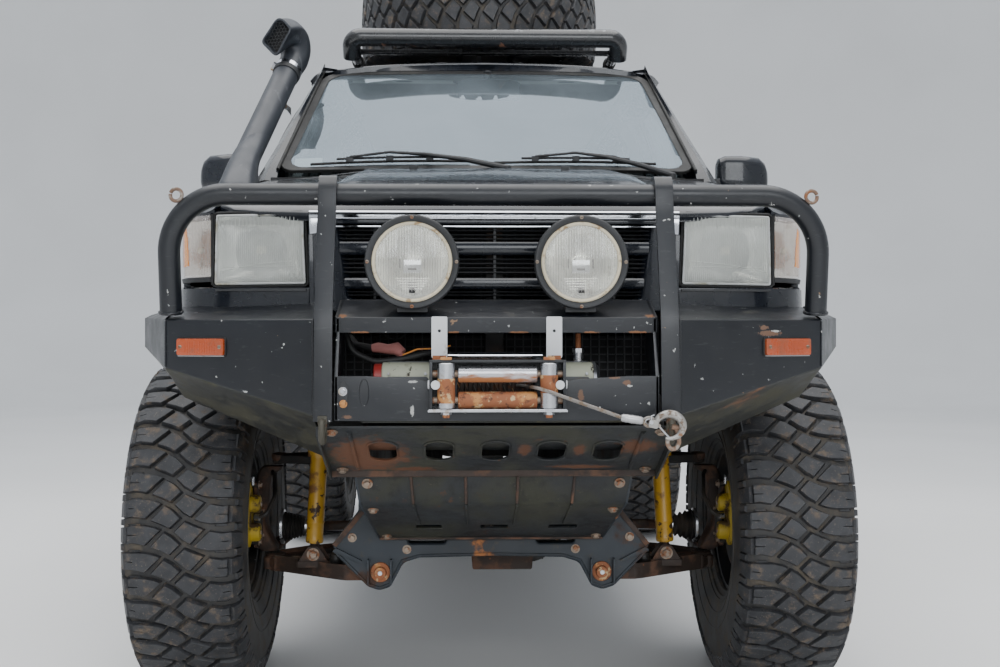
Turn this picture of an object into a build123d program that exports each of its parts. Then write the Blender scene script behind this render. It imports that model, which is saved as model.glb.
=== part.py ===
from build123d import *
import os, math

# Lifted off-road 4x4 wagon, millimetres.
# Design frame: X across the vehicle (+X is the driver's side), Y back from the front axle,
# Z up from the ground.  Every piece is moved by SHIFT_Y on export, so that the origin is
# the bottom centre of the whole vehicle, with the nose towards -Y.

# ---------------------------------------------------------------- driving dimensions
WHEELBASE = 2800.0
SHIFT_Y = -1411.0
HUB_Z = 480.0
TYRE_R = 480.0            # outer radius over the tread
TREAD_HALF = 146.0        # half width of the tread
TYRE_HALF = 162.5         # half width at the widest sidewall
TYRE_WALL = 16.0
WHEEL_X = 842.0           # centre plane of a wheel
RIM_SEAT_R = 212.0
RIM_FLANGE_R = 224.0
RIM_HALF = 112.0
KINGPIN_X = 655.0
RAIL_IN, RAIL_OUT = 320.0, 400.0
DOOR_GAP = 6.0
SPARE_Y, SPARE_Z = 1306.0, 2289.0
RACK_TUBE_R = 33.5
HOOP_R = 26.5
SILL_Z = 825.0            # lower edge of the doors
DOOR_TOP_Z = 1990.0
ARCH_R, ARCH_Z = 600.0, 560.0
LAMP_R = 110.5

# half width (x) of the body seen from above, at distance y
PLAN = [  # y, x
    (-712, 455), (-700, 600), (-665, 712), (-620, 778), (-520, 815), (-200, 832), (400, 840),
    (2400, 842), (3200, 822), (3600, 785), (3735, 700)]
PLAN_IN = [  # y, x : inner face of the walls
    (-640, 455), (-620, 600), (-600, 680), (-560, 738), (-480, 772), (-200, 792), (400, 800),
    (2400, 800), (3200, 775), (3560, 735), (3660, 660)]
# half width (x) of the body at height z, doors and greenhouse
SECTION = [  # x, z
    (822, 700), (838, 1150), (836, 1400), (800, 1560), (655, 1990), (610, 2035), (500, 2060), (0, 2085)]
SECTION_IN = [  # x, z
    (735, 690), (740, 1150), (738, 1400), (715, 1565), (607, 1960), (560, 1995), (450, 2022), (0, 2045)]
# side view of the cabin
SIDE = [  # y, z
    (250, 1588), (780, 2022), (800, 2056), (1300, 2090), (2600, 2090), (3455, 2052),
    (3690, 1560), (3745, 1150), (3735, 810)]
SIDE_IN = [  # y, z
    (330, 1588), (800, 1980), (860, 2040), (1300, 2046), (2600, 2046), (3392, 2008),
    (3620, 1560), (3674, 1150), (3665, 700)]
HOOD_TOP = [(-700, 1366), (-600, 1420), (-350, 1490), (-100, 1535), (188, 1580)]        # y, z, centre bulge
HOOD_SIDE = [(-700, 1364), (-600, 1404), (-350, 1463), (-100, 1508), (188, 1554)]       # y, z, beside it
FENDER_TOP = [(-700, 1360), (-600, 1388), (-350, 1442), (0, 1492), (300, 1530), (588, 1550), (612, 1530)]  # y, z


# ---------------------------------------------------------------- small tools
def box(x0, x1, y0, y1, z0, z1):
    return Pos((x0 + x1) / 2, (y0 + y1) / 2, (z0 + z1) / 2) * Box(x1 - x0, y1 - y0, z1 - z0)


def prism(points, lo, hi, axis):
    """Polygon in the plane across axis, from lo to hi along it.
    axis X takes (y, z), Y takes (x, z), Z takes (x, y)."""
    if axis == "X":
        pts, d = [(lo, a, b) for a, b in points], (hi - lo, 0, 0)
    elif axis == "Y":
        pts, d = [(a, lo, b) for a, b in points], (0, hi - lo, 0)
    else:
        pts, d = [(a, b, lo) for a, b in points], (0, 0, hi - lo)
    return Solid.extrude(Face(Wire.make_polygon([Vector(*p) for p in pts], close=True)), Vector(*d))


def rod(p, q, r):
    p, q = Vector(*p), Vector(*q)
    d = q - p
    return Solid.make_cylinder(r, d.length, Plane(origin=p, z_dir=d))


def tube(p, q, r, wall):
    return rod(p, q, r) - rod(p, q, r - wall)


def cone(p, q, r0, r1):
    p, q = Vector(*p), Vector(*q)
    d = q - p
    return Solid.make_cone(r0, r1, d.length, Plane(origin=p, z_dir=d))


def pipe(points, radii, r):
    path = FilletPolyline(*points, radius=radii)
    t = path % 0
    return sweep(Plane(origin=path @ 0, z_dir=t) * Circle(r), path=path)


def turned(profile, origin, axis):
    """Revolve (along, r) points about a line through origin along axis."""
    a = Vector(*axis)
    side = Vector(0, 0, 1) if abs(a.Z) < 0.9 else Vector(1, 0, 0)
    o = Vector(*origin)
    pts = [o + a * s + side * r for s, r in profile]
    return Solid.revolve(Face(Wire.make_polygon(pts, close=True)), 360, Axis(o, a))


def flip(shape):
    return mirror(shape, about=Plane.YZ)


def loft3(sections):
    return Solid.make_loft([Wire.make_polygon([Vector(*p) for p in s], close=True) for s in sections], ruled=True)


def both(shape):
    return [shape, flip(shape)]


def full_plan(half):
    return [(x, y) for y, x in half] + [(-x, y) for y, x in reversed(half)]


def full_section(half):
    return [(x, z) for x, z in half] + [(-x, z) for x, z in reversed(half[:-1])]


def solids(*shapes):
    out = []
    for s in shapes:
        if isinstance(s, (list, tuple)):
            out += solids(*s)
        else:
            out += list(s.solids())
    return out


NODES = {}


def node(name, *shapes):
    NODES[name] = solids(*shapes)


# ---------------------------------------------------------------- ladder frame
RAIL = [(-860, 905), (-860, 826), (-640, 732), (-450, 700), (-200, 625), (200, 620), (3735, 620),
        (3735, 760), (200, 760), (-200, 775), (-420, 850), (-640, 905)]  # y, z
frame = prism(RAIL, RAIL_IN, RAIL_OUT, "X") + flip(prism(RAIL, RAIL_IN, RAIL_OUT, "X"))
CROSS = [  # y, z of the centre, half depth, half height
    (-500, 800, 30, 35), (640, 629, 60, 9), (1480, 730, 40, 28), (2250, 700, 30, 38),
    (2960, 715, 25, 35), (3690, 690, 30, 50)]
for y, z, hy, hz in CROSS:
    frame += box(-RAIL_IN - 5, RAIL_IN + 5, y - hy, y + hy, z - hz, z + hz)
for y in (560, 1300, 2080, 3560):                       # body mounts
    for sx in (-1, 1):
        frame += rod((sx * 360, y, 755), (sx * 360, y, 840), 38)
for y0, y1 in ((2110, 2170), (3430, 3490)):             # spring hangers outside the rails
    for sx in (-1, 1):
        frame += box(min(sx * 395, sx * 545), max(sx * 395, sx * 545), y0, y1, 640, 700)
node("ladder_frame", frame)

# ---------------------------------------------------------------- engine, driveline, tank, exhaust
node("engine", box(-250, 250, -370, 240, 840, 1320) + box(-130, 130, -330, 180, 770, 845))
drive = box(-150, 150, 250, 980, 640, 830) + box(-205, 240, 985, 1330, 560, 815)
drive = drive + box(-100, 100, 975, 990, 650, 800)
PROP_R = 36.0
drive += rod((0, 1325, 665), (0, 2586, 520), PROP_R)
drive += rod((160, 990, 600), (110, 185, 530), 27)
node("driveline", drive)
node("fuel_tank", box(-150, 285, 3010, 3600, 640, 815))
EX_X, EX_Z = -262.0, 588.0
exhaust = rod((-240, 330, 700), (EX_X, 520, EX_Z), 26) + rod((EX_X, 500, EX_Z), (EX_X, 3560, EX_Z), 26)
exhaust += turned([(0, 0), (0, 50), (25, 70), (615, 70), (640, 50), (640, 0)], (EX_X, 1560, EX_Z - 8), (0, 1, 0))
exhaust += rod((EX_X, 3540, EX_Z), (EX_X - 60, 3850, 560), 26)
node("exhaust", exhaust)

# ---------------------------------------------------------------- rear axle on leaf springs
ry = WHEELBASE
axle = rod((-728, ry, HUB_Z), (728, ry, HUB_Z), 42)
axle += turned([(-105, 0), (-105, 90), (-40, 150), (60, 150), (110, 80), (110, 0)], (0, ry, HUB_Z), (0, 1, 0))
axle += cone((0, 2590, 517), (0, 2710, 500), 45, 75)
for sx in (-1, 1):
    axle += rod((sx * 700, ry, HUB_Z), (sx * 734, ry, HUB_Z), 120)           # brake back plate
    leaf = prism([(2128, 668), (2128, 640), (2420, 566), (2800, 533), (3180, 566), (3472, 640), (3472, 668),
                  (3180, 598), (2800, 585), (2420, 598)], 480, 540, "X")
    leaf = leaf - box(400, 600, 2100, 2176, 636, 710) - box(400, 600, 3424, 3500, 636, 710)
    axle += leaf if sx > 0 else flip(leaf)
    axle += box(min(sx * 475, sx * 545), max(sx * 475, sx * 545), 2730, 2870, 505, 535)
node("rear_axle", axle)

# ---------------------------------------------------------------- front suspension
ARM_Z = (335, 383)                     # underside and top of the lower arms
arms = []
for sx in (1,):
    lower = prism([(340, -212), (420, -212), (662, -36), (686, 0), (662, 36), (420, 230), (340, 230), (340, 170),
                   (545, 12), (545, -22), (380, -150), (340, -150)], ARM_Z[0], ARM_Z[1], "Z")
    lower += rod((651, 0, ARM_Z[0] - 6), (651, 0, ARM_Z[1] + 1), 30)
    ear = prism([(472, ARM_Z[1] - 10), (568, ARM_Z[1] - 10), (548, 412), (536, 424), (504, 424), (492, 412)], -151, -143, "Y")
    ear += prism([(472, ARM_Z[1] - 10), (568, ARM_Z[1] - 10), (548, 412), (536, 424), (504, 424), (492, 412)], -101, -93, "Y")
    lower += ear + box(472, 568, -151, -93, ARM_Z[1] - 10, ARM_Z[1])
    upper = prism([(425, -70), (470, -72), (640, -22), (652, 0), (640, 22), (470, 150), (425, 150), (425, 105),
                   (575, 15), (575, -15), (425, -30)], 655, 683, "Z")
    upper += rod((402, 60, 669), (440, 60, 669), 26) + box(402, 440, -70, 150, 640, 655) + box(402, 440, -70, 150, 655, 683)
    arms += [lower, upper]
arms = [s for a in arms for s in both(a)]
node("front_arms", arms)

shock = rod((520, -122, 428), (505, -122, 700), 26) + rod((505.5, -122, 690), (484, -122, 1010), 34)
shock += rod((520, -122, 405), (520, -122, 435), 14) + rod((520, -140, 402), (520, -104, 402), 17)
rear_shock = rod((440, 2905, 560), (425, 2990, 800), 26) + rod((444, 2893, 500), (440, 2905, 570), 14)
rear_shock = rear_shock - rod((-728, ry, HUB_Z), (728, ry, HUB_Z), 45)
node("shock_absorbers", both(shock), both(rear_shock))

diff = turned([(-95, 0), (-95, 70), (-40, 118), (60, 118), (100, 65), (150, 45), (150, 0)], (110, 20, 470), (0, 1, 0))
diff += box(-60, 240, -40, 110, 440, 540) + box(-210, 300, -25, 85, 562, 600)
for sx, x0 in ((1, 235), (-1, 55)):
    diff += rod((sx * x0, 0, 470), (sx * 560, 0, 462), 21)
    diff += turned([(0, 22), (0, 40), (20, 53), (75, 53), (75, 0), (0, 0)], (sx * 560, 0, 462), (sx, 0, 0))
node("front_differential", diff)

cross = prism([(-378, 545), (-452, 450), (-440, 420), (-350, 330), (-318, 318), (-286, 330), (-250, 408), (0, 416), (250, 408),
               (286, 330), (318, 318), (350, 330), (440, 420), (452, 450), (378, 545), (378, 700), (320, 700), (320, 560), (-320, 560),
               (-320, 700), (-378, 700)], -268, -218, "Y")
cross = cross - prism(RAIL, -RAIL_OUT, -RAIL_IN, "X") - prism(RAIL, RAIL_IN, RAIL_OUT, "X")
for sx in (-1, 1):
    cross += rod((sx * 318, -290, 372), (sx * 318, -260, 372), 27)
node("front_crossmember", cross)

# ---------------------------------------------------------------- skid plates
def sheet(line, thick, half0, half1):
    """Bent plate: (y, z) line, thickness downwards normal, half widths front and back."""
    out = None
    n = len(line) - 1
    for i in range(n):
        (ya, za), (yb, zb) = line[i], line[i + 1]
        wa = half0 + (half1 - half0) * i / n
        wb = half0 + (half1 - half0) * (i + 1) / n
        top = [(-wa, ya, za), (wa, ya, za), (wb, yb, zb), (-wb, yb, zb)]
        low = [(x, y, z - thick) for x, y, z in top]
        s = loft3([top, low])
        out = s if out is None else out + s
    return out


upper_plate = sheet([(-930, 838), (-620, 700)], 6, 420, 420)
for x in (-274, -137, 0, 137, 274):
    for y in (-805, -745):
        upper_plate -= rod((x, y, 600), (x, y, 900), 38)
    upper_plate -= box(x - 38, x + 38, -805, -745, 600, 900)
lower_plate = sheet([(-604, 690), (-572, 607)], 6, 360, 350) + sheet([(-572, 607), (-285, 470)], 6, 350, 318)
for x in (-200, 0, 200):
    lower_plate -= box(x - 50, x + 50, -400, -370, 400, 700)
node("skid_plates", upper_plate, lower_plate)

# ---------------------------------------------------------------- winch, fairlead, line and hook
WINCH_Y, WINCH_Z = -800.0, 925.0
winch = rod((-120, WINCH_Y, WINCH_Z), (90, WINCH_Y, WINCH_Z), 52)
for x0, x1, r in ((-290, -150, 66), (-150, -120, 74), (90, 120, 74), (120, 246, 66)):
    winch += rod((x0, WINCH_Y, WINCH_Z), (x1, WINCH_Y, WINCH_Z), r)
winch += rod((-130, WINCH_Y - 40, WINCH_Z + 52), (100, WINCH_Y - 40, WINCH_Z + 52), 9)
winch += rod((-130, WINCH_Y + 40, WINCH_Z + 52), (100, WINCH_Y + 40, WINCH_Z + 52), 9)
winch = winch & box(-300, 300, -900, -700, 852.5, 1010)
node("winch", winch)

FL_Y, FL_Z = -945.0, 931.0
fair = box(-155, 155, FL_Y - 8, FL_Y, 873, 990) - box(-92, 92, FL_Y - 20, FL_Y + 10, 903, 953)
for x0, x1 in ((-155, -147), (147, 155)):
    fair += box(x0, x1, FL_Y - 50, FL_Y, 873, 990)
fair += box(-155, 155, FL_Y - 50, FL_Y, 984, 990) + box(-155, 155, FL_Y - 50, FL_Y, 873, 879)
rollers = [rod((-90, -974, z), (90, -974, z), 19.5) for z in (958, 898)]
rollers += [rod((x, -985, 880), (x, -985, 983), 20) for x in (-117, 117)]
node("fairlead", fair, rollers)

LINE_R = 4.5
line = pipe([(50, -855.5, 927), (90, -1015, 928), (283, -986, 858)], 27, LINE_R)
line -= rod((-300, WINCH_Y, WINCH_Z), (300, WINCH_Y, WINCH_Z), 52.5)
node("winch_cable", line)

hook = rod((284.5, -985.6, 857.6), (360, -998, 845), 9)
hook += Pos(388, -998, 836) * Rot(90, 0, 0) * Torus(31, 9)
node("winch_hook", hook)

# ---------------------------------------------------------------- bumper and bull bar
WING = [  # x, then (y, z) : front low, front top, top back, back, chin
    (424, (-930, 859), (-930, 1083), (-690, 1127), (-600, 950), (-625, 731)),
    (794, (-800, 966), (-800, 1083), (-640, 1118), (-570, 1000), (-600, 886)),
    (919, (-505, 1014), (-505, 1091), (-440, 1100), (-430, 1050), (-440, 1018))]
wing = loft3([[(x, y, z) for y, z in pts] for x, *pts in WING])
node("bumper_wings", both(wing))

centre = prism([(-905, 1051), (-905, 1088), (-780, 1132), (-780, 1122), (-895, 1082), (-897, 1051)], -366, 366, "X")
centre += box(-366, 366, -945, -937, 849, 952) + box(-366, 366, -937, -915, 944, 952)
centre += box(-312, 312, -937, -690, 844, 852)
for x0, x1 in ((-374, -366), (366, 374)):
    centre += prism([(-945, 849), (-945, 952), (-905, 1051), (-905, 1088), (-780, 1132), (-780, 1000), (-866, 930), (-866, 849)], x0, x1, "X")
centre = centre - box(-92, 92, -960, -930, 903, 935)
for x in (-134, 134):                                                       # plate brackets
    centre += box(x - 18, x + 18, -910, -905, 996, 1088) - rod((x, -930, 1056), (x, -896, 1056), 3.5)
    centre = centre - rod((x, -930, 1056), (x, -890, 1056), 3.5)
node("bumper_centre", centre)

UPRIGHT = [(-958, 848), (-946, 1085), (-868, 1345), (-858, 1402), (-838, 1427), (-790, 1430),
           (-790, 1421), (-833, 1418), (-849.5, 1398), (-859, 1347), (-937, 1085), (-948, 848)]  # y, z
bars = []
for sx in (-1, 1):
    b = prism(UPRIGHT, 378.5, 421.5, "X")
    b += box(378.5, 421.5, -958, -948, 846, 870)
    b += Pos(400, -953, 826) * Rot(90, 0, 90) * Torus(24, 8)
    bars.append(b if sx > 0 else flip(b))
hoop = pipe([(-785, -781, 1096), (-785, -820, 1383), (785, -820, 1383), (785, -781, 1096)], [160, 160], HOOP_R)
node("bull_bar", bars, hoop)

lamp = turned([(0, 0), (0, 92), (-6, 104), (4, LAMP_R), (24, LAMP_R), (70, 88), (110, 45), (110, 0)], (198, -912, 1217), (0, 1, 0))
lamp += box(180, 216, -882, -868, 1103, 1140)
node("driving_lamps", both(lamp))

# ---------------------------------------------------------------- head and corner lamps, grille
head = prism([(468, -690), (470, -640), (700, -618), (706, -668), (600, -683)], 1171, 1349, "Z")
corner = prism([(712, -664), (776, -612), (812, -535), (785, -520), (712, -560)], 1190, 1346, "Z")
node("front_lamps", both(head), both(corner))

grille = prism([(460, 1104), (464, 1332), (462, 1356), (-462, 1356), (-464, 1332), (-460, 1104)], -704, -664, "Y")
grille = grille - prism([(369, 1134), (396, 1326), (-396, 1326), (-369, 1134)], -720, -650, "Y")
BARS = [(1263, 17), (1175, 14)]  # z of the centre, half height
for z, h in BARS:
    grille += box(-392, 392, -702, -672, z - h, z + h)
for z in (1151, 1207, 1226, 1291, 1309):
    grille += box(-385, 385, -694, -668, z - 2.5, z + 2.5)
grille += box(-5, 5, -694, -668, 1136, 1326)
grille = grille & prism([(460, 1104), (464, 1332), (462, 1356), (-462, 1356), (-464, 1332), (-460, 1104)], -704, -664, "Y")
for sx in (-1, 1):
    grille -= box(min(sx * 414, sx * 500), max(sx * 414, sx * 500), -720, -650, 1090, 1136)
node("grille", grille)

# ---------------------------------------------------------------- fenders and hood
plan_out = prism(full_plan(PLAN), 500, 2300, "Z")
plan_in = prism(full_plan(PLAN_IN), 400, 2400, "Z")
fender_side = [(-515, 985), (-515, 1172), (-690, 1172)] + FENDER_TOP + [(612, SILL_Z), (500, SILL_Z)]
fender_in = [(-800, 900), (-800, 1310), (-600, 1352), (-350, 1406), (0, 1456), (300, 1494), (700, 1522), (700, 700)]
fend = (prism(fender_side, 600, 900, "X") & plan_out) - (prism(fender_in, 500, 900, "X") & plan_in)
fend = fend - box(-705, 705, -800, 700, 500, 1700)
fend = fend - rod((600, 0, ARCH_Z), (950, 0, ARCH_Z), ARCH_R)
fend = fend - box(600, 900, -750, -504, 1160, 1350)
fend = fend - box(560, 702, 180, 700, 1400, 1600)
node("front_fenders", both(fend))

hood = prism(HOOD_TOP + [(188, 1545), (-100, 1497), (-350, 1452), (-600, 1384), (-690, 1362)], -430, 430, "X")
hood_side = prism(HOOD_SIDE + [(188, 1519), (-100, 1474), (-350, 1428), (-600, 1366), (-690, 1334)], -699, 699, "X")
hood = (hood + hood_side) & plan_out
hood = hood - box(-900, 900, -720, -612, 1200, 1358.5)
node("hood", hood)

# ---------------------------------------------------------------- cabin shell
BACK = 3760
outer = (prism([(250, 690)] + SIDE + [(3735, 690)], -900, 900, "X") & prism(full_section(SECTION), 200, 3800, "Y")) & plan_out
inner = (prism([(330, 650)] + SIDE_IN, -900, 900, "X") & prism([(735, 640)] + full_section(SECTION_IN) + [(-735, 640)], 200, 3800, "Y")) & plan_in
# the front corner posts are rounded back: a slanted slice on each side
CORNER = [  # z, inner (x, y) and outer (x, y) ends of the slice
    (1540, (753, 270), (810, 480)), (2070, (582, 828), (609, 1000))]
slice_ = loft3([[(xi, yi, z), (xo, yo, z), (1000, yo, z), (1000, yi - 200, z), (xi, yi - 200, z)] for z, (xi, yi), (xo, yo) in CORNER])
outer = outer - slice_ - flip(slice_)
shell = outer - inner
shell = shell - box(-900, 900, 200, 3800, 600, SILL_Z - 5)

# the rear edges lean forward above the belt, so that each swinging door clears what is behind it
FRONT_DOOR = [(618, SILL_Z), (1525, SILL_Z), (1525, 1400), (1499, DOOR_TOP_Z), (1000, DOOR_TOP_Z), (560, 1600), (618, 1545)]   # y, z
REAR_DOOR = [(1537, SILL_Z), (2442, SILL_Z), (2442, 1400), (2411, DOOR_TOP_Z), (1537, DOOR_TOP_Z)]
FRONT_GLASS = [(720, 1612), (1466, 1612), (1452, 1940), (1062, 1940)]
REAR_GLASS = [(1588, 1612), (2380, 1612), (2364, 1940), (1588, 1940)]
QUARTER_GLASS = [(2520, 1612), (3340, 1612), (3262, 1940), (2520, 1940)]


FRONT_HOLE = [(612, 800), (1531, 800), (1531, 1996), (997, 1996), (551, 1600.5), (612, 1542)]
REAR_HOLE = [(1531, 800), (2454, 800), (2454, 1996), (1531, 1996)]


glass_slab = prism([(780, 1560), (635, 1990), (629, 1990), (774, 1560)], 300, 3700, "Y")
rear_arch = rod((500, WHEELBASE, ARCH_Z), (950, WHEELBASE, ARCH_Z), ARCH_R)
rear_arch_gap = rod((500, WHEELBASE, ARCH_Z), (950, WHEELBASE, ARCH_Z), ARCH_R + 12)

side = shell & box(400, 900, 200, 3800, 600, 2200)
d_front = side & prism(FRONT_DOOR, 500, 900, "X")
d_rear = (side & prism(REAR_DOOR, 500, 900, "X")) - rear_arch_gap
g_front = glass_slab & prism(FRONT_GLASS, 500, 900, "X")
g_rear = glass_slab & prism(REAR_GLASS, 500, 900, "X")
g_quarter = glass_slab & prism(QUARTER_GLASS, 500, 900, "X")
d_front = d_front - prism(FRONT_GLASS, 500, 900, "X")
d_rear = d_rear - prism(REAR_GLASS, 500, 900, "X")
mirror_arm = box(790, 850, 640, 690, 1575, 1605)
mirror_head = loft3([[(832, 632, 1568), (832, 632, 1692), (832, 702, 1692), (832, 702, 1568)],
                     [(990, 636, 1562), (990, 636, 1684), (990, 704, 1684), (990, 704, 1562)],
                     [(1024, 654, 1564), (1024, 654, 1652), (1024, 700, 1652), (1024, 700, 1564)]])
d_front = d_front + mirror_arm + mirror_head
node("door_front_left", d_front)
node("door_front_right", flip(d_front))
node("door_rear_left", d_rear)
node("door_rear_right", flip(d_rear))
node("window_front_left", g_front)
node("window_front_right", flip(g_front))
node("window_rear_left", g_rear)
node("window_rear_right", flip(g_rear))

SCREEN = [(672, 1596), (590, 2010), (-590, 2010), (-672, 1596)]   # x, z
screen_cut = prism(SCREEN, 100, 1000, "Y")
screen = prism([(262, 1590), (782, 2016), (787, 2010), (267, 1584)], -900, 900, "X") & screen_cut

ROOF_ZONE = box(-560, 560, 826, 3440, 1950, 2200)
GATE_X = 690.0
gate_zone = box(-GATE_X, GATE_X, 3350, 3800, 885, 2200) - box(-GATE_X, GATE_X, 3300, 3449, 1990, 2200)
gate_zone = gate_zone - prism([(3300, 2100), (3300, 1400), (3447, 2002), (3447, 2100)], -GATE_X, GATE_X, "X")
gate = shell & box(-GATE_X, GATE_X, 3400, 3800, 885, 2200)
gate = gate - box(-900, 900, 3300, 3450, 1930, 2200)
gate_hole = box(-GATE_X - 6, GATE_X + 6, 3390, 3800, 879, 2200) - box(-900, 900, 3300, 3400, 1900, 2300)
GATE_GLASS = prism([(560, 1590), (500, 1950), (-500, 1950), (-560, 1590)], 3300, 3800, "Y")
gate = gate - GATE_GLASS
gate_glass = prism([(3450 + 8, 2050), (3693 - 18, 1560), (3693 - 23, 1560), (3450 + 3, 2050)], -900, 900, "X") & GATE_GLASS
node("tailgate", gate)
node("tailgate_window", gate_glass)

roof = shell & ROOF_ZONE
node("roof_panel", roof)

quarters = shell & box(-900, 900, 2454, 3800, 600, 2200)
quarters = quarters - box(-562, 562, 2000, 3445, 1950, 2200) - gate_hole
quarters = quarters - rear_arch - flip(rear_arch)
quarters = quarters - prism(QUARTER_GLASS, -900, 900, "X")
TAIL_LAMP = (3560, 3800, 1130, 1480)   # y0, y1, z0, z1
tail_cut = box(700, 900, 3600, 3800, 1130, 1480)
tail = (quarters & tail_cut) & box(700, 900, 3600, 3800, 1130, 1480)
quarters = quarters - tail_cut - flip(tail_cut)
node("rear_quarters", quarters)
node("tail_lamps", tail, flip(tail))

pillars = shell & box(-900, 900, 200, 2450, 600, 2200)
pillars = pillars - ROOF_ZONE - screen_cut
for hole in (FRONT_HOLE, REAR_HOLE):
    z = prism(hole, 500, 900, "X")
    pillars = pillars - z - flip(z)
pillars = pillars - box(-900, 900, 200, 617, 600, 1557)
pillars = pillars - box(-900, 900, 200, 2460, 600, 900)
post = prism([(728, 882), (732, 1150), (730, 1400), (706, 1565), (598, 1955), (551, 1991), (546, 2003), (530, 2003),
              (550, 1940), (660, 1560), (680, 1400), (680, 882)], 1492, 1570, "Y")
pillars = pillars + post + flip(post)
pillars = pillars - ROOF_ZONE
node("body_pillars", pillars)
node("fixed_windows", screen, g_quarter, flip(g_quarter))

# ---------------------------------------------------------------- floor, firewall, sills, wheelhouses
tub = box(-440, 440, 300, 480, 840, 880) + box(-728, 728, 470, 3540, 840, 880) + box(-650, 650, 3530, 3650, 840, 880)
tub = tub - box(655, 900, 2215, 3385, 800, 900) - box(-900, -655, 2215, 3385, 800, 900)
tub += box(-440, 440, 300, 326, 860, 1540) + box(-700, 700, 300, 326, 1000, 1540)
for x0, x1 in ((-700, -430), (430, 700)):
    tub += box(x0, x1, 300, 485, 1000, 1012) + box(x0, x1, 470, 485, 870, 1012)
for x in (-440, 430):
    tub += box(x, x + 10, 300, 485, 860, 1012)
tub += box(-700, 700, 206, 326, 1500, 1552)
for sx in (-1, 1):
    s = box(700, 822, 560, 2240, 745, 817) + box(700, 728, 560, 2210, 800, 880)
    s += box(645, 655, 2215, 3385, 840, 1170) + box(645, 728, 2215, 3385, 1160, 1170)
    s += box(645, 728, 2205, 2215, 745, 1170) + box(645, 728, 3385, 3395, 840, 1170)
    tub += s if sx > 0 else flip(s)
node("cabin_tub", tub)

# ---------------------------------------------------------------- cabin
dash = prism([(326, 1545), (326, 1180), (560, 1180), (640, 1260), (650, 1480), (560, 1560), (345, 1575)], -690, 690, "X")
dash = dash & prism([(690, 1100), (700, 1400), (672, 1560), (640, 1600), (-640, 1600), (-672, 1560), (-700, 1400), (-690, 1100)], 300, 700, "Y")
dash = dash + rod((365, 600, 1440), (365, 765, 1483), 26)
node("dashboard", dash)
sw_dir = Vector(0, 0.93, 0.36)
wheel = Pos(365, 790, 1490) * Rot(-68, 0, 0) * Torus(188, 15)
sw = Plane(origin=(365, 772, 1484), z_dir=sw_dir)
wheel += Solid.make_cylinder(45, 22, sw)
for a in (0, 120, 240):
    t = math.radians(a - 30)
    v = Vector(365, 782, 1488) + Vector(180 * math.cos(t), -180 * math.sin(t) * 0.36, 180 * math.sin(t) * 0.93)
    wheel += rod((365, 782, 1488), (v.X, v.Y, v.Z), 11)
node("steering_wheel", wheel)


def seat(x0, x1, y, back, head):
    s = box(x0, x1, y, y + 480, 985, 1130)
    s += prism([(y + 430, 1040), (y + 520, 1040), (y + 520 + back, 1690), (y + 410 + back, 1690), (y + 410, 1130)], x0, x1, "X")
    for hx in head:
        s += prism([(y + 425 + back, 1680), (y + 510 + back, 1680), (y + 530 + back, 1860), (y + 455 + back, 1860)], hx - 110, hx + 110, "X")
    s += box(x0 + 60, x1 - 60, y + 40, y + 440, 880, 990)
    return s


node("seats", seat(110, 620, 1000, 110, (365,)), seat(-620, -110, 1000, 110, (-365,)), seat(-630, 630, 1880, 110, (-380, 380)))

# ---------------------------------------------------------------- snorkel
SNORKEL_R = 44
SNORKEL_TOP = (-710, 662, 1991)


def ray(corners, angle, cap):
    """Distance from the origin to the outline along a direction, no more than cap."""
    d = (math.cos(angle), math.sin(angle))
    for (ax, ay), (bx, by) in zip(corners, corners[1:] + corners[:1]):
        ex, ey = bx - ax, by - ay
        det = d[1] * ex - d[0] * ey
        if abs(det) > 1e-9:
            t = (ay * ex - ax * ey) / det
            k = (d[0] * ay - d[1] * ax) / det
            if t > 0 and -1e-9 <= k <= 1 + 1e-9:
                return min(t, cap)
    return cap


def ring_points(centre, normal, radii, side=(0.797, -0.604, 0)):
    n = Vector(*normal).normalized()
    u = Vector(*side)
    u = (u - n * u.dot(n)).normalized()
    v = n.cross(u)
    out = []
    for i, r in enumerate(radii):
        t = 2 * math.pi * i / len(radii)
        q = Vector(*centre) + u * (r * math.cos(t)) + v * (r * math.sin(t))
        out.append((q.X, q.Y, q.Z))
    return out


MOUTH = [(6, 80), (62, 26), (2, -74), (-64, -12)]
mouth_radii = [ray(MOUTH, 2 * math.pi * i / 20, 66) for i in range(20)]
#         centre                normal                 radii
ELBOW = [((-711, 657, 1986), (0.17, 0.67, 0.72), [45] * 20),
         ((-693, 702, 2034), (0.13, 0.50, 0.86), [50] * 20),
         ((-690, 716, 2075), (-0.02, 0.05, 1.0), [54] * 20),
         ((-700, 702, 2112), (-0.30, -0.50, 0.81), [58] * 20),
         ((-720, 662, 2120), (-0.50, -0.78, 0.38), [60] * 20),
         ((-740, 622, 2105), (-0.58, -0.80, 0.12), [0.96 * r for r in mouth_radii]),
         ((-748, 606, 2098), (-0.60, -0.79, 0.10), mouth_radii)]
snork = pipe([(-803, 218, 1560), (-798, 326, 1631), SNORKEL_TOP], [160], SNORKEL_R)
snork += prism([(110, 1508), (300, 1532), (300, 1600), (190, 1600)], -842, -759, "X")
elbow = loft3([ring_points(*row) for row in ELBOW])
c, n = Vector(*ELBOW[-1][0]), Vector(*ELBOW[-1][1]).normalized()
throat = [ring_points(((c + n * d).X, (c + n * d).Y, (c + n * d).Z), ELBOW[-1][1], [0.86 * r for r in mouth_radii]) for d in (3, -12)]
snork += elbow - loft3(throat)
snork += rod((-741, 546, 1866), (-701.8, 598.9, 1850.5), 8)
node("snorkel", snork)

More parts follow.
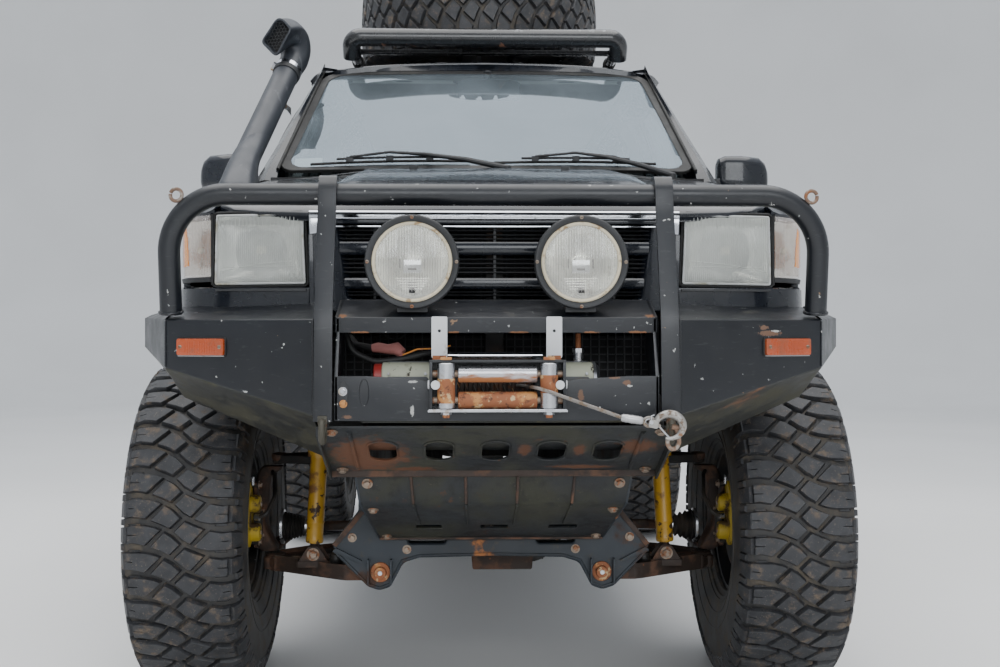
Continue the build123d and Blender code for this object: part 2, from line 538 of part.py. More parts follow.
# ---------------------------------------------------------------- roof rack and spare wheel
rack = pipe([(-495, 830, 2078), (-495, 781, 2142), (495, 781, 2142), (495, 830, 2078)], [38, 38], RACK_TUBE_R)
for sx in (-1, 1):
    rack += rod((sx * 495, 800, 2118), (sx * 495, 2560, 2118), 20)
rack += rod((-495, 2560, 2118), (495, 2560, 2118), 20)
for y in (905, 1306, 1710, 2130):
    rack += box(-495, 495, y - 22, y + 22, 2108, 2122)
for y in (1100, 1800, 2480):
    for sx in (-1, 1):
        x = sx * 495
        rack += box(x - 14, x + 14, y - 22, y + 22, 2078, 2120)
node("roof_rack", rack)

TYRE = [  # offset from the centre plane, radius
    (-TREAD_HALF + 6, 470), (-TREAD_HALF + 26, 477), (-70, TYRE_R), (70, TYRE_R), (TREAD_HALF - 26, 477), (TREAD_HALF - 6, 470),
    (TREAD_HALF, 455), (158, 415), (TYRE_HALF, 365), (152, 300), (124, 240), (106, 228), (106, RIM_SEAT_R + 0.5), (84, RIM_SEAT_R + 0.5), (100, 250),
    (TYRE_HALF - 26, 300), (TYRE_HALF - TYRE_WALL, 365), (138, 425), (110, 446), (-110, 446), (-138, 425),
    (-TYRE_HALF + TYRE_WALL, 365), (-TYRE_HALF + 26, 300), (-100, 250), (-84, RIM_SEAT_R + 0.5), (-106, RIM_SEAT_R + 0.5), (-106, 228), (-124, 240),
    (-152, 300), (-TYRE_HALF, 365), (-158, 415), (-TREAD_HALF, 455)]
RIM = [  # offset from the centre plane (outwards positive), radius
    (-RIM_HALF, RIM_SEAT_R - 2), (-RIM_HALF, RIM_FLANGE_R), (-106.6, RIM_FLANGE_R), (-106.6, RIM_SEAT_R), (-80, RIM_SEAT_R),
    (-64, 204), (64, 204), (80, RIM_SEAT_R), (106.6, RIM_SEAT_R), (106.6, RIM_FLANGE_R), (RIM_HALF, RIM_FLANGE_R),
    (RIM_HALF, RIM_SEAT_R - 2), (104, 206), (86, 206), (66, 198), (-66, 198), (-86, 206), (-104, 206)]
DISC = [  # outwards offset, radius : dished centre
    (30, 0), (30, 92), (52, 120), (58, 160), (40, 199), (48, 199), (66, 160), (60, 116), (40, 88), (40, 0)]
HUB = [(-20, 0), (-20, 75), (-4, 75), (-4, 62), (30, 62), (30, 0)]
CAP = [(40, 0), (40, 44), (92, 38), (98, 30), (98, 0)]


def make_tyre(x, y, z, axis):
    return turned(TYRE, (x, y, z), axis)


def make_rim(x, y, z, axis, hub=True, brake=None):
    r = turned(RIM, (x, y, z), axis) + turned(DISC, (x, y, z), axis)
    a = Vector(*axis)
    u = Vector(0, 0, 1) if abs(a.Z) < 0.9 else Vector(1, 0, 0)
    w = a.cross(u)
    o = Vector(x, y, z)
    for k in range(8):
        t = math.radians(45 * k + 22.5)
        c = o + (u * math.cos(t) + w * math.sin(t)) * 160
        r -= Solid.make_cylinder(21, 90, Plane(origin=c + a * 10, z_dir=a))
    if hub:
        r += turned(HUB, (x, y, z), axis) + turned(CAP, (x, y, z), axis)
    if brake:
        r += turned(brake, (x, y, z), axis)
    return r


DISC_BRAKE = [(-76, 0), (-76, 155), (-52, 155), (-52, 70), (-20, 60), (-20, 0)]
DRUM = [(-98, 0), (-98, 150), (-30, 150), (-20, 110), (-20, 0)]
WHEELS = [  # name, side, y, brake
    ("front_left", 1, 0.0, DISC_BRAKE), ("front_right", -1, 0.0, DISC_BRAKE),
    ("rear_left", 1, WHEELBASE, DRUM), ("rear_right", -1, WHEELBASE, DRUM)]
for name, sx, y, brake in WHEELS:
    node("tyre_" + name, make_tyre(sx * WHEEL_X, y, HUB_Z, (sx, 0, 0)))
    node("rim_" + name, make_rim(sx * WHEEL_X, y, HUB_Z, (sx, 0, 0), True, brake))
node("spare_tyre", make_tyre(-18, SPARE_Y, SPARE_Z, (0, 0, 1)))
node("spare_rim", make_rim(-18, SPARE_Y, SPARE_Z, (0, 0, 1), False))

# ---------------------------------------------------------------- knuckles and steering rods
kn = turned([(0, 0), (0, 58), (18, 70), (72, 70), (72, 0)], (684, 0, HUB_Z), (1, 0, 0))
kn += box(664, 716, -28, 28, 391, 440) + box(640, 700, -28, 28, 391, 404)
kn += box(664, 716, -28, 28, 520, 645) + box(628, 700, -28, 28, 622, 647)
kn += box(690, 757, -150, -60, 415, 545) & rod((600, 0, HUB_Z), (800, 0, HUB_Z), 188)
kn += prism([(640, 0), (690, 0), (668, 210), (628, 210)], 390, 404, "Z")
node("knuckle_left", kn)
node("knuckle_right", flip(kn))
ROD_Z, ROD_Y = 427.0, 190.0
rods = rod((-640, ROD_Y, ROD_Z), (640, ROD_Y, ROD_Z), 13)
rods += rod((-640, ROD_Y, 410), (-640, ROD_Y, 442), 20) + rod((640, ROD_Y, 410), (640, ROD_Y, 442), 20)
node("steering_rods", rods)

# ---------------------------------------------------------------- rear bumper with receiver
rb = prism([(3756, 660), (3756, 800), (3852, 790), (3852, 668)], -760, 760, "X")
end = loft3([[(760, 3756, 660), (760, 3852, 668), (760, 3852, 790), (760, 3756, 800)],
             [(840, 3640, 680), (852, 3650, 690), (852, 3650, 785), (840, 3640, 795)]])
rb = rb + end + flip(end)
rb += box(-400, -340, 3735, 3760, 630, 750) + box(340, 400, 3735, 3760, 630, 750)
receiver = box(-32, 32, 3600, 3856, 560, 624) - box(-25.5, 25.5, 3650, 3900, 566.5, 617.5)
receiver = receiver - rod((-60, 3806, 592), (60, 3806, 592), 8)
rb += receiver + box(-60, 60, 3756, 3790, 618, 665)
node("rear_bumper", rb)

# ---------------------------------------------------------------- write the pieces
os.makedirs("parts", exist_ok=True)
move = Pos(0, SHIFT_Y, 0)
lo, hi = [1e9] * 3, [-1e9] * 3
for name, parts in NODES.items():
    shape = Compound(children=[move * s for s in parts]) if len(parts) > 1 else move * parts[0]
    export_step(shape, "parts/" + name + ".step")
    b = shape.bounding_box()
    lo = [min(a, c) for a, c in zip(lo, (b.min.X, b.min.Y, b.min.Z))]
    hi = [max(a, c) for a, c in zip(hi, (b.max.X, b.max.Y, b.max.Z))]
print(len(NODES), "nodes, box", [round(v, 1) for v in lo], [round(v, 1) for v in hi])
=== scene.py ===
import bpy, bmesh, math, random
from mathutils import Vector, Matrix, Quaternion
from mathutils.geometry import delaunay_2d_cdt


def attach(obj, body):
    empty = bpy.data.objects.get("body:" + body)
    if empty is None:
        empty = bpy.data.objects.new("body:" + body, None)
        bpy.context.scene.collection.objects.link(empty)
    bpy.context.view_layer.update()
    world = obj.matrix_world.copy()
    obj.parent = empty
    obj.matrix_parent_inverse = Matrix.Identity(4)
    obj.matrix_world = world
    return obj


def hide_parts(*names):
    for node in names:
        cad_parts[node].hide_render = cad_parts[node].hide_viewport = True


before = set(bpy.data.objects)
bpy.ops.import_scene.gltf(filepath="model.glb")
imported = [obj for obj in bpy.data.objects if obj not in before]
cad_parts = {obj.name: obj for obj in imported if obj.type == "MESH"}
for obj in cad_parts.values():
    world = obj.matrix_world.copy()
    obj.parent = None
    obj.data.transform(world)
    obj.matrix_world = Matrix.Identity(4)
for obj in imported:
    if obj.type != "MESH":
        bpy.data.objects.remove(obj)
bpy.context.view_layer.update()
SH = -1.411          # front axle's place along Y; everything below is written from the front axle
rnd = random.Random(7)
PI = math.pi

# ------------------------------------------------------------------ materials
class Nodes:
    def __init__(self, name):
        self.m = bpy.data.materials.new(name)
        self.m.use_nodes = True
        self.t = self.m.node_tree
        self.p = self.t.nodes["Principled BSDF"]
        self.tc = self.t.nodes.new("ShaderNodeTexCoord")

    def new(self, kind, **inputs):
        n = self.t.nodes.new(kind)
        for k, v in inputs.items():
            n.inputs[k.replace("_", " ")].default_value = v
        return n

    def link(self, a, b):
        self.t.links.new(a, b)

    def noise(self, scale, detail=4.0, rough=0.55, stretch=None, distort=0.0):
        n = self.new("ShaderNodeTexNoise", Scale=scale, Detail=detail, Roughness=rough, Distortion=distort)
        if stretch:
            mp = self.new("ShaderNodeMapping")
            mp.inputs["Scale"].default_value = stretch
            self.link(self.tc.outputs["Object"], mp.inputs["Vector"])
            self.link(mp.outputs["Vector"], n.inputs["Vector"])
        else:
            self.link(self.tc.outputs["Object"], n.inputs["Vector"])
        return n.outputs["Fac"]

    def voronoi(self, scale, feature="F1", stretch=None):
        n = self.new("ShaderNodeTexVoronoi", Scale=scale)
        n.feature = feature
        if stretch:
            mp = self.new("ShaderNodeMapping")
            mp.inputs["Scale"].default_value = stretch
            self.link(self.tc.outputs["Object"], mp.inputs["Vector"])
            self.link(mp.outputs["Vector"], n.inputs["Vector"])
        else:
            self.link(self.tc.outputs["Object"], n.inputs["Vector"])
        return n.outputs["Distance"]

    def ramp(self, fac, lo, hi, flip=False):
        n = self.new("ShaderNodeMapRange")
        n.interpolation_type = "SMOOTHSTEP"
        n.inputs["From Min"].default_value = lo
        n.inputs["From Max"].default_value = hi
        n.inputs["To Min"].default_value = 1.0 if flip else 0.0
        n.inputs["To Max"].default_value = 0.0 if flip else 1.0
        self.link(fac, n.inputs["Value"])
        return n.outputs["Result"]

    def math(self, op, a, b):
        n = self.new("ShaderNodeMath")
        n.operation = op
        for i, v in enumerate((a, b)):
            if isinstance(v, (int, float)):
                n.inputs[i].default_value = v
            else:
                self.link(v, n.inputs[i])
        return n.outputs[0]

    def mix(self, fac, a, b):
        n = self.t.nodes.new("ShaderNodeMix")
        n.data_type = "RGBA"
        self.link(fac, n.inputs["Factor"]) if not isinstance(fac, (int, float)) else None
        for s, v in ((n.inputs[6], a), (n.inputs[7], b)):
            if isinstance(v, (tuple, list)):
                s.default_value = (*v[:3], 1.0)
            else:
                self.link(v, s)
        return n.outputs[2]

    def mixf(self, fac, a, b):
        n = self.t.nodes.new("ShaderNodeMix")
        n.data_type = "FLOAT"
        self.link(fac, n.inputs["Factor"])
        for s, v in ((n.inputs[2], a), (n.inputs[3], b)):
            if isinstance(v, (int, float)):
                s.default_value = v
            else:
                self.link(v, s)
        return n.outputs[0]

    def up(self, lo=0.2, hi=0.9):
        g = self.t.nodes.new("ShaderNodeNewGeometry")
        s = self.t.nodes.new("ShaderNodeSeparateXYZ")
        self.link(g.outputs["Normal"], s.inputs[0])
        return self.ramp(s.outputs["Z"], lo, hi)

    def height(self, lo, hi, flip=False):
        s = self.t.nodes.new("ShaderNodeSeparateXYZ")
        self.link(self.tc.outputs["Object"], s.inputs[0])
        return self.ramp(s.outputs["Z"], lo, hi, flip)

    def axis(self, k):
        s = self.t.nodes.new("ShaderNodeSeparateXYZ")
        self.link(self.tc.outputs["Object"], s.inputs[0])
        return s.outputs[k]

    def near(self, c, size, wobble=0.5, soft=0.25, scale=16.0):
        """1 inside a ragged blob of half sizes (x, y, z) round c, c being measured from the front axle."""
        mp = self.new("ShaderNodeMapping")
        mp.inputs["Scale"].default_value = [1.0 / q for q in size]
        mp.inputs["Location"].default_value = [-c[0] / size[0], -(c[1] + SH) / size[1], -c[2] / size[2]]
        self.link(self.tc.outputs["Object"], mp.inputs["Vector"])
        ln = self.t.nodes.new("ShaderNodeVectorMath")
        ln.operation = "LENGTH"
        self.link(mp.outputs["Vector"], ln.inputs[0])
        w = self.math("MULTIPLY", self.math("SUBTRACT", self.noise(scale, 6, 0.65), 0.5), 2.0 * wobble)
        return self.ramp(self.math("ADD", ln.outputs["Value"], w), 1.0 - soft, 1.0, True)

    def bump(self, height, strength=0.3, dist=0.002):
        b = self.new("ShaderNodeBump", Strength=strength, Distance=dist)
        self.link(height, b.inputs["Height"])
        return b.outputs["Normal"]


def surface(name, base, rough, metal=0.0, layers=(), bumps=(), coat=0.0, coat_rough=0.1, spec=0.5, sheen=0.0, vary=0.15):
    """A surface from a base colour and layers.  A layer: mask kind, scale, low, high, colour, roughness, optional up/low limits."""
    n = Nodes(name)
    p = n.p
    p.inputs["Metallic"].default_value = metal
    p.inputs["Coat Weight"].default_value = coat
    p.inputs["Coat Roughness"].default_value = coat_rough
    p.inputs["Specular IOR Level"].default_value = spec
    if sheen:
        p.inputs["Sheen Weight"].default_value = sheen
    tone = n.ramp(n.noise(3.1, 5), 0.3, 0.7)
    col = n.mix(tone, [c * (1 - vary) for c in base], [min(1, c * (1 + vary)) for c in base])
    ro = n.mixf(n.ramp(n.noise(17.0, 4), 0.3, 0.7), max(0.02, rough - 0.06), min(1.0, rough + 0.06))
    me = None
    for L in layers:
        kind, scale, lo, hi, colour, lr = L[:6]
        opt = L[6] if len(L) > 6 else {}
        if kind == "noise":
            mask = n.ramp(n.noise(scale, opt.get("detail", 6), opt.get("r", 0.6), opt.get("stretch"), opt.get("distort", 0.0)), lo, hi)
        elif kind == "spots":
            mask = n.ramp(n.voronoi(scale, stretch=opt.get("stretch")), lo, hi, True)
            mask = n.math("MULTIPLY", mask, n.ramp(n.noise(scale * 0.31, 3), opt.get("gate", 0.55), opt.get("gate", 0.55) + 0.06))
        elif kind == "at":
            mask = None
            for c, size in scale:
                q = n.near(c, size, hi, lo, opt.get("scale", 16.0))
                mask = q if mask is None else n.math("MAXIMUM", mask, q)
        else:
            mask = n.up(lo, hi)
        if opt.get("up"):
            mask = n.math("MULTIPLY", mask, n.up(*opt["up"]))
        if opt.get("z"):
            mask = n.math("MULTIPLY", mask, n.height(*opt["z"]))
        if opt.get("amount", 1.0) != 1.0:
            mask = n.math("MULTIPLY", mask, opt["amount"])
        col = n.mix(mask, col, colour)
        ro = n.mixf(mask, ro, lr)
        if "metal" in opt or me is not None:
            me = n.mixf(mask, metal if me is None else me, opt.get("metal", 0.0))
    n.link(col, p.inputs["Base Color"])
    n.link(ro, p.inputs["Roughness"])
    if me is not None:
        n.link(me, p.inputs["Metallic"])
    h = None
    for kind, scale, weight in bumps:
        f = n.noise(scale, 5) if kind == "noise" else n.voronoi(scale)
        f = n.math("MULTIPLY", f, weight)
        h = f if h is None else n.math("ADD", h, f)
    if h is not None:
        n.link(n.bump(h, 0.6, 0.004), p.inputs["Normal"])
    return n.m


DUST = (0.30, 0.26, 0.20)
RUST = (0.33, 0.13, 0.045)
RUST_DARK = (0.11, 0.045, 0.022)
BROWN = (0.16, 0.105, 0.06)
M_BODY = surface("body_paint_dark", (0.0085, 0.0108, 0.016), 0.26, coat=0.6, coat_rough=0.06, spec=0.3, vary=0.3,
                 layers=[("noise", 2.3, 0.50, 0.75, (0.05, 0.05, 0.05), 0.5, {"up": (0.2, 0.9), "amount": 0.35}),
                         ("noise", 55.0, 0.66, 0.72, (0.14, 0.14, 0.13), 0.6, {"amount": 0.35, "up": (-0.4, 0.5)}),
                         ("noise", 6.0, 0.45, 0.75, (0.13, 0.11, 0.085), 0.65, {"z": (0.8, 1.15, True), "amount": 0.55})],
                 bumps=[("noise", 240.0, 0.006)])
M_BUMPER = surface("bumper_satin_black", (0.0050, 0.0064, 0.0095), 0.36, coat=0.12, coat_rough=0.25, vary=0.2,
                   layers=[("noise", 5.0, 0.5, 0.78, (0.014, 0.016, 0.019), 0.5, {"amount": 0.6}),
                           ("noise", 30.0, 0.60, 0.68, (0.05, 0.053, 0.056), 0.6, {"stretch": (1.0, 1.0, 5.0), "amount": 0.3}),
                           ("noise", 55.0, 0.690, 0.705, (0.50, 0.50, 0.48), 0.7, {"detail": 8, "amount": 0.85, "r": 0.55}),
                           ("noise", 21.0, 0.705, 0.715, (0.24, 0.15, 0.09), 0.85, {"detail": 9, "r": 0.6}),
                           ("noise", 9.0, 0.58, 0.72, (0.07, 0.064, 0.048), 0.8, {"up": (0.3, 0.9), "amount": 0.45}),
                           # brown bare patch over one indicator, marks on the channel plate, rust along the beam's lower fold
                           ("at", [((0.655, -0.849, 1.0505), (0.034, 0.03, 0.0075)), ((0.640, -0.854, 1.0640), (0.013, 0.03, 0.006)), ((0.193, -0.945, 0.906), (0.008, 0.01, 0.015)), ((0.300, -0.945, 0.936), (0.010, 0.01, 0.008)), ((-0.345, -0.945, 0.858), (0.012, 0.01, 0.005)), ((0.270, -0.945, 0.948), (0.015, 0.01, 0.0035))], 0.3, 0.9, (0.15, 0.085, 0.055), 0.85, {"scale": 190.0}),
                           ("at", [((-0.196, -0.945, 0.872), (0.0045, 0.01, 0.013)), ((0.237, -0.945, 0.876), (0.0025, 0.01, 0.006)), ((-0.195, -0.945, 0.939), (0.012, 0.01, 0.003)), ((0.306, -0.945, 0.929), (0.006, 0.01, 0.0028)), ((0.672, -0.845, 1.0560), (0.012, 0.03, 0.0030)), ((0.785, -0.80, 1.14), (0.003, 0.02, 0.006)), ((-0.785, -0.80, 1.15), (0.003, 0.02, 0.009))], 0.2, 1.1, (0.42, 0.42, 0.40), 0.75, {"scale": 230.0}),
                           ("at", [((-0.32, -0.905, 1.0525), (0.022, 0.01, 0.0035)), ((-0.10, -0.905, 1.0525), (0.018, 0.01, 0.003)), ((0.05, -0.905, 1.0525), (0.024, 0.01, 0.003)), ((0.22, -0.905, 1.0525), (0.020, 0.01, 0.0035)), ((0.33, -0.905, 1.0525), (0.028, 0.01, 0.004)), ((-0.36, -0.90, 1.092), (0.012, 0.02, 0.006)), ((0.36, -0.90, 1.092), (0.014, 0.02, 0.006))], 0.4, 1.0, (0.22, 0.10, 0.045), 0.85, {"scale": 150.0})],
                   bumps=[("noise", 160.0, 0.03), ("noise", 22.0, 0.05)])
M_CHIN = surface("bumper_underside_grimy", (0.011, 0.012, 0.010), 0.55, vary=0.3,
                 layers=[("noise", 7.0, 0.42, 0.66, (0.034, 0.032, 0.017), 0.8),
                         ("noise", 34.0, 0.56, 0.70, (0.085, 0.078, 0.045), 0.9, {"amount": 0.55}),
                         ("noise", 3.0, 0.60, 0.68, RUST, 0.9, {"amount": 0.5})],
                 bumps=[("noise", 90.0, 0.08)])
M_SKID = surface("skid_plate_grimy", (0.012, 0.014, 0.016), 0.5, vary=0.3,
                 layers=[("noise", 5.0, 0.42, 0.66, (0.030, 0.030, 0.019), 0.75), ("noise", 22.0, 0.52, 0.66, (0.008, 0.008, 0.007), 0.65, {"amount": 0.7}),
                         ("at", [((-0.31, -0.74, 0.75), (0.115, 0.15, 0.11))], 0.45, 0.75, (0.115, 0.046, 0.021), 0.88, {"scale": 40.0}),
                         ("at", [((0.07, -0.775, 0.77), (0.020, 0.05, 0.06)), ((0.205, -0.775, 0.77), (0.018, 0.05, 0.06)), ((-0.20, -0.64, 0.71), (0.07, 0.022, 0.03)), ((0.22, -0.655, 0.715), (0.10, 0.018, 0.03)), ((0.34, -0.80, 0.78), (0.06, 0.06, 0.06))], 0.5, 0.9, (0.095, 0.037, 0.016), 0.88, {"scale": 80.0}),
                         ("noise", 34.0, 0.63, 0.70, (0.095, 0.042, 0.020), 0.88, {"amount": 0.6}), ("noise", 120.0, 0.63, 0.70, (0.10, 0.09, 0.065), 0.9, {"amount": 0.5})], bumps=[("noise", 60.0, 0.35), ("noise", 220.0, 0.12)])
M_CROSS = surface("crossmember_blue_grey", (0.017, 0.023, 0.030), 0.5, vary=0.25,
                  layers=[("noise", 8.0, 0.54, 0.62, (0.060, 0.034, 0.024), 0.85, {"detail": 9}),
                          ("noise", 40.0, 0.57, 0.7, (0.070, 0.055, 0.040), 0.9, {"amount": 0.5}),
                          ("noise", 4.0, 0.62, 0.66, RUST, 0.85)],
                  bumps=[("noise", 70.0, 0.12)])
M_ARM = surface("arm_rusty_brown", (0.036, 0.023, 0.017), 0.7, vary=0.3,
                layers=[("noise", 14.0, 0.45, 0.62, (0.12, 0.062, 0.038), 0.85, {"detail": 9}),
                        ("noise", 5.0, 0.55, 0.7, (0.15, 0.12, 0.085), 0.95, {"up": (0.0, 0.8)}),
                        ("spots", 40.0, 0.05, 0.2, (0.24, 0.09, 0.035), 0.85, {"gate": 0.55})],
                bumps=[("noise", 60.0, 0.25), ("noise", 14.0, 0.3)])
M_CHASSIS = surface("chassis_black_rusty", (0.022, 0.021, 0.020), 0.65, vary=0.3,
                    layers=[("noise", 6.0, 0.50, 0.66, (0.085, 0.045, 0.028), 0.9, {"detail": 9}),
                            ("noise", 3.0, 0.50, 0.75, (0.12, 0.10, 0.075), 0.95, {"amount": 0.6})],
                    bumps=[("noise", 70.0, 0.2)])
M_CAST = surface("cast_metal_oily", (0.050, 0.048, 0.045), 0.55, metal=0.3, vary=0.3,
                 layers=[("noise", 7.0, 0.48, 0.66, (0.03, 0.026, 0.02), 0.4), ("noise", 16.0, 0.55, 0.7, (0.13, 0.10, 0.07), 0.9)],
                 bumps=[("noise", 120.0, 0.2)])
M_SHOCK = surface("shock_mustard", (0.47, 0.255, 0.014), 0.42, coat=0.2, vary=0.15,
                  layers=[("noise", 12.0, 0.53, 0.62, (0.19, 0.085, 0.022), 0.8, {"detail": 9}),
                          ("noise", 21.0, 0.575, 0.62, (0.040, 0.020, 0.012), 0.9, {"detail": 8}),
                          ("noise", 4.0, 0.5, 0.8, (0.35, 0.23, 0.06), 0.7, {"amount": 0.5})],
                  bumps=[("noise", 50.0, 0.12)])
M_CALIPER = surface("caliper_yellow", (0.52, 0.36, 0.02), 0.5, vary=0.2,
                    layers=[("noise", 18.0, 0.52, 0.60, (0.060, 0.035, 0.02), 0.9, {"detail": 9}), ("noise", 9.0, 0.5, 0.7, (0.20, 0.13, 0.05), 0.8)],
                    bumps=[("noise", 60.0, 0.3)])
M_ZINC = surface("zinc_steel", (0.55, 0.56, 0.58), 0.30, metal=0.95, vary=0.1,
                 layers=[("noise", 30.0, 0.55, 0.70, (0.36, 0.30, 0.24), 0.55, {"metal": 0.5}),
                         ("noise", 12.0, 0.62, 0.68, (0.24, 0.10, 0.04), 0.85, {"metal": 0.0})],
                 bumps=[("noise", 90.0, 0.05)])
M_RUSTROLL = surface("roller_rusty", (0.25, 0.085, 0.032), 0.70, vary=0.3,
                     layers=[("noise", 26.0, 0.50, 0.60, (0.46, 0.21, 0.065), 0.62, {"detail": 9}), ("noise", 44.0, 0.55, 0.62, (0.58, 0.42, 0.22), 0.55, {"detail": 9, "amount": 0.8}), ("noise", 60.0, 0.56, 0.66, (0.10, 0.040, 0.022), 0.88)],
                     bumps=[("noise", 50.0, 0.3)])
M_HALFRUST = surface("roller_half_rusty", (0.50, 0.50, 0.52), 0.3, metal=0.9, vary=0.1,
                     layers=[("noise", 9.0, 0.44, 0.50, (0.34, 0.13, 0.045), 0.8, {"metal": 0.0, "detail": 9, "stretch": (0.3, 0.3, 1.6)})],
                     bumps=[("noise", 60.0, 0.15)])
M_CABLE = surface("steel_rope", (0.26, 0.24, 0.22), 0.45, metal=0.7, vary=0.2, layers=[("noise", 50.0, 0.5, 0.65, (0.20, 0.14, 0.09), 0.8, {"metal": 0.1})])
M_DRUMROPE = surface("rope_on_drum", (0.12, 0.09, 0.075), 0.6, metal=0.4, vary=0.4, layers=[("noise", 60.0, 0.5, 0.65, (0.20, 0.09, 0.05), 0.85)])
M_CHROME = surface("chrome_strip", (0.72, 0.74, 0.78), 0.10, metal=1.0, vary=0.04, layers=[("noise", 40.0, 0.6, 0.72, (0.42, 0.42, 0.42), 0.35)])
M_EYE = surface("tow_eye_olive", (0.055, 0.050, 0.036), 0.55, metal=0.2, vary=0.25, layers=[("noise", 34.0, 0.54, 0.64, (0.12, 0.055, 0.028), 0.85, {"metal": 0.0}), ("noise", 60.0, 0.62, 0.69, (0.16, 0.16, 0.14), 0.45, {"metal": 0.5})], bumps=[("noise", 90.0, 0.15)])
M_HOOK = surface("hook_worn_steel", (0.34, 0.33, 0.31), 0.42, metal=0.8, vary=0.2, layers=[("noise", 46.0, 0.52, 0.62, (0.16, 0.11, 0.075), 0.75, {"metal": 0.2}), ("noise", 20.0, 0.60, 0.68, (0.24, 0.105, 0.045), 0.85, {"metal": 0.0})], bumps=[("noise", 120.0, 0.12)])
M_SHACKLE = surface("shackle_rusty", (0.20, 0.125, 0.085), 0.7, metal=0.2, vary=0.3, layers=[("noise", 50.0, 0.5, 0.6, (0.34, 0.30, 0.26), 0.5, {"metal": 0.5}), ("noise", 26.0, 0.56, 0.64, (0.24, 0.095, 0.038), 0.85, {"metal": 0.0})], bumps=[("noise", 110.0, 0.2)])
M_ALU = surface("cast_aluminium", (0.46, 0.46, 0.46), 0.42, metal=0.85, vary=0.1, layers=[("noise", 40.0, 0.55, 0.7, (0.36, 0.35, 0.33), 0.6)], bumps=[("noise", 180.0, 0.1)])
M_WHITE = surface("white_bracket", (0.62, 0.63, 0.64), 0.45, vary=0.06, layers=[("noise", 24.0, 0.58, 0.68, (0.36, 0.32, 0.26), 0.7)])
M_BLACKP = surface("black_plastic_matte", (0.020, 0.021, 0.023), 0.55, vary=0.2,
                   layers=[("noise", 4.0, 0.5, 0.8, (0.06, 0.058, 0.052), 0.7, {"up": (0.1, 0.9)})], bumps=[("noise", 420.0, 0.05)])
M_SNORK = surface("snorkel_plastic", (0.030, 0.034, 0.042), 0.42, vary=0.12,
                  layers=[("noise", 5.0, 0.5, 0.75, (0.055, 0.058, 0.065), 0.5, {"amount": 0.7}),
                          ("noise", 26.0, 0.62, 0.66, (0.10, 0.105, 0.115), 0.6, {"stretch": (1.0, 1.0, 0.25), "amount": 0.5})],
                  bumps=[("noise", 300.0, 0.05)])
M_TUBE = surface("rack_gloss_black", (0.012, 0.0125, 0.014), 0.26, coat=0.5, coat_rough=0.12, vary=0.3,
                 layers=[("noise", 34.0, 0.60, 0.66, (0.34, 0.35, 0.37), 0.6, {"up": (0.35, 0.95), "amount": 0.75, "detail": 9}),
                         ("noise", 9.0, 0.66, 0.69, (0.20, 0.09, 0.05), 0.8), ("noise", 5.0, 0.5, 0.8, (0.05, 0.045, 0.04), 0.6, {"amount": 0.6})],
                 bumps=[("noise", 60.0, 0.08)])
M_RUBBER = surface("rubber_seal", (0.012, 0.012, 0.012), 0.6, vary=0.2, layers=[("noise", 9.0, 0.5, 0.75, (0.05, 0.047, 0.04), 0.8, {"amount": 0.5})], bumps=[("noise", 260.0, 0.05)])
M_BOOT = surface("boot_rubber", (0.014, 0.013, 0.012), 0.5, vary=0.3, layers=[("noise", 14.0, 0.45, 0.7, (0.06, 0.045, 0.032), 0.85)])
M_DARK = surface("inner_dark", (0.010, 0.010, 0.011), 0.8, vary=0.2, layers=[("noise", 6.0, 0.5, 0.75, (0.03, 0.026, 0.022), 0.9)])
M_LINER = surface("wheel_liner", (0.018, 0.017, 0.016), 0.85, vary=0.3, layers=[("noise", 5.0, 0.45, 0.7, (0.085, 0.065, 0.045), 0.95)], bumps=[("noise", 40.0, 0.3)])
M_RIM = surface("rim_satin_black", (0.020, 0.020, 0.021), 0.42, coat=0.2, coat_rough=0.3, vary=0.25,
                layers=[("noise", 10.0, 0.45, 0.72, (0.11, 0.085, 0.06), 0.85, {"amount": 0.7}), ("spots", 50.0, 0.05, 0.12, (0.33, 0.32, 0.30), 0.6, {"gate": 0.57})],
                bumps=[("noise", 80.0, 0.08)])
M_WINCHB = surface("winch_cream", (0.46, 0.47, 0.36), 0.5, vary=0.1, layers=[("noise", 14.0, 0.55, 0.68, (0.20, 0.16, 0.10), 0.75), ("noise", 50.0, 0.64, 0.68, (0.05, 0.04, 0.03), 0.8)])
M_WINCHG = surface("winch_grey", (0.065, 0.07, 0.075), 0.45, vary=0.2, layers=[("noise", 18.0, 0.55, 0.68, (0.16, 0.14, 0.11), 0.8)])
M_RED = surface("winch_red_end", (0.34, 0.03, 0.025), 0.45, vary=0.15, layers=[("noise", 22.0, 0.58, 0.68, (0.12, 0.08, 0.05), 0.8)])
M_PINK = surface("terminal_boot_faded", (0.44, 0.17, 0.15), 0.6, vary=0.15, layers=[("noise", 30.0, 0.56, 0.68, (0.12, 0.08, 0.06), 0.8)])
M_TAN = surface("tan_carrier", (0.50, 0.42, 0.30), 0.55, vary=0.1)
M_PLAST = surface("dash_plastic", (0.030, 0.031, 0.033), 0.62, vary=0.15, layers=[("dust", 0, 0.4, 0.95, (0.06, 0.058, 0.052), 0.75, {"amount": 0.5})], bumps=[("voronoi", 320.0, 0.12)])
M_CLOTH = surface("seat_cloth", (0.060, 0.062, 0.066), 0.9, sheen=0.4, vary=0.2, layers=[("noise", 190.0, 0.50, 0.6, (0.095, 0.097, 0.10), 0.95)], bumps=[("voronoi", 480.0, 0.3)])
M_CARPET = surface("carpet", (0.028, 0.028, 0.030), 0.98, sheen=0.3, vary=0.25, layers=[("noise", 7.0, 0.5, 0.7, (0.06, 0.052, 0.042), 0.98)], bumps=[("noise", 520.0, 0.5)])
M_HEADLINER = surface("headliner", (0.42, 0.41, 0.38), 0.95, vary=0.06, bumps=[("noise", 420.0, 0.15)])
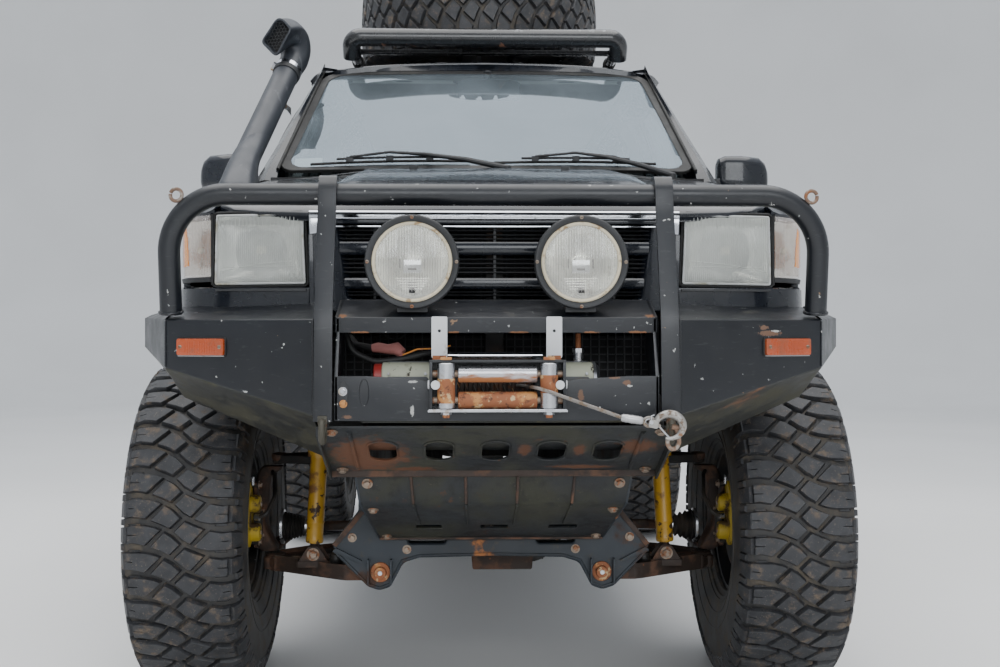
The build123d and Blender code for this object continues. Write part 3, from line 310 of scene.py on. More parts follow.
M_AMBER_TRIM = surface("steel_bolt", (0.28, 0.22, 0.17), 0.5, metal=0.6, vary=0.25, layers=[("noise", 60.0, 0.5, 0.62, (0.24, 0.10, 0.045), 0.85, {"metal": 0.0})])


def glassy(name, colour, rough, clear, gloss, flutes=None, haze_and_painted_sky=None, haze_and_painted_sky_amount=0.0, rise=(0.0, 1.0)):
    """Glass as part see-through, part mirror: clear is the share of light let through, gloss the tint of the reflection."""
    n = Nodes(name)
    t = n.t
    out = t.nodes["Material Output"]
    tr = t.nodes.new("ShaderNodeBsdfTransparent")
    tr.inputs[0].default_value = (*colour, 1)
    gl = t.nodes.new("ShaderNodeBsdfGlossy")
    gl.inputs["Color"].default_value = (*gloss, 1)
    gl.inputs["Roughness"].default_value = rough
    t.nodes.remove(n.p)
    mx = t.nodes.new("ShaderNodeMixShader")
    lw = t.nodes.new("ShaderNodeLayerWeight")
    lw.inputs["Blend"].default_value = 0.35
    f = n.ramp(lw.outputs["Facing"], *rise)
    f = n.math("MAXIMUM", f, 1.0 - clear)
    n.link(f, mx.inputs[0])
    n.link(tr.outputs[0], mx.inputs[1])
    n.link(gl.outputs[0], mx.inputs[2])
    last = mx
    # diffuse layer over the glass: real haze on the lamps and side glass; on the windscreen a pale blue painted sky
    # reflection
    if haze_and_painted_sky:
        df = t.nodes.new("ShaderNodeBsdfDiffuse")
        df.inputs["Color"].default_value = (*haze_and_painted_sky, 1)
        m2 = t.nodes.new("ShaderNodeMixShader")
        k = n.math("MULTIPLY", n.mixf(n.ramp(n.noise(6.0, 3), 0.3, 0.7), 0.8, 1.2), haze_and_painted_sky_amount)
        n.link(k, m2.inputs[0])
        n.link(mx.outputs[0], m2.inputs[1])
        n.link(df.outputs[0], m2.inputs[2])
        last = m2
    if flutes:
        w = n.new("ShaderNodeTexWave", Scale=flutes)
        w.bands_direction = "X"
        n.link(n.tc.outputs["Object"], w.inputs["Vector"])
        b = n.bump(w.outputs["Fac"], 0.8, 0.002)
        n.link(b, gl.inputs["Normal"])
    n.link(last.outputs[0], out.inputs["Surface"])
    return n.m


# the windscreen's pale blue diffuse layer is painted sky reflection
M_SCREEN = glassy("windscreen_glass", (0.62, 0.70, 0.72), 0.012, 0.78, (0.46, 0.54, 0.62), haze_and_painted_sky=(0.42, 0.50, 0.56), haze_and_painted_sky_amount=0.16, rise=(0.20, 1.60))
M_SIDEGLASS = glassy("side_glass", (0.34, 0.40, 0.40), 0.01, 0.72, (0.80, 0.86, 0.90), haze_and_painted_sky=(0.40, 0.38, 0.34), haze_and_painted_sky_amount=0.04)
M_LAMPGLASS = glassy("lamp_glass_hazy", (0.94, 0.94, 0.90), 0.12, 0.88, (0.9, 0.92, 0.95), flutes=62.0, haze_and_painted_sky=(0.74, 0.76, 0.72), haze_and_painted_sky_amount=0.50)
M_RIMGLASS = surface("lamp_rim_moulding", (0.52, 0.53, 0.52), 0.3, vary=0.08, layers=[("noise", 20.0, 0.5, 0.7, (0.34, 0.32, 0.24), 0.5)])
M_LAMPCLEAR = glassy("lamp_glass_clear", (0.94, 0.94, 0.91), 0.05, 0.84, (0.9, 0.92, 0.95), flutes=42.0, haze_and_painted_sky=(0.84, 0.80, 0.72), haze_and_painted_sky_amount=0.20)
M_CORNER = glassy("corner_lamp_glass", (0.98, 0.96, 0.93), 0.06, 0.88, (0.95, 0.93, 0.95), flutes=70.0, haze_and_painted_sky=(0.98, 0.90, 0.82), haze_and_painted_sky_amount=0.16)
M_AMBER = surface("amber_lens", (0.37, 0.055, 0.008), 0.24, coat=0.7, vary=0.2, layers=[("noise", 24.0, 0.52, 0.68, (0.26, 0.060, 0.018), 0.5)], bumps=[("voronoi", 210.0, 0.2)])
M_AMBERCLEAR = surface("amber_clear", (0.88, 0.30, 0.012), 0.2, coat=0.8, vary=0.1, layers=[("noise", 60.0, 0.52, 0.68, (0.80, 0.22, 0.010), 0.3)])
M_REDLENS = surface("red_lens", (0.36, 0.010, 0.010), 0.22, coat=0.8, vary=0.15, bumps=[("voronoi", 190.0, 0.25)])
M_REFLECT = surface("lamp_reflector", (0.90, 0.90, 0.87), 0.26, metal=1.0, vary=0.06, layers=[("noise", 20.0, 0.58, 0.72, (0.42, 0.38, 0.30), 0.5)])
M_CREAM = surface("lamp_inner_ring", (0.62, 0.55, 0.40), 0.4, vary=0.12, layers=[("noise", 40.0, 0.55, 0.66, (0.30, 0.20, 0.10), 0.7)])


def tyre_material():
    n = Nodes("tyre_dusty")
    p = n.p
    base = n.mix(n.ramp(n.noise(30.0, 5), 0.3, 0.7), (0.021, 0.022, 0.025), (0.038, 0.039, 0.043))
    dust = n.ramp(n.noise(26.0, 9, 0.7), 0.52, 0.70)
    col = n.mix(n.math("MULTIPLY", dust, 0.75), base, (0.17, 0.125, 0.085))
    fine = n.ramp(n.noise(150.0, 4, 0.7), 0.58, 0.70)
    col = n.mix(n.math("MULTIPLY", fine, 0.55), col, (0.20, 0.165, 0.125))
    n.link(col, p.inputs["Base Color"])
    n.link(n.mixf(dust, 0.50, 0.88), p.inputs["Roughness"])
    p.inputs["Specular IOR Level"].default_value = 0.45
    h = n.math("ADD", n.math("MULTIPLY", n.noise(70.0, 6), 0.35), n.math("MULTIPLY", n.noise(320.0, 3), 0.12))
    n.link(n.bump(h, 0.5, 0.003), p.inputs["Normal"])
    return n.m


def side_rubber():
    n = Nodes("tyre_sidewall")
    p = n.p
    base = n.mix(n.ramp(n.noise(12.0, 5), 0.3, 0.7), (0.020, 0.020, 0.021), (0.042, 0.040, 0.038))
    dust = n.ramp(n.noise(16.0, 9, 0.7), 0.45, 0.68)
    col = n.mix(n.math("MULTIPLY", dust, 0.7), base, (0.14, 0.115, 0.085))
    n.link(col, p.inputs["Base Color"])
    n.link(n.mixf(dust, 0.58, 0.9), p.inputs["Roughness"])
    h = n.math("MULTIPLY", n.noise(110.0, 6), 0.4)
    n.link(n.bump(h, 0.5, 0.003), p.inputs["Normal"])
    return n.m


M_TREAD = tyre_material()
M_WALL = side_rubber()


# ------------------------------------------------------------------ mesh tools (metres, measured from the front axle)
def P(x, y, z):
    return Vector((x, y, z))


class Mesh:
    def __init__(self):
        self.v, self.f, self.mi, self.mats = [], [], [], []

    def mat(self, m):
        if m not in self.mats:
            self.mats.append(m)
        return self.mats.index(m)

    def add(self, verts, faces, m):
        k = self.mat(m)
        o = len(self.v)
        self.v += [tuple(v) for v in verts]
        for f in faces:
            self.f.append([i + o for i in f])
            self.mi.append(k)
        return self

    def bm(self, b, m, bevel=0.0, seg=2, angle=30, flat=False):
        """Take a bmesh, bevel its sharp edges, and add it."""
        bmesh.ops.recalc_face_normals(b, faces=b.faces)
        if bevel:
            b.normal_update()
            es = [e for e in b.edges if len(e.link_faces) == 2 and e.calc_face_angle(0) > math.radians(angle)]
            if es:
                bmesh.ops.bevel(b, geom=es, offset=bevel, offset_type="OFFSET", segments=seg, profile=0.7, affect="EDGES", clamp_overlap=True)
        b.verts.index_update()
        self.add([v.co.copy() for v in b.verts], [[v.index for v in f.verts] for f in b.faces], m)
        b.free()
        return self

    def solid(self, verts, faces, m, bevel=0.0, seg=2, angle=30, at=None):
        b = bmesh.new()
        vs = [b.verts.new(at @ Vector(v) if at else v) for v in verts]
        for f in faces:
            try:
                b.faces.new([vs[i] for i in f])
            except ValueError:
                pass
        return self.bm(b, m, bevel, seg, angle)

    def box(self, x0, x1, y0, y1, z0, z1, m, bevel=0.0, at=None, seg=2):
        v = [(x, y, z) for x in (x0, x1) for y in (y0, y1) for z in (z0, z1)]
        f = [(0, 1, 3, 2), (4, 6, 7, 5), (0, 4, 5, 1), (2, 3, 7, 6), (0, 2, 6, 4), (1, 5, 7, 3)]
        return self.solid(v, f, m, bevel, seg, 30, at)

    def prism(self, pts, lo, hi, axis, m, bevel=0.0, seg=2, at=None, angle=30):
        def q(a, b, c):
            return {"X": (c, a, b), "Y": (a, c, b), "Z": (a, b, c)}[axis]
        n = len(pts)
        v = [q(a, b, lo) for a, b in pts] + [q(a, b, hi) for a, b in pts]
        f = [list(range(n)), list(range(2 * n - 1, n - 1, -1))] + [(i, i + n, (i + 1) % n + n, (i + 1) % n) for i in range(n)]
        return self.solid(v, f, m, bevel, seg, angle, at)

    def loft(self, rings, m, closed=True, caps=True, bevel=0.0, seg=2, angle=30):
        n = len(rings[0])
        v = [p for r in rings for p in r]
        f = []
        for k in range(len(rings) - 1):
            for i in range(n if closed else n - 1):
                j = (i + 1) % n
                f.append((k * n + i, k * n + j, (k + 1) * n + j, (k + 1) * n + i))
        if caps:
            f.append(list(range(n)))
            f.append(list(range(len(v) - 1, len(v) - n - 1, -1)))
        return self.solid(v, f, m, bevel, seg, angle)

    def lathe(self, prof, origin, axis, m, n=48, closed=False):
        """Revolve (along, radius) points about axis through origin."""
        a = Vector(axis).normalized()
        u = Vector((0, 0, 1)) if abs(a.z) < 0.9 else Vector((1, 0, 0))
        u = (u - a * u.dot(a)).normalized()
        w = a.cross(u)
        o = Vector(origin)
        k = len(prof)
        v = []
        for i in range(n):
            t = 2 * PI * i / n
            d = u * math.cos(t) + w * math.sin(t)
            v += [o + a * s + d * max(r, 1e-5) for s, r in prof]
        f = []
        for i in range(n):
            j = (i + 1) % n
            for q in range(k if closed else k - 1):
                r = (q + 1) % k
                f.append((i * k + q, j * k + q, j * k + r, i * k + r))
        b = bmesh.new()
        vs = [b.verts.new(p) for p in v]
        for q in f:
            b.faces.new([vs[i] for i in q])
        bmesh.ops.remove_doubles(b, verts=b.verts, dist=5e-5)
        return self.bm(b, m)

    def rod(self, p, q, r, m, n=20, r1=None, cap=0.0):
        p, q = Vector(p), Vector(q)
        L = (q - p).length
        r1 = r if r1 is None else r1
        c = min(cap, r * 0.4)
        prof = [(0, 0), (0, r - c), (c, r), (L - c, r1), (L, r1 - c), (L, 0)] if c else [(0, 0), (0, r), (L, r1), (L, 0)]
        return self.lathe(prof, p, q - p, m, n)

    def tube(self, pts, r, m, n=16, caps=True, rr=None, twist=None):
        """Sweep a circle (or radius list rr) along points, with a rotation-minimising frame."""
        pts = [Vector(p) for p in pts]
        N = len(pts)
        tan = [(pts[min(i + 1, N - 1)] - pts[max(i - 1, 0)]).normalized() for i in range(N)]
        u = Vector((0, 0, 1)) if abs(tan[0].z) < 0.9 else Vector((1, 0, 0))
        u = (u - tan[0] * u.dot(tan[0])).normalized()
        rings = []
        for i in range(N):
            if i:
                q = tan[i - 1].rotation_difference(tan[i])
                u = (q @ u).normalized()
                u = (u - tan[i] * u.dot(tan[i])).normalized()
            w = tan[i].cross(u)
            R = rr[i] if rr else r
            rings.append([pts[i] + (u * math.cos(2 * PI * k / n) + w * math.sin(2 * PI * k / n)) * R for k in range(n)])
        return self.loft(rings, m, True, caps)

    def hexbolt(self, p, d, r, h, m, washer=True):
        d = Vector(d).normalized()
        if washer:
            self.lathe([(0, 0), (0, r * 1.5), (h * 0.25, r * 1.5), (h * 0.25, 0)], p, d, m, 20)
        o = Vector(p) + d * (h * 0.2 if washer else 0)
        self.lathe([(0, 0), (0, r), (h * 0.85, r), (h, r * 0.82), (h, 0)], o, d, m, 6)
        return self

    def done(self, name, body="root", slot=None, replaces=(), smooth=32, merge=0.0):
        me = bpy.data.meshes.new(name)
        me.from_pydata([(v[0], v[1] + SH, v[2]) for v in self.v], [], self.f)
        for m in self.mats:
            me.materials.append(m)
        me.polygons.foreach_set("material_index", self.mi)
        me.polygons.foreach_set("use_smooth", [True] * len(me.polygons))
        me.validate()
        me.update()
        if merge:
            b = bmesh.new()
            b.from_mesh(me)
            bmesh.ops.remove_doubles(b, verts=b.verts, dist=merge)
            b.to_mesh(me)
            b.free()
        me.set_sharp_from_angle(angle=math.radians(smooth))
        ob = bpy.data.objects.new(name, me)
        bpy.context.scene.collection.objects.link(ob)
        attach(ob, body)
        if replaces:
            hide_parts(*replaces)
        return ob


def flipx(v):
    return [(-p[0], p[1], p[2]) for p in v]


def mirrored(src):
    """The same mesh on the other side."""
    m = Mesh()
    m.v = flipx(src.v)
    m.f = [list(reversed(f)) for f in src.f]
    m.mi = list(src.mi)
    m.mats = list(src.mats)
    return m


def arc_path(pts, radii, steps=8):
    """Polyline with round corners."""
    pts = [Vector(p) for p in pts]
    if isinstance(radii, (int, float)):
        radii = [radii] * (len(pts) - 2)
    out = [pts[0]]
    for i in range(1, len(pts) - 1):
        a, b, c = pts[i - 1], pts[i], pts[i + 1]
        d0, d1 = (a - b).normalized(), (c - b).normalized()
        ang = d0.angle(d1)
        R = radii[i - 1]
        if ang > PI - 0.01 or R <= 0:
            out.append(b)
            continue
        L = min(R / math.tan(ang / 2), (a - b).length * 0.49, (c - b).length * 0.49)
        R = L * math.tan(ang / 2)
        cen = b + (d0 + d1).normalized() * (R / math.sin(ang / 2))
        s, e = b + d0 * L - cen, b + d1 * L - cen
        tot = s.angle(e)
        ax = s.cross(e).normalized()
        for k in range(steps + 1):
            out.append(cen + Quaternion(ax, tot * k / steps) @ s)
    out.append(pts[-1])
    return out


def curve(table, t):
    """Smooth (monotone cubic) interpolation in a table of (t, value) rows."""
    n = len(table)
    if t <= table[0][0]:
        return table[0][1]
    if t >= table[-1][0]:
        return table[-1][1]
    for i in range(n - 1):
        if t <= table[i + 1][0]:
            break
    x0, y0 = table[i]
    x1, y1 = table[i + 1]
    h = x1 - x0
    d = (y1 - y0) / h
    dl = (y0 - table[i - 1][1]) / (x0 - table[i - 1][0]) if i else d
    dr = (table[i + 2][1] - y1) / (table[i + 2][0] - x1) if i + 2 < n else d
    m0 = 0 if dl * d <= 0 else (dl + d) / 2
    m1 = 0 if dr * d <= 0 else (dr + d) / 2
    for_m = 3 * abs(d)
    m0 = max(-for_m, min(for_m, m0))
    m1 = max(-for_m, min(for_m, m1))
    s = (t - x0) / h
    return ((2 * s**3 - 3 * s**2 + 1) * y0 + (s**3 - 2 * s**2 + s) * h * m0 + (-2 * s**3 + 3 * s**2) * y1 + (s**3 - s**2) * h * m1)


def round_poly(pts, radii, steps=5):
    """Closed 2-D outline with round corners."""
    n = len(pts)
    if isinstance(radii, (int, float)):
        radii = [radii] * n
    out = []
    for i in range(n):
        a, b, c = Vector(pts[i - 1]).to_2d(), Vector(pts[i]).to_2d(), Vector(pts[(i + 1) % n]).to_2d()
        R = radii[i]
        d0, d1 = (a - b).normalized(), (c - b).normalized()
        cosang = max(-1, min(1, d0.dot(d1)))
        ang = math.acos(cosang)
        if R <= 0 or ang > PI - 0.02:
            out.append((b.x, b.y))
            continue
        L = min(R / math.tan(ang / 2), (a - b).length * 0.48, (c - b).length * 0.48)
        R = L * math.tan(ang / 2)
        cen = b + (d0 + d1).normalized() * (R / math.sin(ang / 2))
        s, e = b + d0 * L, b + d1 * L
        a0 = math.atan2(s.y - cen.y, s.x - cen.x)
        a1 = math.atan2(e.y - cen.y, e.x - cen.x)
        da = (a1 - a0 + PI) % (2 * PI) - PI
        for k in range(steps + 1):
            t = a0 + da * k / steps
            out.append((cen.x + R * math.cos(t), cen.y + R * math.sin(t)))
    return out


def dense(poly, step):
    """Closed outline with no edge longer than step."""
    out = []
    n = len(poly)
    for i in range(n):
        a, b = Vector(poly[i]), Vector(poly[(i + 1) % n])
        k = max(1, int(math.ceil((b - a).length / step)))
        out += [tuple(a.lerp(b, j / k)) for j in range(k)]
    return out


def inset(poly, d):
    """Closed outline moved inwards by d, for a counter-clockwise outline."""
    n = len(poly)
    out = []
    for i in range(n):
        a, b, c = Vector(poly[i - 1]), Vector(poly[i]), Vector(poly[(i + 1) % n])
        e0, e1 = (b - a), (c - b)
        if e0.length < 1e-9 or e1.length < 1e-9:
            out.append(tuple(b))
            continue
        n0 = Vector((-e0.y, e0.x)).normalized()
        n1 = Vector((-e1.y, e1.x)).normalized()
        m = n0 + n1
        if m.length < 1e-6:
            out.append(tuple(b))
            continue
        m.normalize()
        k = d / max(0.4, m.dot(n0))
        out.append((b.x + m.x * k, b.y + m.y * k))
    return out


def area2(poly):
    return sum(poly[i - 1][0] * poly[i][1] - poly[i][0] * poly[i - 1][1] for i in range(len(poly))) / 2


def ccw(poly):
    return poly if area2(poly) > 0 else poly[::-1]


def panel(mesh, outline, holes, f, out_dir, m, thick=0.03, step=0.045, edge=0.0035, inner_m=None, back=True, rim_m=None):
    """A sheet-metal panel: a 2-D outline with holes laid on the surface f(a, b) -> point,
    with rolled edges, turned in along -out_dir by thick."""
    outline = dense(ccw(outline), step)
    holes = [dense(ccw(h), step) for h in holes]
    loops = [outline] + [h[::-1] for h in holes]            # material always on the left
    pts, edges, ring_ids, ring_in = [], [], [], []
    for lp in loops:
        s = len(pts)
        pts += [Vector(p) for p in lp]
        edges += [(s + i, s + (i + 1) % len(lp)) for i in range(len(lp))]
        ring_ids.append(list(range(s, s + len(lp))))
    for lp in loops:
        s = len(pts)
        ins = inset(lp, edge)
        pts += [Vector(p) for p in ins]
        edges += [(s + i, s + (i + 1) % len(lp)) for i in range(len(lp))]
        ring_in.append(list(range(s, s + len(lp))))
    xs = [p[0] for p in outline]
    ys = [p[1] for p in outline]

    def inside(q, poly):
        c = False
        j = len(poly) - 1
        for i in range(len(poly)):
            if (poly[i][1] > q[1]) != (poly[j][1] > q[1]) and q[0] < (poly[j][0] - poly[i][0]) * (q[1] - poly[i][1]) / (poly[j][1] - poly[i][1]) + poly[i][0]:
                c = not c
            j = i
        return c

    def near(q, poly, d):
        for i in range(len(poly)):
            a, b = Vector(poly[i - 1]), Vector(poly[i])
            ab = b - a
            t = max(0, min(1, (Vector(q) - a).dot(ab) / max(1e-12, ab.length_squared)))
            if (Vector(q) - (a + ab * t)).length < d:
                return True
        return False

    gx = [min(xs) + step * (i + 0.5) for i in range(int((max(xs) - min(xs)) / step) + 1)]
    gy = [min(ys) + step * (i + 0.5) for i in range(int((max(ys) - min(ys)) / step) + 1)]
    for a in gx:
        for b in gy:
            q = (a, b)
            if inside(q, outline) and not any(inside(q, h) for h in holes) and not any(near(q, lp, step * 0.42) for lp in loops):
                pts.append(Vector(q))
    r = delaunay_2d_cdt(pts, edges, [], 0, 1e-7)
    vv, ff, orig = r[0], r[2], r[3]
    where = {}
    for i, o in enumerate(orig):
        for k in o:
            where[k] = i
    tris = []
    for t in ff:
        c = sum((vv[i] for i in t), Vector((0, 0))) / len(t)
        if inside(c, outline) and not any(inside(c, h) for h in holes):
            tris.append(list(t))
    drop = {where[i] for ids in ring_ids for i in ids}
    V = []
    O = out_dir
    for i, q in enumerate(vv):
        p = Vector(f(q[0], q[1]))
        d = Vector(O(p)) if callable(O) else Vector(O)
        V.append(p - d * (edge * 0.8 if i in drop else 0.0))
    mesh.add(V, tris, m)
    base = len(mesh.v) - len(V)
    k = mesh.mat(rim_m or m)
    # rims turned inwards
    for ids in ring_ids:
        ids = [where[i] for i in ids]
        low = []
        for i in ids:
            p = V[i]
            d = Vector(O(p)) if callable(O) else Vector(O)
            mesh.v.append(tuple(p - d * thick))
            low.append(len(mesh.v) - 1)
        n = len(ids)
        for i in range(n):
            j = (i + 1) % n
            mesh.f.append([base + ids[j], base + ids[i], low[i], low[j]])
            mesh.mi.append(k)
    if back:
        kb = mesh.mat(inner_m or m)
        s = len(mesh.v)
        used = sorted({i for t in tris for i in t})
        mp = {}
        for i in used:
            p = V[i]
            d = Vector(O(p)) if callable(O) else Vector(O)
            mesh.v.append(tuple(p - d * thick))
            mp[i] = len(mesh.v) - 1
        for t in tris:
            mesh.f.append([mp[i] for i in reversed(t)])
            mesh.mi.append(kb)
    return mesh

# ------------------------------------------------------------------ tyres
WB, HUBZ, WHX = 2.800, 0.480, 0.842
TYRE_R, RIM_SEAT = 0.480, 0.212
ROWS = 42


def tyre_mesh(detail=True):
    """A tyre about the X axis at the origin: carcass, shoulder lugs and centre blocks with sipes.  Outer face towards +X."""
    M = Mesh()
    R = TYRE_R
    # carcass (across, radius): groove bottom at R - 15 mm
    half = [(0.0, R - 0.0155), (0.060, R - 0.0160), (0.108, R - 0.018), (0.1345, R - 0.0245), (0.148, R - 0.036), (0.1545, R - 0.055),
            (0.1590, R - 0.078), (0.1612, R - 0.105), (0.1615, R - 0.135), (0.1590, R - 0.165), (0.1545, R - 0.190), (0.1480, R - 0.212),
            (0.1400, R - 0.231), (0.1335, R - 0.241), (0.1320, R - 0.246), (0.1270, R - 0.248), (0.1235, R - 0.2525), (0.1205, R - 0.2620), (0.1130, R - 0.2665)]
    prof = [(-a, r) for a, r in reversed(half[1:])] + half
    M.lathe(prof, (0, 0, 0), (1, 0, 0), M_WALL, 168, closed=False)
    # side rings: rim protector and two fine lines on each wall
    for s in (-1, 1):
        for a, r, h in ((0.1598, R - 0.152, 0.0016), (0.1530, R - 0.198, 0.0014), (0.1376, R - 0.2345, 0.0018)):
            M.lathe([(s * (a - 0.004), r + 0.004), (s * (a + h), r + 0.0014), (s * (a + h), r - 0.0014), (s * (a - 0.006), r - 0.004)], (0, 0, 0), (1, 0, 0), M_WALL, 120)

    def crown(a):
        """Radius of the tread face at across position a."""
        t = abs(a)
        return R - 0.0075 * (t / 0.137) ** 2.4 - (0.0 if t < 0.137 else (t - 0.137) * 1.25)

    def block(pts, drop, wall=0.0022, chamf=0.0016, m=M_TREAD, off=0.0):
        """Tread block: outline (across, arc length) wrapped on the crown; walls lean out."""
        n = len(pts)
        c = (sum(p[0] for p in pts) / n, sum(p[1] for p in pts) / n)

        def put(a, s, r):
            t = s / R
            return (a, r * math.sin(t), r * math.cos(t))
        top, mid, low = [], [], []
        for a, s in pts:
            d = Vector((a - c[0], s - c[1]))
            L = max(d.length, 1e-6)
            i = d * (1 - chamf / L)
            o = d * (1 + wall / L)
            top.append(put(c[0] + i.x, c[1] + i.y, crown(c[0] + i.x) - off))
            mid.append(put(a, s, crown(a) - chamf - off))
            low.append(put(c[0] + o.x, c[1] + o.y, crown(a) - drop))
        V = top + mid + low
        F = [list(range(n))]
        for k in (0, 1):
            for i in range(n):
                j = (i + 1) % n
                F.append([k * n + j, k * n + i, (k + 1) * n + i, (k + 1) * n + j])
        M.add(V, F, m)

    pitch = 2 * PI * R / ROWS

    # one row of the tread, (across, along) in metres; the other half is its half-turn copy
    CENTRE = [(-0.0350, 0.0505), (-0.0150, 0.0390), (0.0068, 0.0185), (-0.0200, -0.0080), (-0.0440, 0.0030), (-0.0697, 0.0125)]
    SHOULDER = [(-0.0450, 0.0575), (-0.0620, 0.0640), (-0.0860, 0.0685), (-0.1240, 0.0685), (-0.1440, 0.0660), (-0.1440, 0.0200), (-0.1200, 0.0225), (-0.1000, 0.0195), (-0.0862, 0.0170)]
    RIB = [(-0.1020, 0.0030), (-0.0990, -0.0020), (-0.1280, -0.0030), (-0.1310, 0.0025)]
    for k in range(ROWS):
        s0 = k * pitch
        odd = k % 2 == 1
        w = (0.0, 0.0008, -0.0008, 0.0005, -0.0010)[k % 5]
        for g in (1, -1):
            def at(pts):
                q = [(g * a, s0 + g * (b + w)) for a, b in pts]
                return q
            block(at(CENTRE), 0.0158, wall=0.0042, chamf=0.0012)
            sh = [list(p) for p in SHOULDER]
            if odd:                      # every other lug stops short on a lower step
                sh[4][0] = sh[5][0] = -0.1330
                sh[3][0] = -0.1200
                block(at([(-0.1345, 0.0640), (-0.1440, 0.0630), (-0.1440, 0.0225), (-0.1345, 0.0220)]), 0.0150, wall=0.0015, chamf=0.0010, off=0.0052)
            e = sh[4][0]
            L = 0.0250
            y0 = 0.0440
            pts = sh[:5] + [(e, y0 + 0.0014), (e + L, y0 + 0.0012), (e + L, y0 - 0.0012), (e, y0 - 0.0014)] + sh[5:]
            block(at([tuple(p) for p in pts]), 0.0185, wall=0.0034, chamf=0.0013)
            # low rib in the gap between the lugs
            block(at(RIB), 0.0090, wall=0.0020, chamf=0.0010, off=0.0098)
            # flank of the lug down the side wall
            c = s0 + g * (0.0430 + w)
            tc, hw = c / R, 0.0215 / R
            V = []
            deep = 0.0 if odd else 0.006
            for r, a, kk in ((R - 0.0120, 0.1442, 1.0), (R - 0.0270, 0.1540, 0.98), (R - 0.046, 0.1598, 0.92), (R - 0.0600 - deep, 0.1640, 0.80)):
                for tt in (tc - hw * kk, tc + hw * kk):
                    V.append((-g * a, r * math.sin(tt), r * math.cos(tt)))
            for r, a, kk in ((R - 0.0160, 0.1330, 1.06), (R - 0.0310, 0.1440, 1.06), (R - 0.050, 0.1530, 1.0), (R - 0.0660 - deep, 0.1580, 0.86)):
                for tt in (tc - hw * kk, tc + hw * kk):
                    V.append((-g * a, r * math.sin(tt), r * math.cos(tt)))
            Fq = [(0, 1, 3, 2), (2, 3, 5, 4), (4, 5, 7, 6), (0, 2, 10, 8), (2, 4, 12, 10), (4, 6, 14, 12), (1, 9, 11, 3), (3, 11, 13, 5), (5, 13, 15, 7), (6, 7, 15, 14), (0, 8, 9, 1)]
            M.add(V, Fq, M_TREAD)
            # small lug between the flanks
            tc2, hw2 = (s0 + g * (0.0430 + w) + g * pitch / 2) / R, 0.0085 / R
            V = []
            for r, a, kk in ((R - 0.0330, 0.1545, 1.0), (R - 0.0480, 0.1610, 1.0), (R - 0.0640, 0.1632, 0.8)):
                for tt in (tc2 - hw2 * kk, tc2 + hw2 * kk):
                    V.append((-g * a, r * math.sin(tt), r * math.cos(tt)))
            for r, a, kk in ((R - 0.0350, 0.1450, 1.2), (R - 0.050, 0.1530, 1.2), (R - 0.069, 0.1575, 1.0)):
                for tt in (tc2 - hw2 * kk, tc2 + hw2 * kk):
                    V.append((-g * a, r * math.sin(tt), r * math.cos(tt)))
            M.add(V, [(0, 1, 3, 2), (2, 3, 5, 4), (0, 2, 8, 6), (2, 4, 10, 8), (1, 7, 9, 3), (3, 9, 11, 5), (4, 5, 11, 10), (0, 6, 7, 1)], M_TREAD)
    return M


def placed(src, loc, turn=0.0, face=1):
    """Tyre mesh moved to loc with its outer face to +X (face 1), -X (face -1) or up (face 0)."""
    m = Mesh()
    c, s = math.cos(turn), math.sin(turn)
    out = []
    for x, y, z in src.v:
        y, z = y * c - z * s, y * s + z * c
        if face == -1:
            x, y = -x, -y
        elif face == 0:
            x, z = -z, x
        out.append((x + loc[0], y + loc[1], z + loc[2]))
    m.v, m.f, m.mi, m.mats = out, [list(f) for f in src.f], list(src.mi), list(src.mats)
    return m


TYRE = tyre_mesh()
b_fix = bmesh.new()          # one consistent outside for all the separate blocks
_me = bpy.data.meshes.new("tmp_tyre")
_me.from_pydata(TYRE.v, [], TYRE.f)
_me.polygons.foreach_set("material_index", TYRE.mi)
b_fix.from_mesh(_me)
bmesh.ops.recalc_face_normals(b_fix, faces=b_fix.faces)
b_fix.verts.index_update()
TYRE.v = [tuple(v.co) for v in b_fix.verts]
TYRE.f = [[v.index for v in f.verts] for f in b_fix.faces]
TYRE.mi = [f.material_index for f in b_fix.faces]
b_fix.free()
bpy.data.meshes.remove(_me)
for nm, sx, y, turn in (("front_left", 1, 0.0, 0.03), ("front_right", -1, 0.0, 0.05), ("rear_left", 1, WB, 0.4), ("rear_right", -1, WB, 0.9)):
    placed(TYRE, (sx * WHX, y, HUBZ), turn, sx).done("Tyre_" + nm, "wheel_" + nm, "tyre_rubber", ("tyre_" + nm,), 28)
placed(TYRE, (-0.018, 1.306, 2.289), 0.2, 0).done("Tyre_spare", "root", "tyre_rubber", ("spare_tyre",), 28)


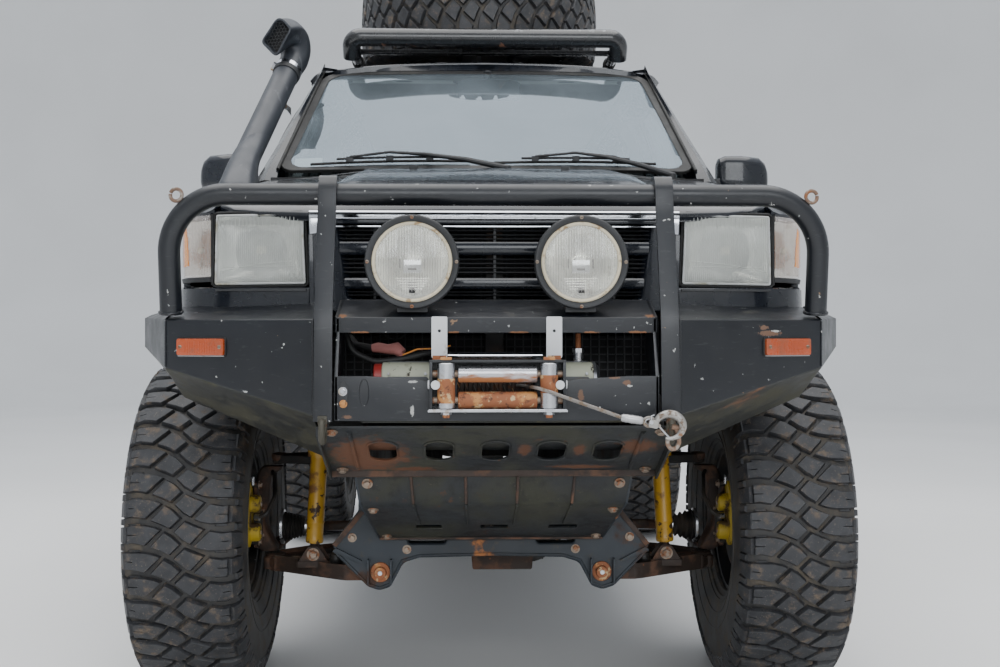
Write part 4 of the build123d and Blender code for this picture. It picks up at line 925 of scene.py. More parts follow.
# ------------------------------------------------------------------ rims, hubs and discs
def rim_mesh(kind):
    M = Mesh()
    # barrel: closed ring profile (across, radius)
    outer = [(0.112, 0.2205), (0.1125, 0.2245), (0.1085, 0.2255), (0.1055, 0.2215), (0.104, 0.2130), (0.090, 0.2105), (0.078, 0.2050), (0.062, 0.1960), (0.030, 0.1905), (-0.030, 0.1905),
             (-0.062, 0.1985), (-0.080, 0.2070), (-0.100, 0.2105), (-0.104, 0.2130), (-0.1055, 0.2215), (-0.1085, 0.2255), (-0.1125, 0.2245), (-0.112, 0.2205)]
    inner = [(-0.106, 0.2075), (-0.084, 0.2020), (-0.064, 0.1935), (-0.032, 0.1860), (0.030, 0.1860), (0.060, 0.1915), (0.076, 0.2000), (0.088, 0.2060), (0.106, 0.2085)]
    M.lathe(outer + inner, (0, 0, 0), (1, 0, 0), M_RIM, 96, closed=True)
    # dished centre with eight round windows: 2-D plan panel bent to the dish
    def dish(r):
        return curve([(0.0, 0.052), (0.062, 0.052), (0.078, 0.046), (0.100, 0.030), (0.128, 0.0315), (0.160, 0.034), (0.178, 0.026), (0.1865, 0.010)], r)
    n = 96
    outline = [(0.1865 * math.cos(2 * PI * i / n), 0.1865 * math.sin(2 * PI * i / n)) for i in range(n)]
    holes = []
    for k in range(8):
        t = 2 * PI * (k + 0.5) / 8
        holes.append([(0.156 * math.cos(t) + 0.0205 * math.cos(2 * PI * i / 24), 0.156 * math.sin(t) + 0.0205 * math.sin(2 * PI * i / 24)) for i in range(24)])
    holes.append([(0.0530 * math.cos(2 * PI * i / 40), 0.0530 * math.sin(2 * PI * i / 40)) for i in range(40)])
    panel(M, outline, holes, lambda a, b: (dish(math.hypot(a, b)), a, b), (1, 0, 0), M_RIM, 0.0055, 0.014, 0.0012)
    for k in range(6):
        t = 2 * PI * k / 6 + 0.2
        c = Vector((dish(0.0695) + 0.0005, 0.0695 * math.cos(t), 0.0695 * math.sin(t)))
        M.lathe([(0, 0), (0, 0.0135), (0.004, 0.0120), (0.004, 0)], c, (1, 0, 0), M_RIM, 20)
        M.lathe([(0.002, 0), (0.002, 0.0105), (0.017, 0.0105), (0.021, 0.0080), (0.023, 0.004), (0.023, 0)], c, (1, 0, 0), M_ZINC, 6)
    # valve
    a = 2.2
    p = Vector((0.070, 0.194 * math.cos(a), 0.194 * math.sin(a)))
    M.rod(p, p + Vector((0.030, -0.014 * math.cos(a), -0.014 * math.sin(a))), 0.0042, M_RUBBER, 10)
    M.rod(p + Vector((0.030, -0.014 * math.cos(a), -0.014 * math.sin(a))), p + Vector((0.042, -0.020 * math.cos(a), -0.020 * math.sin(a))), 0.0034, M_ZINC, 10)
    # clip-on balance weights
    for a0 in (0.6, 3.9):
        for k in range(4):
            a1 = a0 + k * 0.045
            p = Vector((0.1075, 0.2190 * math.cos(a1), 0.2190 * math.sin(a1)))
            M.lathe([(0, 0), (0, 0.0042), (0.004, 0.0036), (0.004, 0)], p, (1, 0, 0), M_ZINC, 8)
    if kind == "front":
        # free-wheel hub body, flange with six small bolts, dial
        M.lathe([(-0.02, 0), (-0.02, 0.0515), (0.050, 0.0515), (0.0535, 0.0500), (0.0535, 0.0445), (0.080, 0.0425), (0.0840, 0.0400), (0.0840, 0.030), (0.0815, 0.0290), (0.0815, 0)], (0, 0, 0), (1, 0, 0), M_ALU, 48)
        M.prism([(0.0265 * math.cos(2 * PI * i / 24), 0.0265 * math.sin(2 * PI * i / 24)) for i in range(24)], 0.080, 0.0855, "X", M_BLACKP, 0.0008)
        M.box(0.084, 0.0885, -0.0235, 0.0235, -0.0045, 0.0045, M_BLACKP, 0.0015)
        for k in range(6):
            t = 2 * PI * k / 6
            M.hexbolt((0.0535, 0.0480 * math.cos(t), 0.0480 * math.sin(t)), (1, 0, 0), 0.0042, 0.005, M_ZINC, False)
    elif kind == "rear":
        M.lathe([(-0.02, 0), (-0.02, 0.0515), (0.052, 0.0510), (0.0575, 0.0455), (0.0590, 0.037), (0.0590, 0.024), (0.0640, 0.021), (0.0660, 0.015), (0.0660, 0)], (0, 0, 0), (1, 0, 0), M_CAST, 48)
    return M


def disc_mesh():
    """Vented brake disc and its bell, behind the rim."""
    M = Mesh()
    # joined from two rings and the vanes between them
    M.lathe([(-0.052, 0.078), (-0.052, 0.155), (-0.0580, 0.155), (-0.0580, 0.078)], (0, 0, 0), (1, 0, 0), M_HALFRUST, 72, closed=True)
    M.lathe([(-0.076, 0.078), (-0.076, 0.155), (-0.0700, 0.155), (-0.0700, 0.078)], (0, 0, 0), (1, 0, 0), M_HALFRUST, 72, closed=True)
    M.lathe([(-0.071, 0.080), (-0.071, 0.066), (-0.020, 0.066), (-0.020, 0.040), (-0.014, 0.040), (-0.014, 0.072), (-0.052, 0.073), (-0.052, 0.080)], (0, 0, 0), (1, 0, 0), M_CHASSIS, 72, closed=True)
    for k in range(36):
        t = 2 * PI * k / 36
        u, w = Vector((0, math.cos(t), math.sin(t))), Vector((0, -math.sin(t), math.cos(t)))
        V = []
        for x in (-0.0705, -0.0575):
            for r in (0.092, 0.155):
                for s in (-0.0022, 0.0022):
                    V.append(Vector((x, 0, 0)) + u * r + w * s)
        M.add(V, [(0, 1, 3, 2), (4, 6, 7, 5), (0, 4, 5, 1), (2, 3, 7, 6), (0, 2, 6, 4), (1, 5, 7, 3)], M_CHASSIS)
    return M


def drum_mesh():
    """Finned brake drum behind the rear rim."""
    M = Mesh()
    M.lathe([(-0.096, 0.120), (-0.096, 0.150), (-0.088, 0.150), (-0.085, 0.144), (-0.078, 0.144), (-0.075, 0.150), (-0.067, 0.150), (-0.064, 0.143), (-0.050, 0.143), (-0.040, 0.147),
             (-0.030, 0.146), (-0.022, 0.138), (-0.020, 0.110), (-0.020, 0.040), (-0.028, 0.040), (-0.030, 0.128), (-0.090, 0.132), (-0.090, 0.120)], (0, 0, 0), (1, 0, 0), M_CHASSIS, 72, closed=True)
    return M


def chain(*ms):
    m = Mesh()
    for q in ms:
        o = len(m.v)
        m.v += list(q.v)
        for f, k in zip(q.f, q.mi):
            m.f.append([i + o for i in f])
            m.mi.append(m.mat(q.mats[k]))
    return m


RIMF, RIMR, RIMS = chain(rim_mesh("front"), disc_mesh()), chain(rim_mesh("rear"), drum_mesh()), rim_mesh("spare")
for nm, sx, y, turn in (("front_left", 1, 0.0, 0.5), ("front_right", -1, 0.0, 1.3), ("rear_left", 1, WB, 0.1), ("rear_right", -1, WB, 2.0)):
    placed(RIMF if y == 0.0 else RIMR, (sx * WHX, y, HUBZ), turn, sx).done("Rim_" + nm, "wheel_" + nm, "rim_paint", ("rim_" + nm,), 30)
placed(RIMS, (-0.018, 1.306, 2.289), 0.35, 0).done("Rim_spare", "root", "rim_paint", ("spare_rim",), 30)

# ------------------------------------------------------------------ body surface
PLAN = [(-0.712, 0.455), (-0.700, 0.600), (-0.665, 0.712), (-0.620, 0.778), (-0.520, 0.815), (-0.200, 0.832), (0.400, 0.840), (2.400, 0.842), (3.200, 0.822), (3.600, 0.785), (3.735, 0.700)]
SECTION = [(0.700, 0.822), (0.850, 0.829), (1.150, 0.838), (1.400, 0.836), (1.490, 0.824), (1.560, 0.800), (1.990, 0.655), (2.035, 0.610), (2.060, 0.500), (2.085, 0.0)]
ROOF_Z = [(0.780, 2.022), (0.800, 2.056), (0.900, 2.066), (1.300, 2.090), (2.600, 2.090), (3.455, 2.052)]
TOP_MID = [(-0.700, 1.366), (-0.600, 1.420), (-0.350, 1.490), (-0.100, 1.535), (0.188, 1.580)]
TOP_SIDE = [(-0.700, 1.364), (-0.600, 1.404), (-0.350, 1.463), (-0.100, 1.508), (0.188, 1.554)]
TOP_FEND = [(-0.700, 1.360), (-0.600, 1.388), (-0.350, 1.442), (0.0, 1.492), (0.300, 1.530), (0.588, 1.550), (0.612, 1.548)]
ARCH_R, ARCH_Z = 0.600, 0.560


def plan(y):
    return curve(PLAN, y)


def sec(z):
    return curve(SECTION, z)


def bx(y, z):
    """Half width of the body at y and z."""
    a = max(0.0, 0.842 - sec(z))
    b = max(0.0, 0.842 - plan(y))
    return 0.842 - (a**3 + b**3) ** (1 / 3)


def arch_pts(cy, y0, z0, y1, z1, r=ARCH_R, n=30):
    """Arc over the wheel from (y0, z0) to (y1, z1), both on the circle."""
    a0 = math.atan2(z0 - ARCH_Z, y0 - cy)
    a1 = math.atan2(z1 - ARCH_Z, y1 - cy)
    return [(cy + r * math.cos(a0 + (a1 - a0) * k / n), ARCH_Z + r * math.sin(a0 + (a1 - a0) * k / n)) for k in range(n + 1)]


def on_arch(cy, z, side, r=ARCH_R):
    return (cy + side * math.sqrt(max(0.0, r * r - (z - ARCH_Z) ** 2)), z)


def side_surf(y, z):
    return (bx(y, z), y, z)


OUTX = (1, 0, 0)

# ---- front fenders: one sheet over the top, round the shoulder and down the side
SH_R = 0.040


def fend_w(y):
    return max(0.004, bx(y, 1.30) - 0.7055)


def fend_pt(y, s):
    w, T = fend_w(y), curve(TOP_FEND, y)
    r = min(SH_R, w * 0.9)
    if s <= w - r:
        return (0.7055 + s, y, T - 0.004 - 0.006 * (s / max(w, 0.01)) ** 2)
    q = (s - (w - r)) / (PI / 2 * r)
    z0 = T - 0.010
    if q <= 1:
        return (0.7055 + w - r + r * math.sin(q * PI / 2), y, z0 - r + r * math.cos(q * PI / 2))
    z = z0 - r - (s - (w - r) - PI / 2 * r)
    return (0.7055 + w + (bx(y, z) - bx(y, 1.30)) * min(1.0, max(0.0, (z0 - r - z) / 0.03)), y, z)


def fend_s(y, z):
    w, T = fend_w(y), curve(TOP_FEND, y)
    r = min(SH_R, w * 0.9)
    return (w - r) + PI / 2 * r + (T - 0.010 - r - z)


def fend_out(p):
    y, z = p[1], p[2]
    T = curve(TOP_FEND, y)
    k = min(1.0, max(0.0, (T - 0.010 - z) / SH_R))
    v = Vector((max(k, 0.02), 0, 1.0 - k))
    return v.normalized()


pts = [(-0.660, 0.0)]
pts += [(y, 0.0) for y in (-0.5, -0.3, 0.0, 0.3)] + [(0.612, 0.0)]
side_line = [(0.612, 1.50), (0.612, 1.2), (0.612, 0.9), (0.612, 0.826), (0.540, 0.826)] + arch_pts(0.0, *on_arch(0, 0.830, 1), *on_arch(0, 0.986, -1)) + [(-0.512, 0.986), (-0.514, 1.168), (-0.505, 1.172), (-0.503, 1.346), (-0.56, 1.351), (-0.62, 1.352), (-0.655, 1.352)]
pts += [(y, fend_s(y, z)) for y, z in side_line]
F = Mesh()
panel(F, pts, [], fend_pt, fend_out, M_BODY, 0.016, 0.040, 0.0030, M_LINER)
# rolled lip inside the arch
lip = arch_pts(0.0, *on_arch(0, 0.834, 1), *on_arch(0, 0.992, -1), r=ARCH_R - 0.002, n=40)
F.tube([(bx(y, z) - 0.006, y, z) for y, z in lip], 0.0055, M_BODY, 8)
# inner arch liner and apron
rings = []
for y, z in arch_pts(0.0, *on_arch(0, 0.70, 1, 0.612), *on_arch(0, 0.90, -1, 0.612), r=0.612, n=28):
    rings.append([(0.600, y, z - 0.02), (0.640, y, z - 0.004), (bx(y, min(z, 1.2)) - 0.030, y, z + 0.004), (bx(y, min(z, 1.2)) - 0.030, y, z + 0.009), (0.640, y, z + 0.001), (0.600, y, z - 0.015)])
F.loft(rings, M_LINER)
F.prism([(-0.60, 0.80), (-0.50, 0.80), (-0.42, 1.00), (-0.20, 1.12), (0.15, 1.13), (0.30, 1.05), (0.30, 1.44), (-0.30, 1.37), (-0.60, 1.30)], 0.592, 0.601, "X", M_LINER)
FR = mirrored(F)
F.v += FR.v
n0 = len(F.v) - len(FR.v)
F.f += [[i + n0 for i in f] for f in FR.f]
F.mi += FR.mi
F.done("Front_fenders", "root", "body_paint", ("front_fenders",), 35)

# ---- hood: flat-topped centre bulge between two creases
def hood_z(x, y):
    t = abs(x)
    lo, hi = curve(TOP_SIDE, y), curve(TOP_MID, y)
    edge = 0.404 - 0.010 * (y + 0.7)
    q = min(1.0, max(0.0, (t - edge) / 0.030))
    k = 1 - (3 * q * q - 2 * q**3)
    z = lo + (hi - lo) * k - 0.011 * (t / 0.7) ** 2 + (0.003 if t < edge else 0.0) * k
    lead = min(1.0, max(0.0, (y + 0.700) / 0.05))          # nose rolls down
    return z - 0.012 * (1 - lead) ** 2 - max(0.0, (t - 0.66) / 0.045) ** 2 * 0.004


hood_out = [(-0.430, -0.697), (0.430, -0.697), (0.590, -0.686), (0.655, -0.672), (0.695, -0.640), (0.699, -0.600), (0.699, 0.150), (0.699, 0.186), (0.0, 0.188), (-0.699, 0.186), (-0.699, 0.150), (-0.699, -0.600), (-0.695, -0.640), (-0.655, -0.672), (-0.590, -0.686)]
H = Mesh()
panel(H, round_poly(hood_out, [0, 0, 0.03, 0.03, 0.02, 0, 0, 0.012, 0, 0.012, 0, 0, 0.02, 0.03, 0.03], 4), [], lambda a, b: (a, b, hood_z(a, b)), (0, 0, 1), M_BODY, 0.018, 0.034, 0.0035, M_DARK)
# inner frame ribs seen when it is open
for x0, y0, x1, y1 in ((-0.60, -0.60, 0.60, -0.60), (-0.60, 0.12, 0.60, 0.12), (-0.60, -0.60, -0.60, 0.12), (0.60, -0.60, 0.60, 0.12), (-0.56, -0.58, 0.0, 0.10), (0.56, -0.58, 0.0, 0.10)):
    n = 7
    rings = []
    for i in range(n):
        x, y = x0 + (x1 - x0) * i / (n - 1), y0 + (y1 - y0) * i / (n - 1)
        d = Vector((x1 - x0, y1 - y0, 0)).normalized()
        w = Vector((-d.y, d.x, 0)) * 0.038
        z = min(hood_z(x, y), curve(TOP_SIDE, y)) - 0.017
        rings.append([(x + w.x, y + w.y, z), (x + w.x * 0.6, y + w.y * 0.6, z - 0.020), (x - w.x * 0.6, y - w.y * 0.6, z - 0.020), (x - w.x, y - w.y, z)])
    H.loft(rings, M_BODY)
H.box(-0.045, 0.045, -0.660, -0.610, 1.350, 1.378, M_ZINC, 0.003)
for s in (-1, 1):            # washer jets
    H.box(s * 0.235 - 0.012, s * 0.235 + 0.012, 0.020, 0.052, hood_z(0.235, 0.04) - 0.004, hood_z(0.235, 0.04) + 0.009, M_BLACKP, 0.003)
    H.rod((s * 0.235, 0.044, hood_z(0.235, 0.04) + 0.004), (s * 0.235, 0.056, hood_z(0.235, 0.04) + 0.007), 0.003, M_BLACKP, 8)
H.done("Hood_panel", "hood", "body_paint", ("hood",), 35)

# ---- cowl with louvres between hood and windscreen, wipers on it
C = Mesh()
def cowl_z(x, y):
    return 1.572 - 0.030 * (abs(x) / 0.70) ** 2 - 0.02 * (0.26 - y)
panel(C, [(-0.700, 0.196), (0.700, 0.196), (0.735, 0.262), (-0.735, 0.262)], [], lambda a, b: (a, b + 0.010 * (1 - (a / 0.7) ** 2), cowl_z(a, b)), (0, 0, 1), M_BLACKP, 0.010, 0.03, 0.002)
for k in range(26):
    x = -0.60 + k * 0.048
    C.box(x - 0.017, x + 0.017, 0.212, 0.217, cowl_z(x, 0.215) - 0.002, cowl_z(x, 0.215) + 0.004, M_BLACKP, 0.001)
C.done("Cowl_louvres", "root", "black_plastic")


# ---- windscreen and its rubber, lying in the slanted opening
def screen_pt(x, t, lift=0.0):
    """Point on the windscreen: t 0 at the bottom, 1 at the top; slightly curved across."""
    z = 1.590 + (2.016 - 1.590) * t
    y = 0.262 + (0.782 - 0.262) * t
    bow = 0.055 * (abs(x) / 0.68) ** 2.2
    nrm = Vector((0, -0.6337, 0.7736))
    p = Vector((x, y + bow, z - bow * 0.05)) + nrm * lift
    return tuple(p)


def screen_half(t):
    return 0.690 + (0.592 - 0.690) * t


W = Mesh()
out = [(-0.684, 0.005), (0.684, 0.005), (0.588, 0.990), (-0.588, 0.990)]
ro = round_poly([(a, b * 0.67) for a, b in out], [0.05, 0.05, 0.075, 0.075], 8)
panel(W, ro, [], lambda a, b: screen_pt(a, b / 0.67, 0.001), (0, -0.6337, 0.7736), M_SCREEN, 0.005, 0.045, 0.0006, back=False)
W.done("Windscreen_glass", "root", "window_glass", ("fixed_windows",), 40)
Wr = Mesh()
inn = round_poly([(a, b) for a, b in ((-0.664, 0.016), (0.664, 0.016), (0.570, 0.650), (-0.570, 0.650))], [0.05, 0.05, 0.07, 0.07], 8)
big = round_poly([(a, b) for a, b in ((-0.696, -0.004), (0.696, -0.004), (0.598, 0.672), (-0.598, 0.672))], [0.05, 0.05, 0.085, 0.085], 8)
panel(Wr, big, [inn], lambda a, b: screen_pt(a, b / 0.67, 0.004), (0, -0.6337, 0.7736), M_RUBBER, 0.010, 0.05, 0.002)
# bright-edged gloss trim outside the rubber on both pillars
for s in (-1, 1):
    Wr.tube([screen_pt(s * (0.694 + (0.600 - 0.694) * t), t, 0.007) for t in [k / 14 for k in range(-0, 15)]], 0.0055, M_RUBBER, 10)
Wr.done("Windscreen_seal", "root", "black_plastic")

# wipers: arm, frame and blade
Wi = Mesh()
def wiper(x0, x1, xa, m0=M_BLACKP):
    """Parked blade from x0 to x1 along the glass foot, arm pivot at xa."""
    n = 13
    blade = [Vector(screen_pt(x0 + (x1 - x0) * i / (n - 1), 0.030 + 0.030 * math.sin(PI * i / (n - 1)) * 0.3 + 0.014 * i / (n - 1), 0.010)) for i in range(n)]
    Wi.tube(blade, 0.0045, M_RUBBER, 8)
    up = [p + Vector((0, -0.008, 0.012)) for p in blade]
    Wi.tube(up[2:-2], 0.0040, m0, 8)
    Wi.tube([up[3] + Vector((0, -0.003, 0.005)), up[6] + Vector((0, -0.010, 0.016)), up[9] + Vector((0, -0.003, 0.005))], 0.0042, m0, 8)
    mid = up[6] + Vector((0, -0.010, 0.016))
    piv = Vector((xa, 0.232, cowl_z(xa, 0.232) + 0.012))
    Wi.rod(piv - Vector((0, 0, 0.02)), piv + Vector((0, 0, 0.014)), 0.014, m0, 20, cap=0.004)
    Wi.tube([piv + Vector((0, 0, 0.006)), piv.lerp(mid, 0.35) + Vector((0, -0.006, 0.012)), piv.lerp(mid, 0.7) + Vector((0, -0.004, 0.010)), mid], 0.0065, m0, 10, rr=[0.010, 0.0085, 0.006, 0.0045])
    for i in (3, 6, 9):
        Wi.box(up[i].x - 0.012, up[i].x + 0.012, up[i].y - 0.006, up[i].y + 0.006, up[i].z - 0.012, up[i].z + 0.006, m0, 0.002)
wiper(-0.585, -0.060, 0.060)
wiper(0.020, 0.560, 0.600)
Wi.done("Wipers", "root", "black_plastic")


# ---- roof skin with raised ribs, cut away over the pillars
def roof_z(x, y):
    t = abs(x)
    c = curve(ROOF_Z, y) - 2.085 + curve([(0.0, 2.085), (0.30, 2.077), (0.50, 2.060), (0.61, 2.035), (0.655, 1.990)], t)
    ribs = 0.0
    if 1.0 < y < 3.3:
        for rx in (0.18, 0.36):
            d = abs(t - rx) / 0.020
            ribs += 0.0045 * max(0.0, 1 - d * d)
    return c + ribs


Rf = Mesh()
panel(Rf, round_poly([(-0.548, 0.800), (0.548, 0.800), (0.560, 0.86), (0.560, 3.440), (-0.560, 3.440), (-0.560, 0.86)], [0.02, 0.02, 0, 0.02, 0.02, 0], 3), [], lambda a, b: (a, b, roof_z(a, b)), (0, 0, 1), M_BODY, 0.022, 0.036, 0.003, M_HEADLINER)
Rf.done("Roof_skin", "root", "body_paint", ("roof_panel",), 38)
Rc = Mesh()
# chips down to the primer along the roof's front edge, as thin raised flakes
for cx, cy, rr in ((-0.165, 0.812, 0.040), (-0.12, 0.818, 0.022), (-0.21, 0.815, 0.018), (-0.33, 0.810, 0.007), (0.045, 0.815, 0.006), (0.13, 0.812, 0.017), (0.115, 0.817, 0.008), (0.26, 0.812, 0.006), (0.41, 0.808, 0.005), (-0.46, 0.812, 0.008), (-0.05, 0.811, 0.005)):
    n = 16
    V = [(cx, cy, roof_z(cx, cy) + 0.0012)]
    for i in range(n):
        a = 2 * PI * i / n
        r = rr * (0.62 + 0.38 * rnd.random())
        x, y = cx + r * math.cos(a), max(0.801, cy + r * 0.32 * math.sin(a))
        V.append((x, y, roof_z(x, y) + 0.0008))
    Rc.add(V, [(0, i + 1, (i + 1) % n + 1) for i in range(n)], M_WHITE)
Rc.done("Roof_paint_chips", "root")


# ---- side panels
def rim_seal(mesh, poly, surf, r, m, lift=0.0):
    p = [Vector(surf(a, b)) + Vector((lift, 0, 0)) for a, b in poly]
    p.append(p[0])
    p.append(p[1])
    mesh.tube(p, r, m, 8, caps=False)


FG = [(0.720, 1.612), (1.466, 1.612), (1.452, 1.940), (1.062, 1.940)]
RG = [(1.588, 1.612), (2.380, 1.612), (2.364, 1.940), (1.588, 1.940)]
QG = [(2.520, 1.612), (3.340, 1.612), (3.262, 1.940), (2.520, 1.940)]
FD = [(0.618, 0.825), (1.525, 0.825), (1.525, 1.400), (1.499, 1.990), (1.000, 1.990), (0.560, 1.600), (0.618, 1.545)]
RD_TOP = [(2.442, 1.400), (2.411, 1.990), (1.537, 1.990)]


def grow(poly, d):
    return inset(ccw(poly), -d)


def side_moulding(mesh, y0, y1, z=1.085, h=0.050, t=0.011, m=M_BLACKP, ends=(True, True)):
    """Rubbing strip along the side."""
    n = max(3, int((y1 - y0) / 0.08) + 1)
    rings = []
    for i in range(n):
        y = y0 + (y1 - y0) * i / (n - 1)
        k = 0.25 if ((i == 0 and ends[0]) or (i == n - 1 and ends[1])) else 1.0
        x = bx(y, z)
        rings.append([(x - 0.004, y, z - h / 2), (x + t * 0.75 * k, y, z - h / 2 + 0.004), (x + t * k, y, z - h * 0.18), (x + t * k, y, z + h * 0.18), (x + t * 0.75 * k, y, z + h / 2 - 0.004), (x - 0.004, y, z + h / 2)])
    mesh.loft(rings, m, bevel=0.0015)


def pull_handle(mesh, y, z, m=M_BLACKP):
    """Flap handle over a scooped recess, with a key lock beside it."""
    x = bx(y, z)
    mesh.loft([[(x + 0.003, y + 0.075 * c, z + 0.033 * s) for c, s in ((-1, -0.6), (-0.8, -1), (0.8, -1), (1, -0.6), (1, 0.6), (0.8, 1), (-0.8, 1), (-1, 0.6))],
               [(x - 0.004, y + 0.070 * c, z + 0.030 * s) for c, s in ((-1, -0.6), (-0.8, -1), (0.8, -1), (1, -0.6), (1, 0.6), (0.8, 1), (-0.8, 1), (-1, 0.6))],
               [(x - 0.020, y + 0.055 * c, z + 0.020 * s) for c, s in ((-1, -0.6), (-0.8, -1), (0.8, -1), (1, -0.6), (1, 0.6), (0.8, 1), (-0.8, 1), (-1, 0.6))]], m, True, True)
    n = 9
    rings = []
    for i in range(n):
        q = i / (n - 1)
        yy = y - 0.064 + 0.128 * q
        lift = 0.014 + 0.008 * math.sin(PI * q)
        rings.append([(x + lift - 0.007, yy, z - 0.002), (x + lift, yy, z + 0.001), (x + lift + 0.003, yy, z + 0.014), (x + lift - 0.003, yy, z + 0.024), (x + lift - 0.010, yy, z + 0.022)])
    mesh.loft(rings, m, bevel=0.002)
    for q in (-1, 1):
        mesh.box(x - 0.004, x + 0.016, y + q * 0.060 - 0.005, y + q * 0.060 + 0.005, z, z + 0.020, m, 0.002)
    mesh.lathe([(0, 0), (0, 0.011), (0.004, 0.0105), (0.0055, 0.0085), (0.0055, 0)], (x, y + 0.100, z), (1, 0, 0), M_ZINC, 24)
    mesh.box(x + 0.005, x + 0.0065, y + 0.094, y + 0.106, z - 0.001, z + 0.001, M_DARK)


def card(mesh, y0, y1, z0, z1, xin, m=M_PLAST, arch=None):
    """Inner door card with armrest, pull, speaker and window winder."""
    n = 10
    out = round_poly([(y0, z0), (y1, z0), (y1, z1), (y0, z1)], 0.05, 4) if arch is None else arch
    panel(mesh, out, [], lambda a, b: (xin(b), a, b), (-1, 0, 0), m, 0.012, 0.07, 0.004, back=False)
    ym = (y0 + y1) / 2
    zz = z0 + (z1 - z0) * 0.58
    x = xin(zz)
    mesh.loft([[(x + 0.004, ym - 0.24, zz - 0.03), (x - 0.020, ym - 0.235, zz - 0.022), (x - 0.022, ym - 0.235, zz + 0.012), (x + 0.004, ym - 0.24, zz + 0.03)],
               [(x + 0.004, ym - 0.10, zz - 0.05), (x - 0.052, ym - 0.10, zz - 0.028), (x - 0.055, ym - 0.10, zz + 0.010), (x + 0.004, ym - 0.10, zz + 0.024)],
               [(x + 0.004, ym + 0.16, zz - 0.05), (x - 0.056, ym + 0.16, zz - 0.030), (x - 0.060, ym + 0.16, zz + 0.004), (x + 0.004, ym + 0.16, zz + 0.020)],
               [(x + 0.004, ym + 0.27, zz - 0.03), (x - 0.030, ym + 0.265, zz - 0.020), (x - 0.032, ym + 0.265, zz + 0.000), (x + 0.004, ym + 0.27, zz + 0.010)]], m, bevel=0.006, seg=3)
    p = [(x - 0.002, ym - 0.20, zz + 0.10), (x - 0.045, ym - 0.17, zz + 0.11), (x - 0.045, ym - 0.06, zz + 0.12), (x - 0.002, ym - 0.03, zz + 0.125)]
    mesh.tube(arc_path(p, 0.02, 4), 0.010, M_BLACKP, 10)
    # speaker ring and grille slots
    if arch is None:
        c = (y0 + 0.17, z0 + 0.15)
        mesh.lathe([(0, 0), (0, 0.085), (-0.006, 0.085), (-0.009, 0.078), (-0.006, 0.070), (-0.004, 0.0)], (xin(c[1]), c[0], c[1]), (1, 0, 0), M_BLACKP, 40)
        for k in range(7):
            h = 0.018 * (k - 3)
            w = math.sqrt(max(0.0001, 0.064**2 - h * h))
            mesh.box(xin(c[1]) - 0.0085, xin(c[1]) - 0.004, c[0] - w, c[0] + w, c[1] + h - 0.0035, c[1] + h + 0.0035, M_BLACKP, 0.001)
    # window winder
    c = Vector((xin(zz - 0.10), y1 - 0.20, zz - 0.10))
    mesh.lathe([(0, 0), (0, 0.024), (-0.012, 0.022), (-0.014, 0.0)], c, (1, 0, 0), M_BLACKP, 24)
    mesh.tube([c - Vector((0.012, 0, 0)), c + Vector((-0.020, 0.035, 0.030)), c + Vector((-0.024, 0.070, 0.060))], 0.0065, M_BLACKP, 10)
    mesh.rod(c + Vector((-0.020, 0.070, 0.060)), c + Vector((-0.048, 0.070, 0.060)), 0.010, M_BLACKP, 16, cap=0.003)


def xin(z):
    return curve([(0.69, 0.735), (1.15, 0.740), (1.40, 0.738), (1.565, 0.715), (1.96, 0.607), (1.995, 0.560)], z)


def full_thickness(mesh, poly, holes, m_edge):
    """Rim walls from the outer skin to the inner face, following the leaning side."""
    for lp in [dense(ccw(poly), 0.05)] + [dense(ccw(h), 0.05)[::-1] for h in holes]:
        n = len(lp)
        V = [(bx(a, b) - 0.003, a, b) for a, b in lp] + [(min(xin(b) + 0.001, bx(a, b) - 0.02), a, b) for a, b in lp]
        mesh.add(V, [(i + n, (i + 1) % n + n, (i + 1) % n, i) for i in range(n)], m_edge)


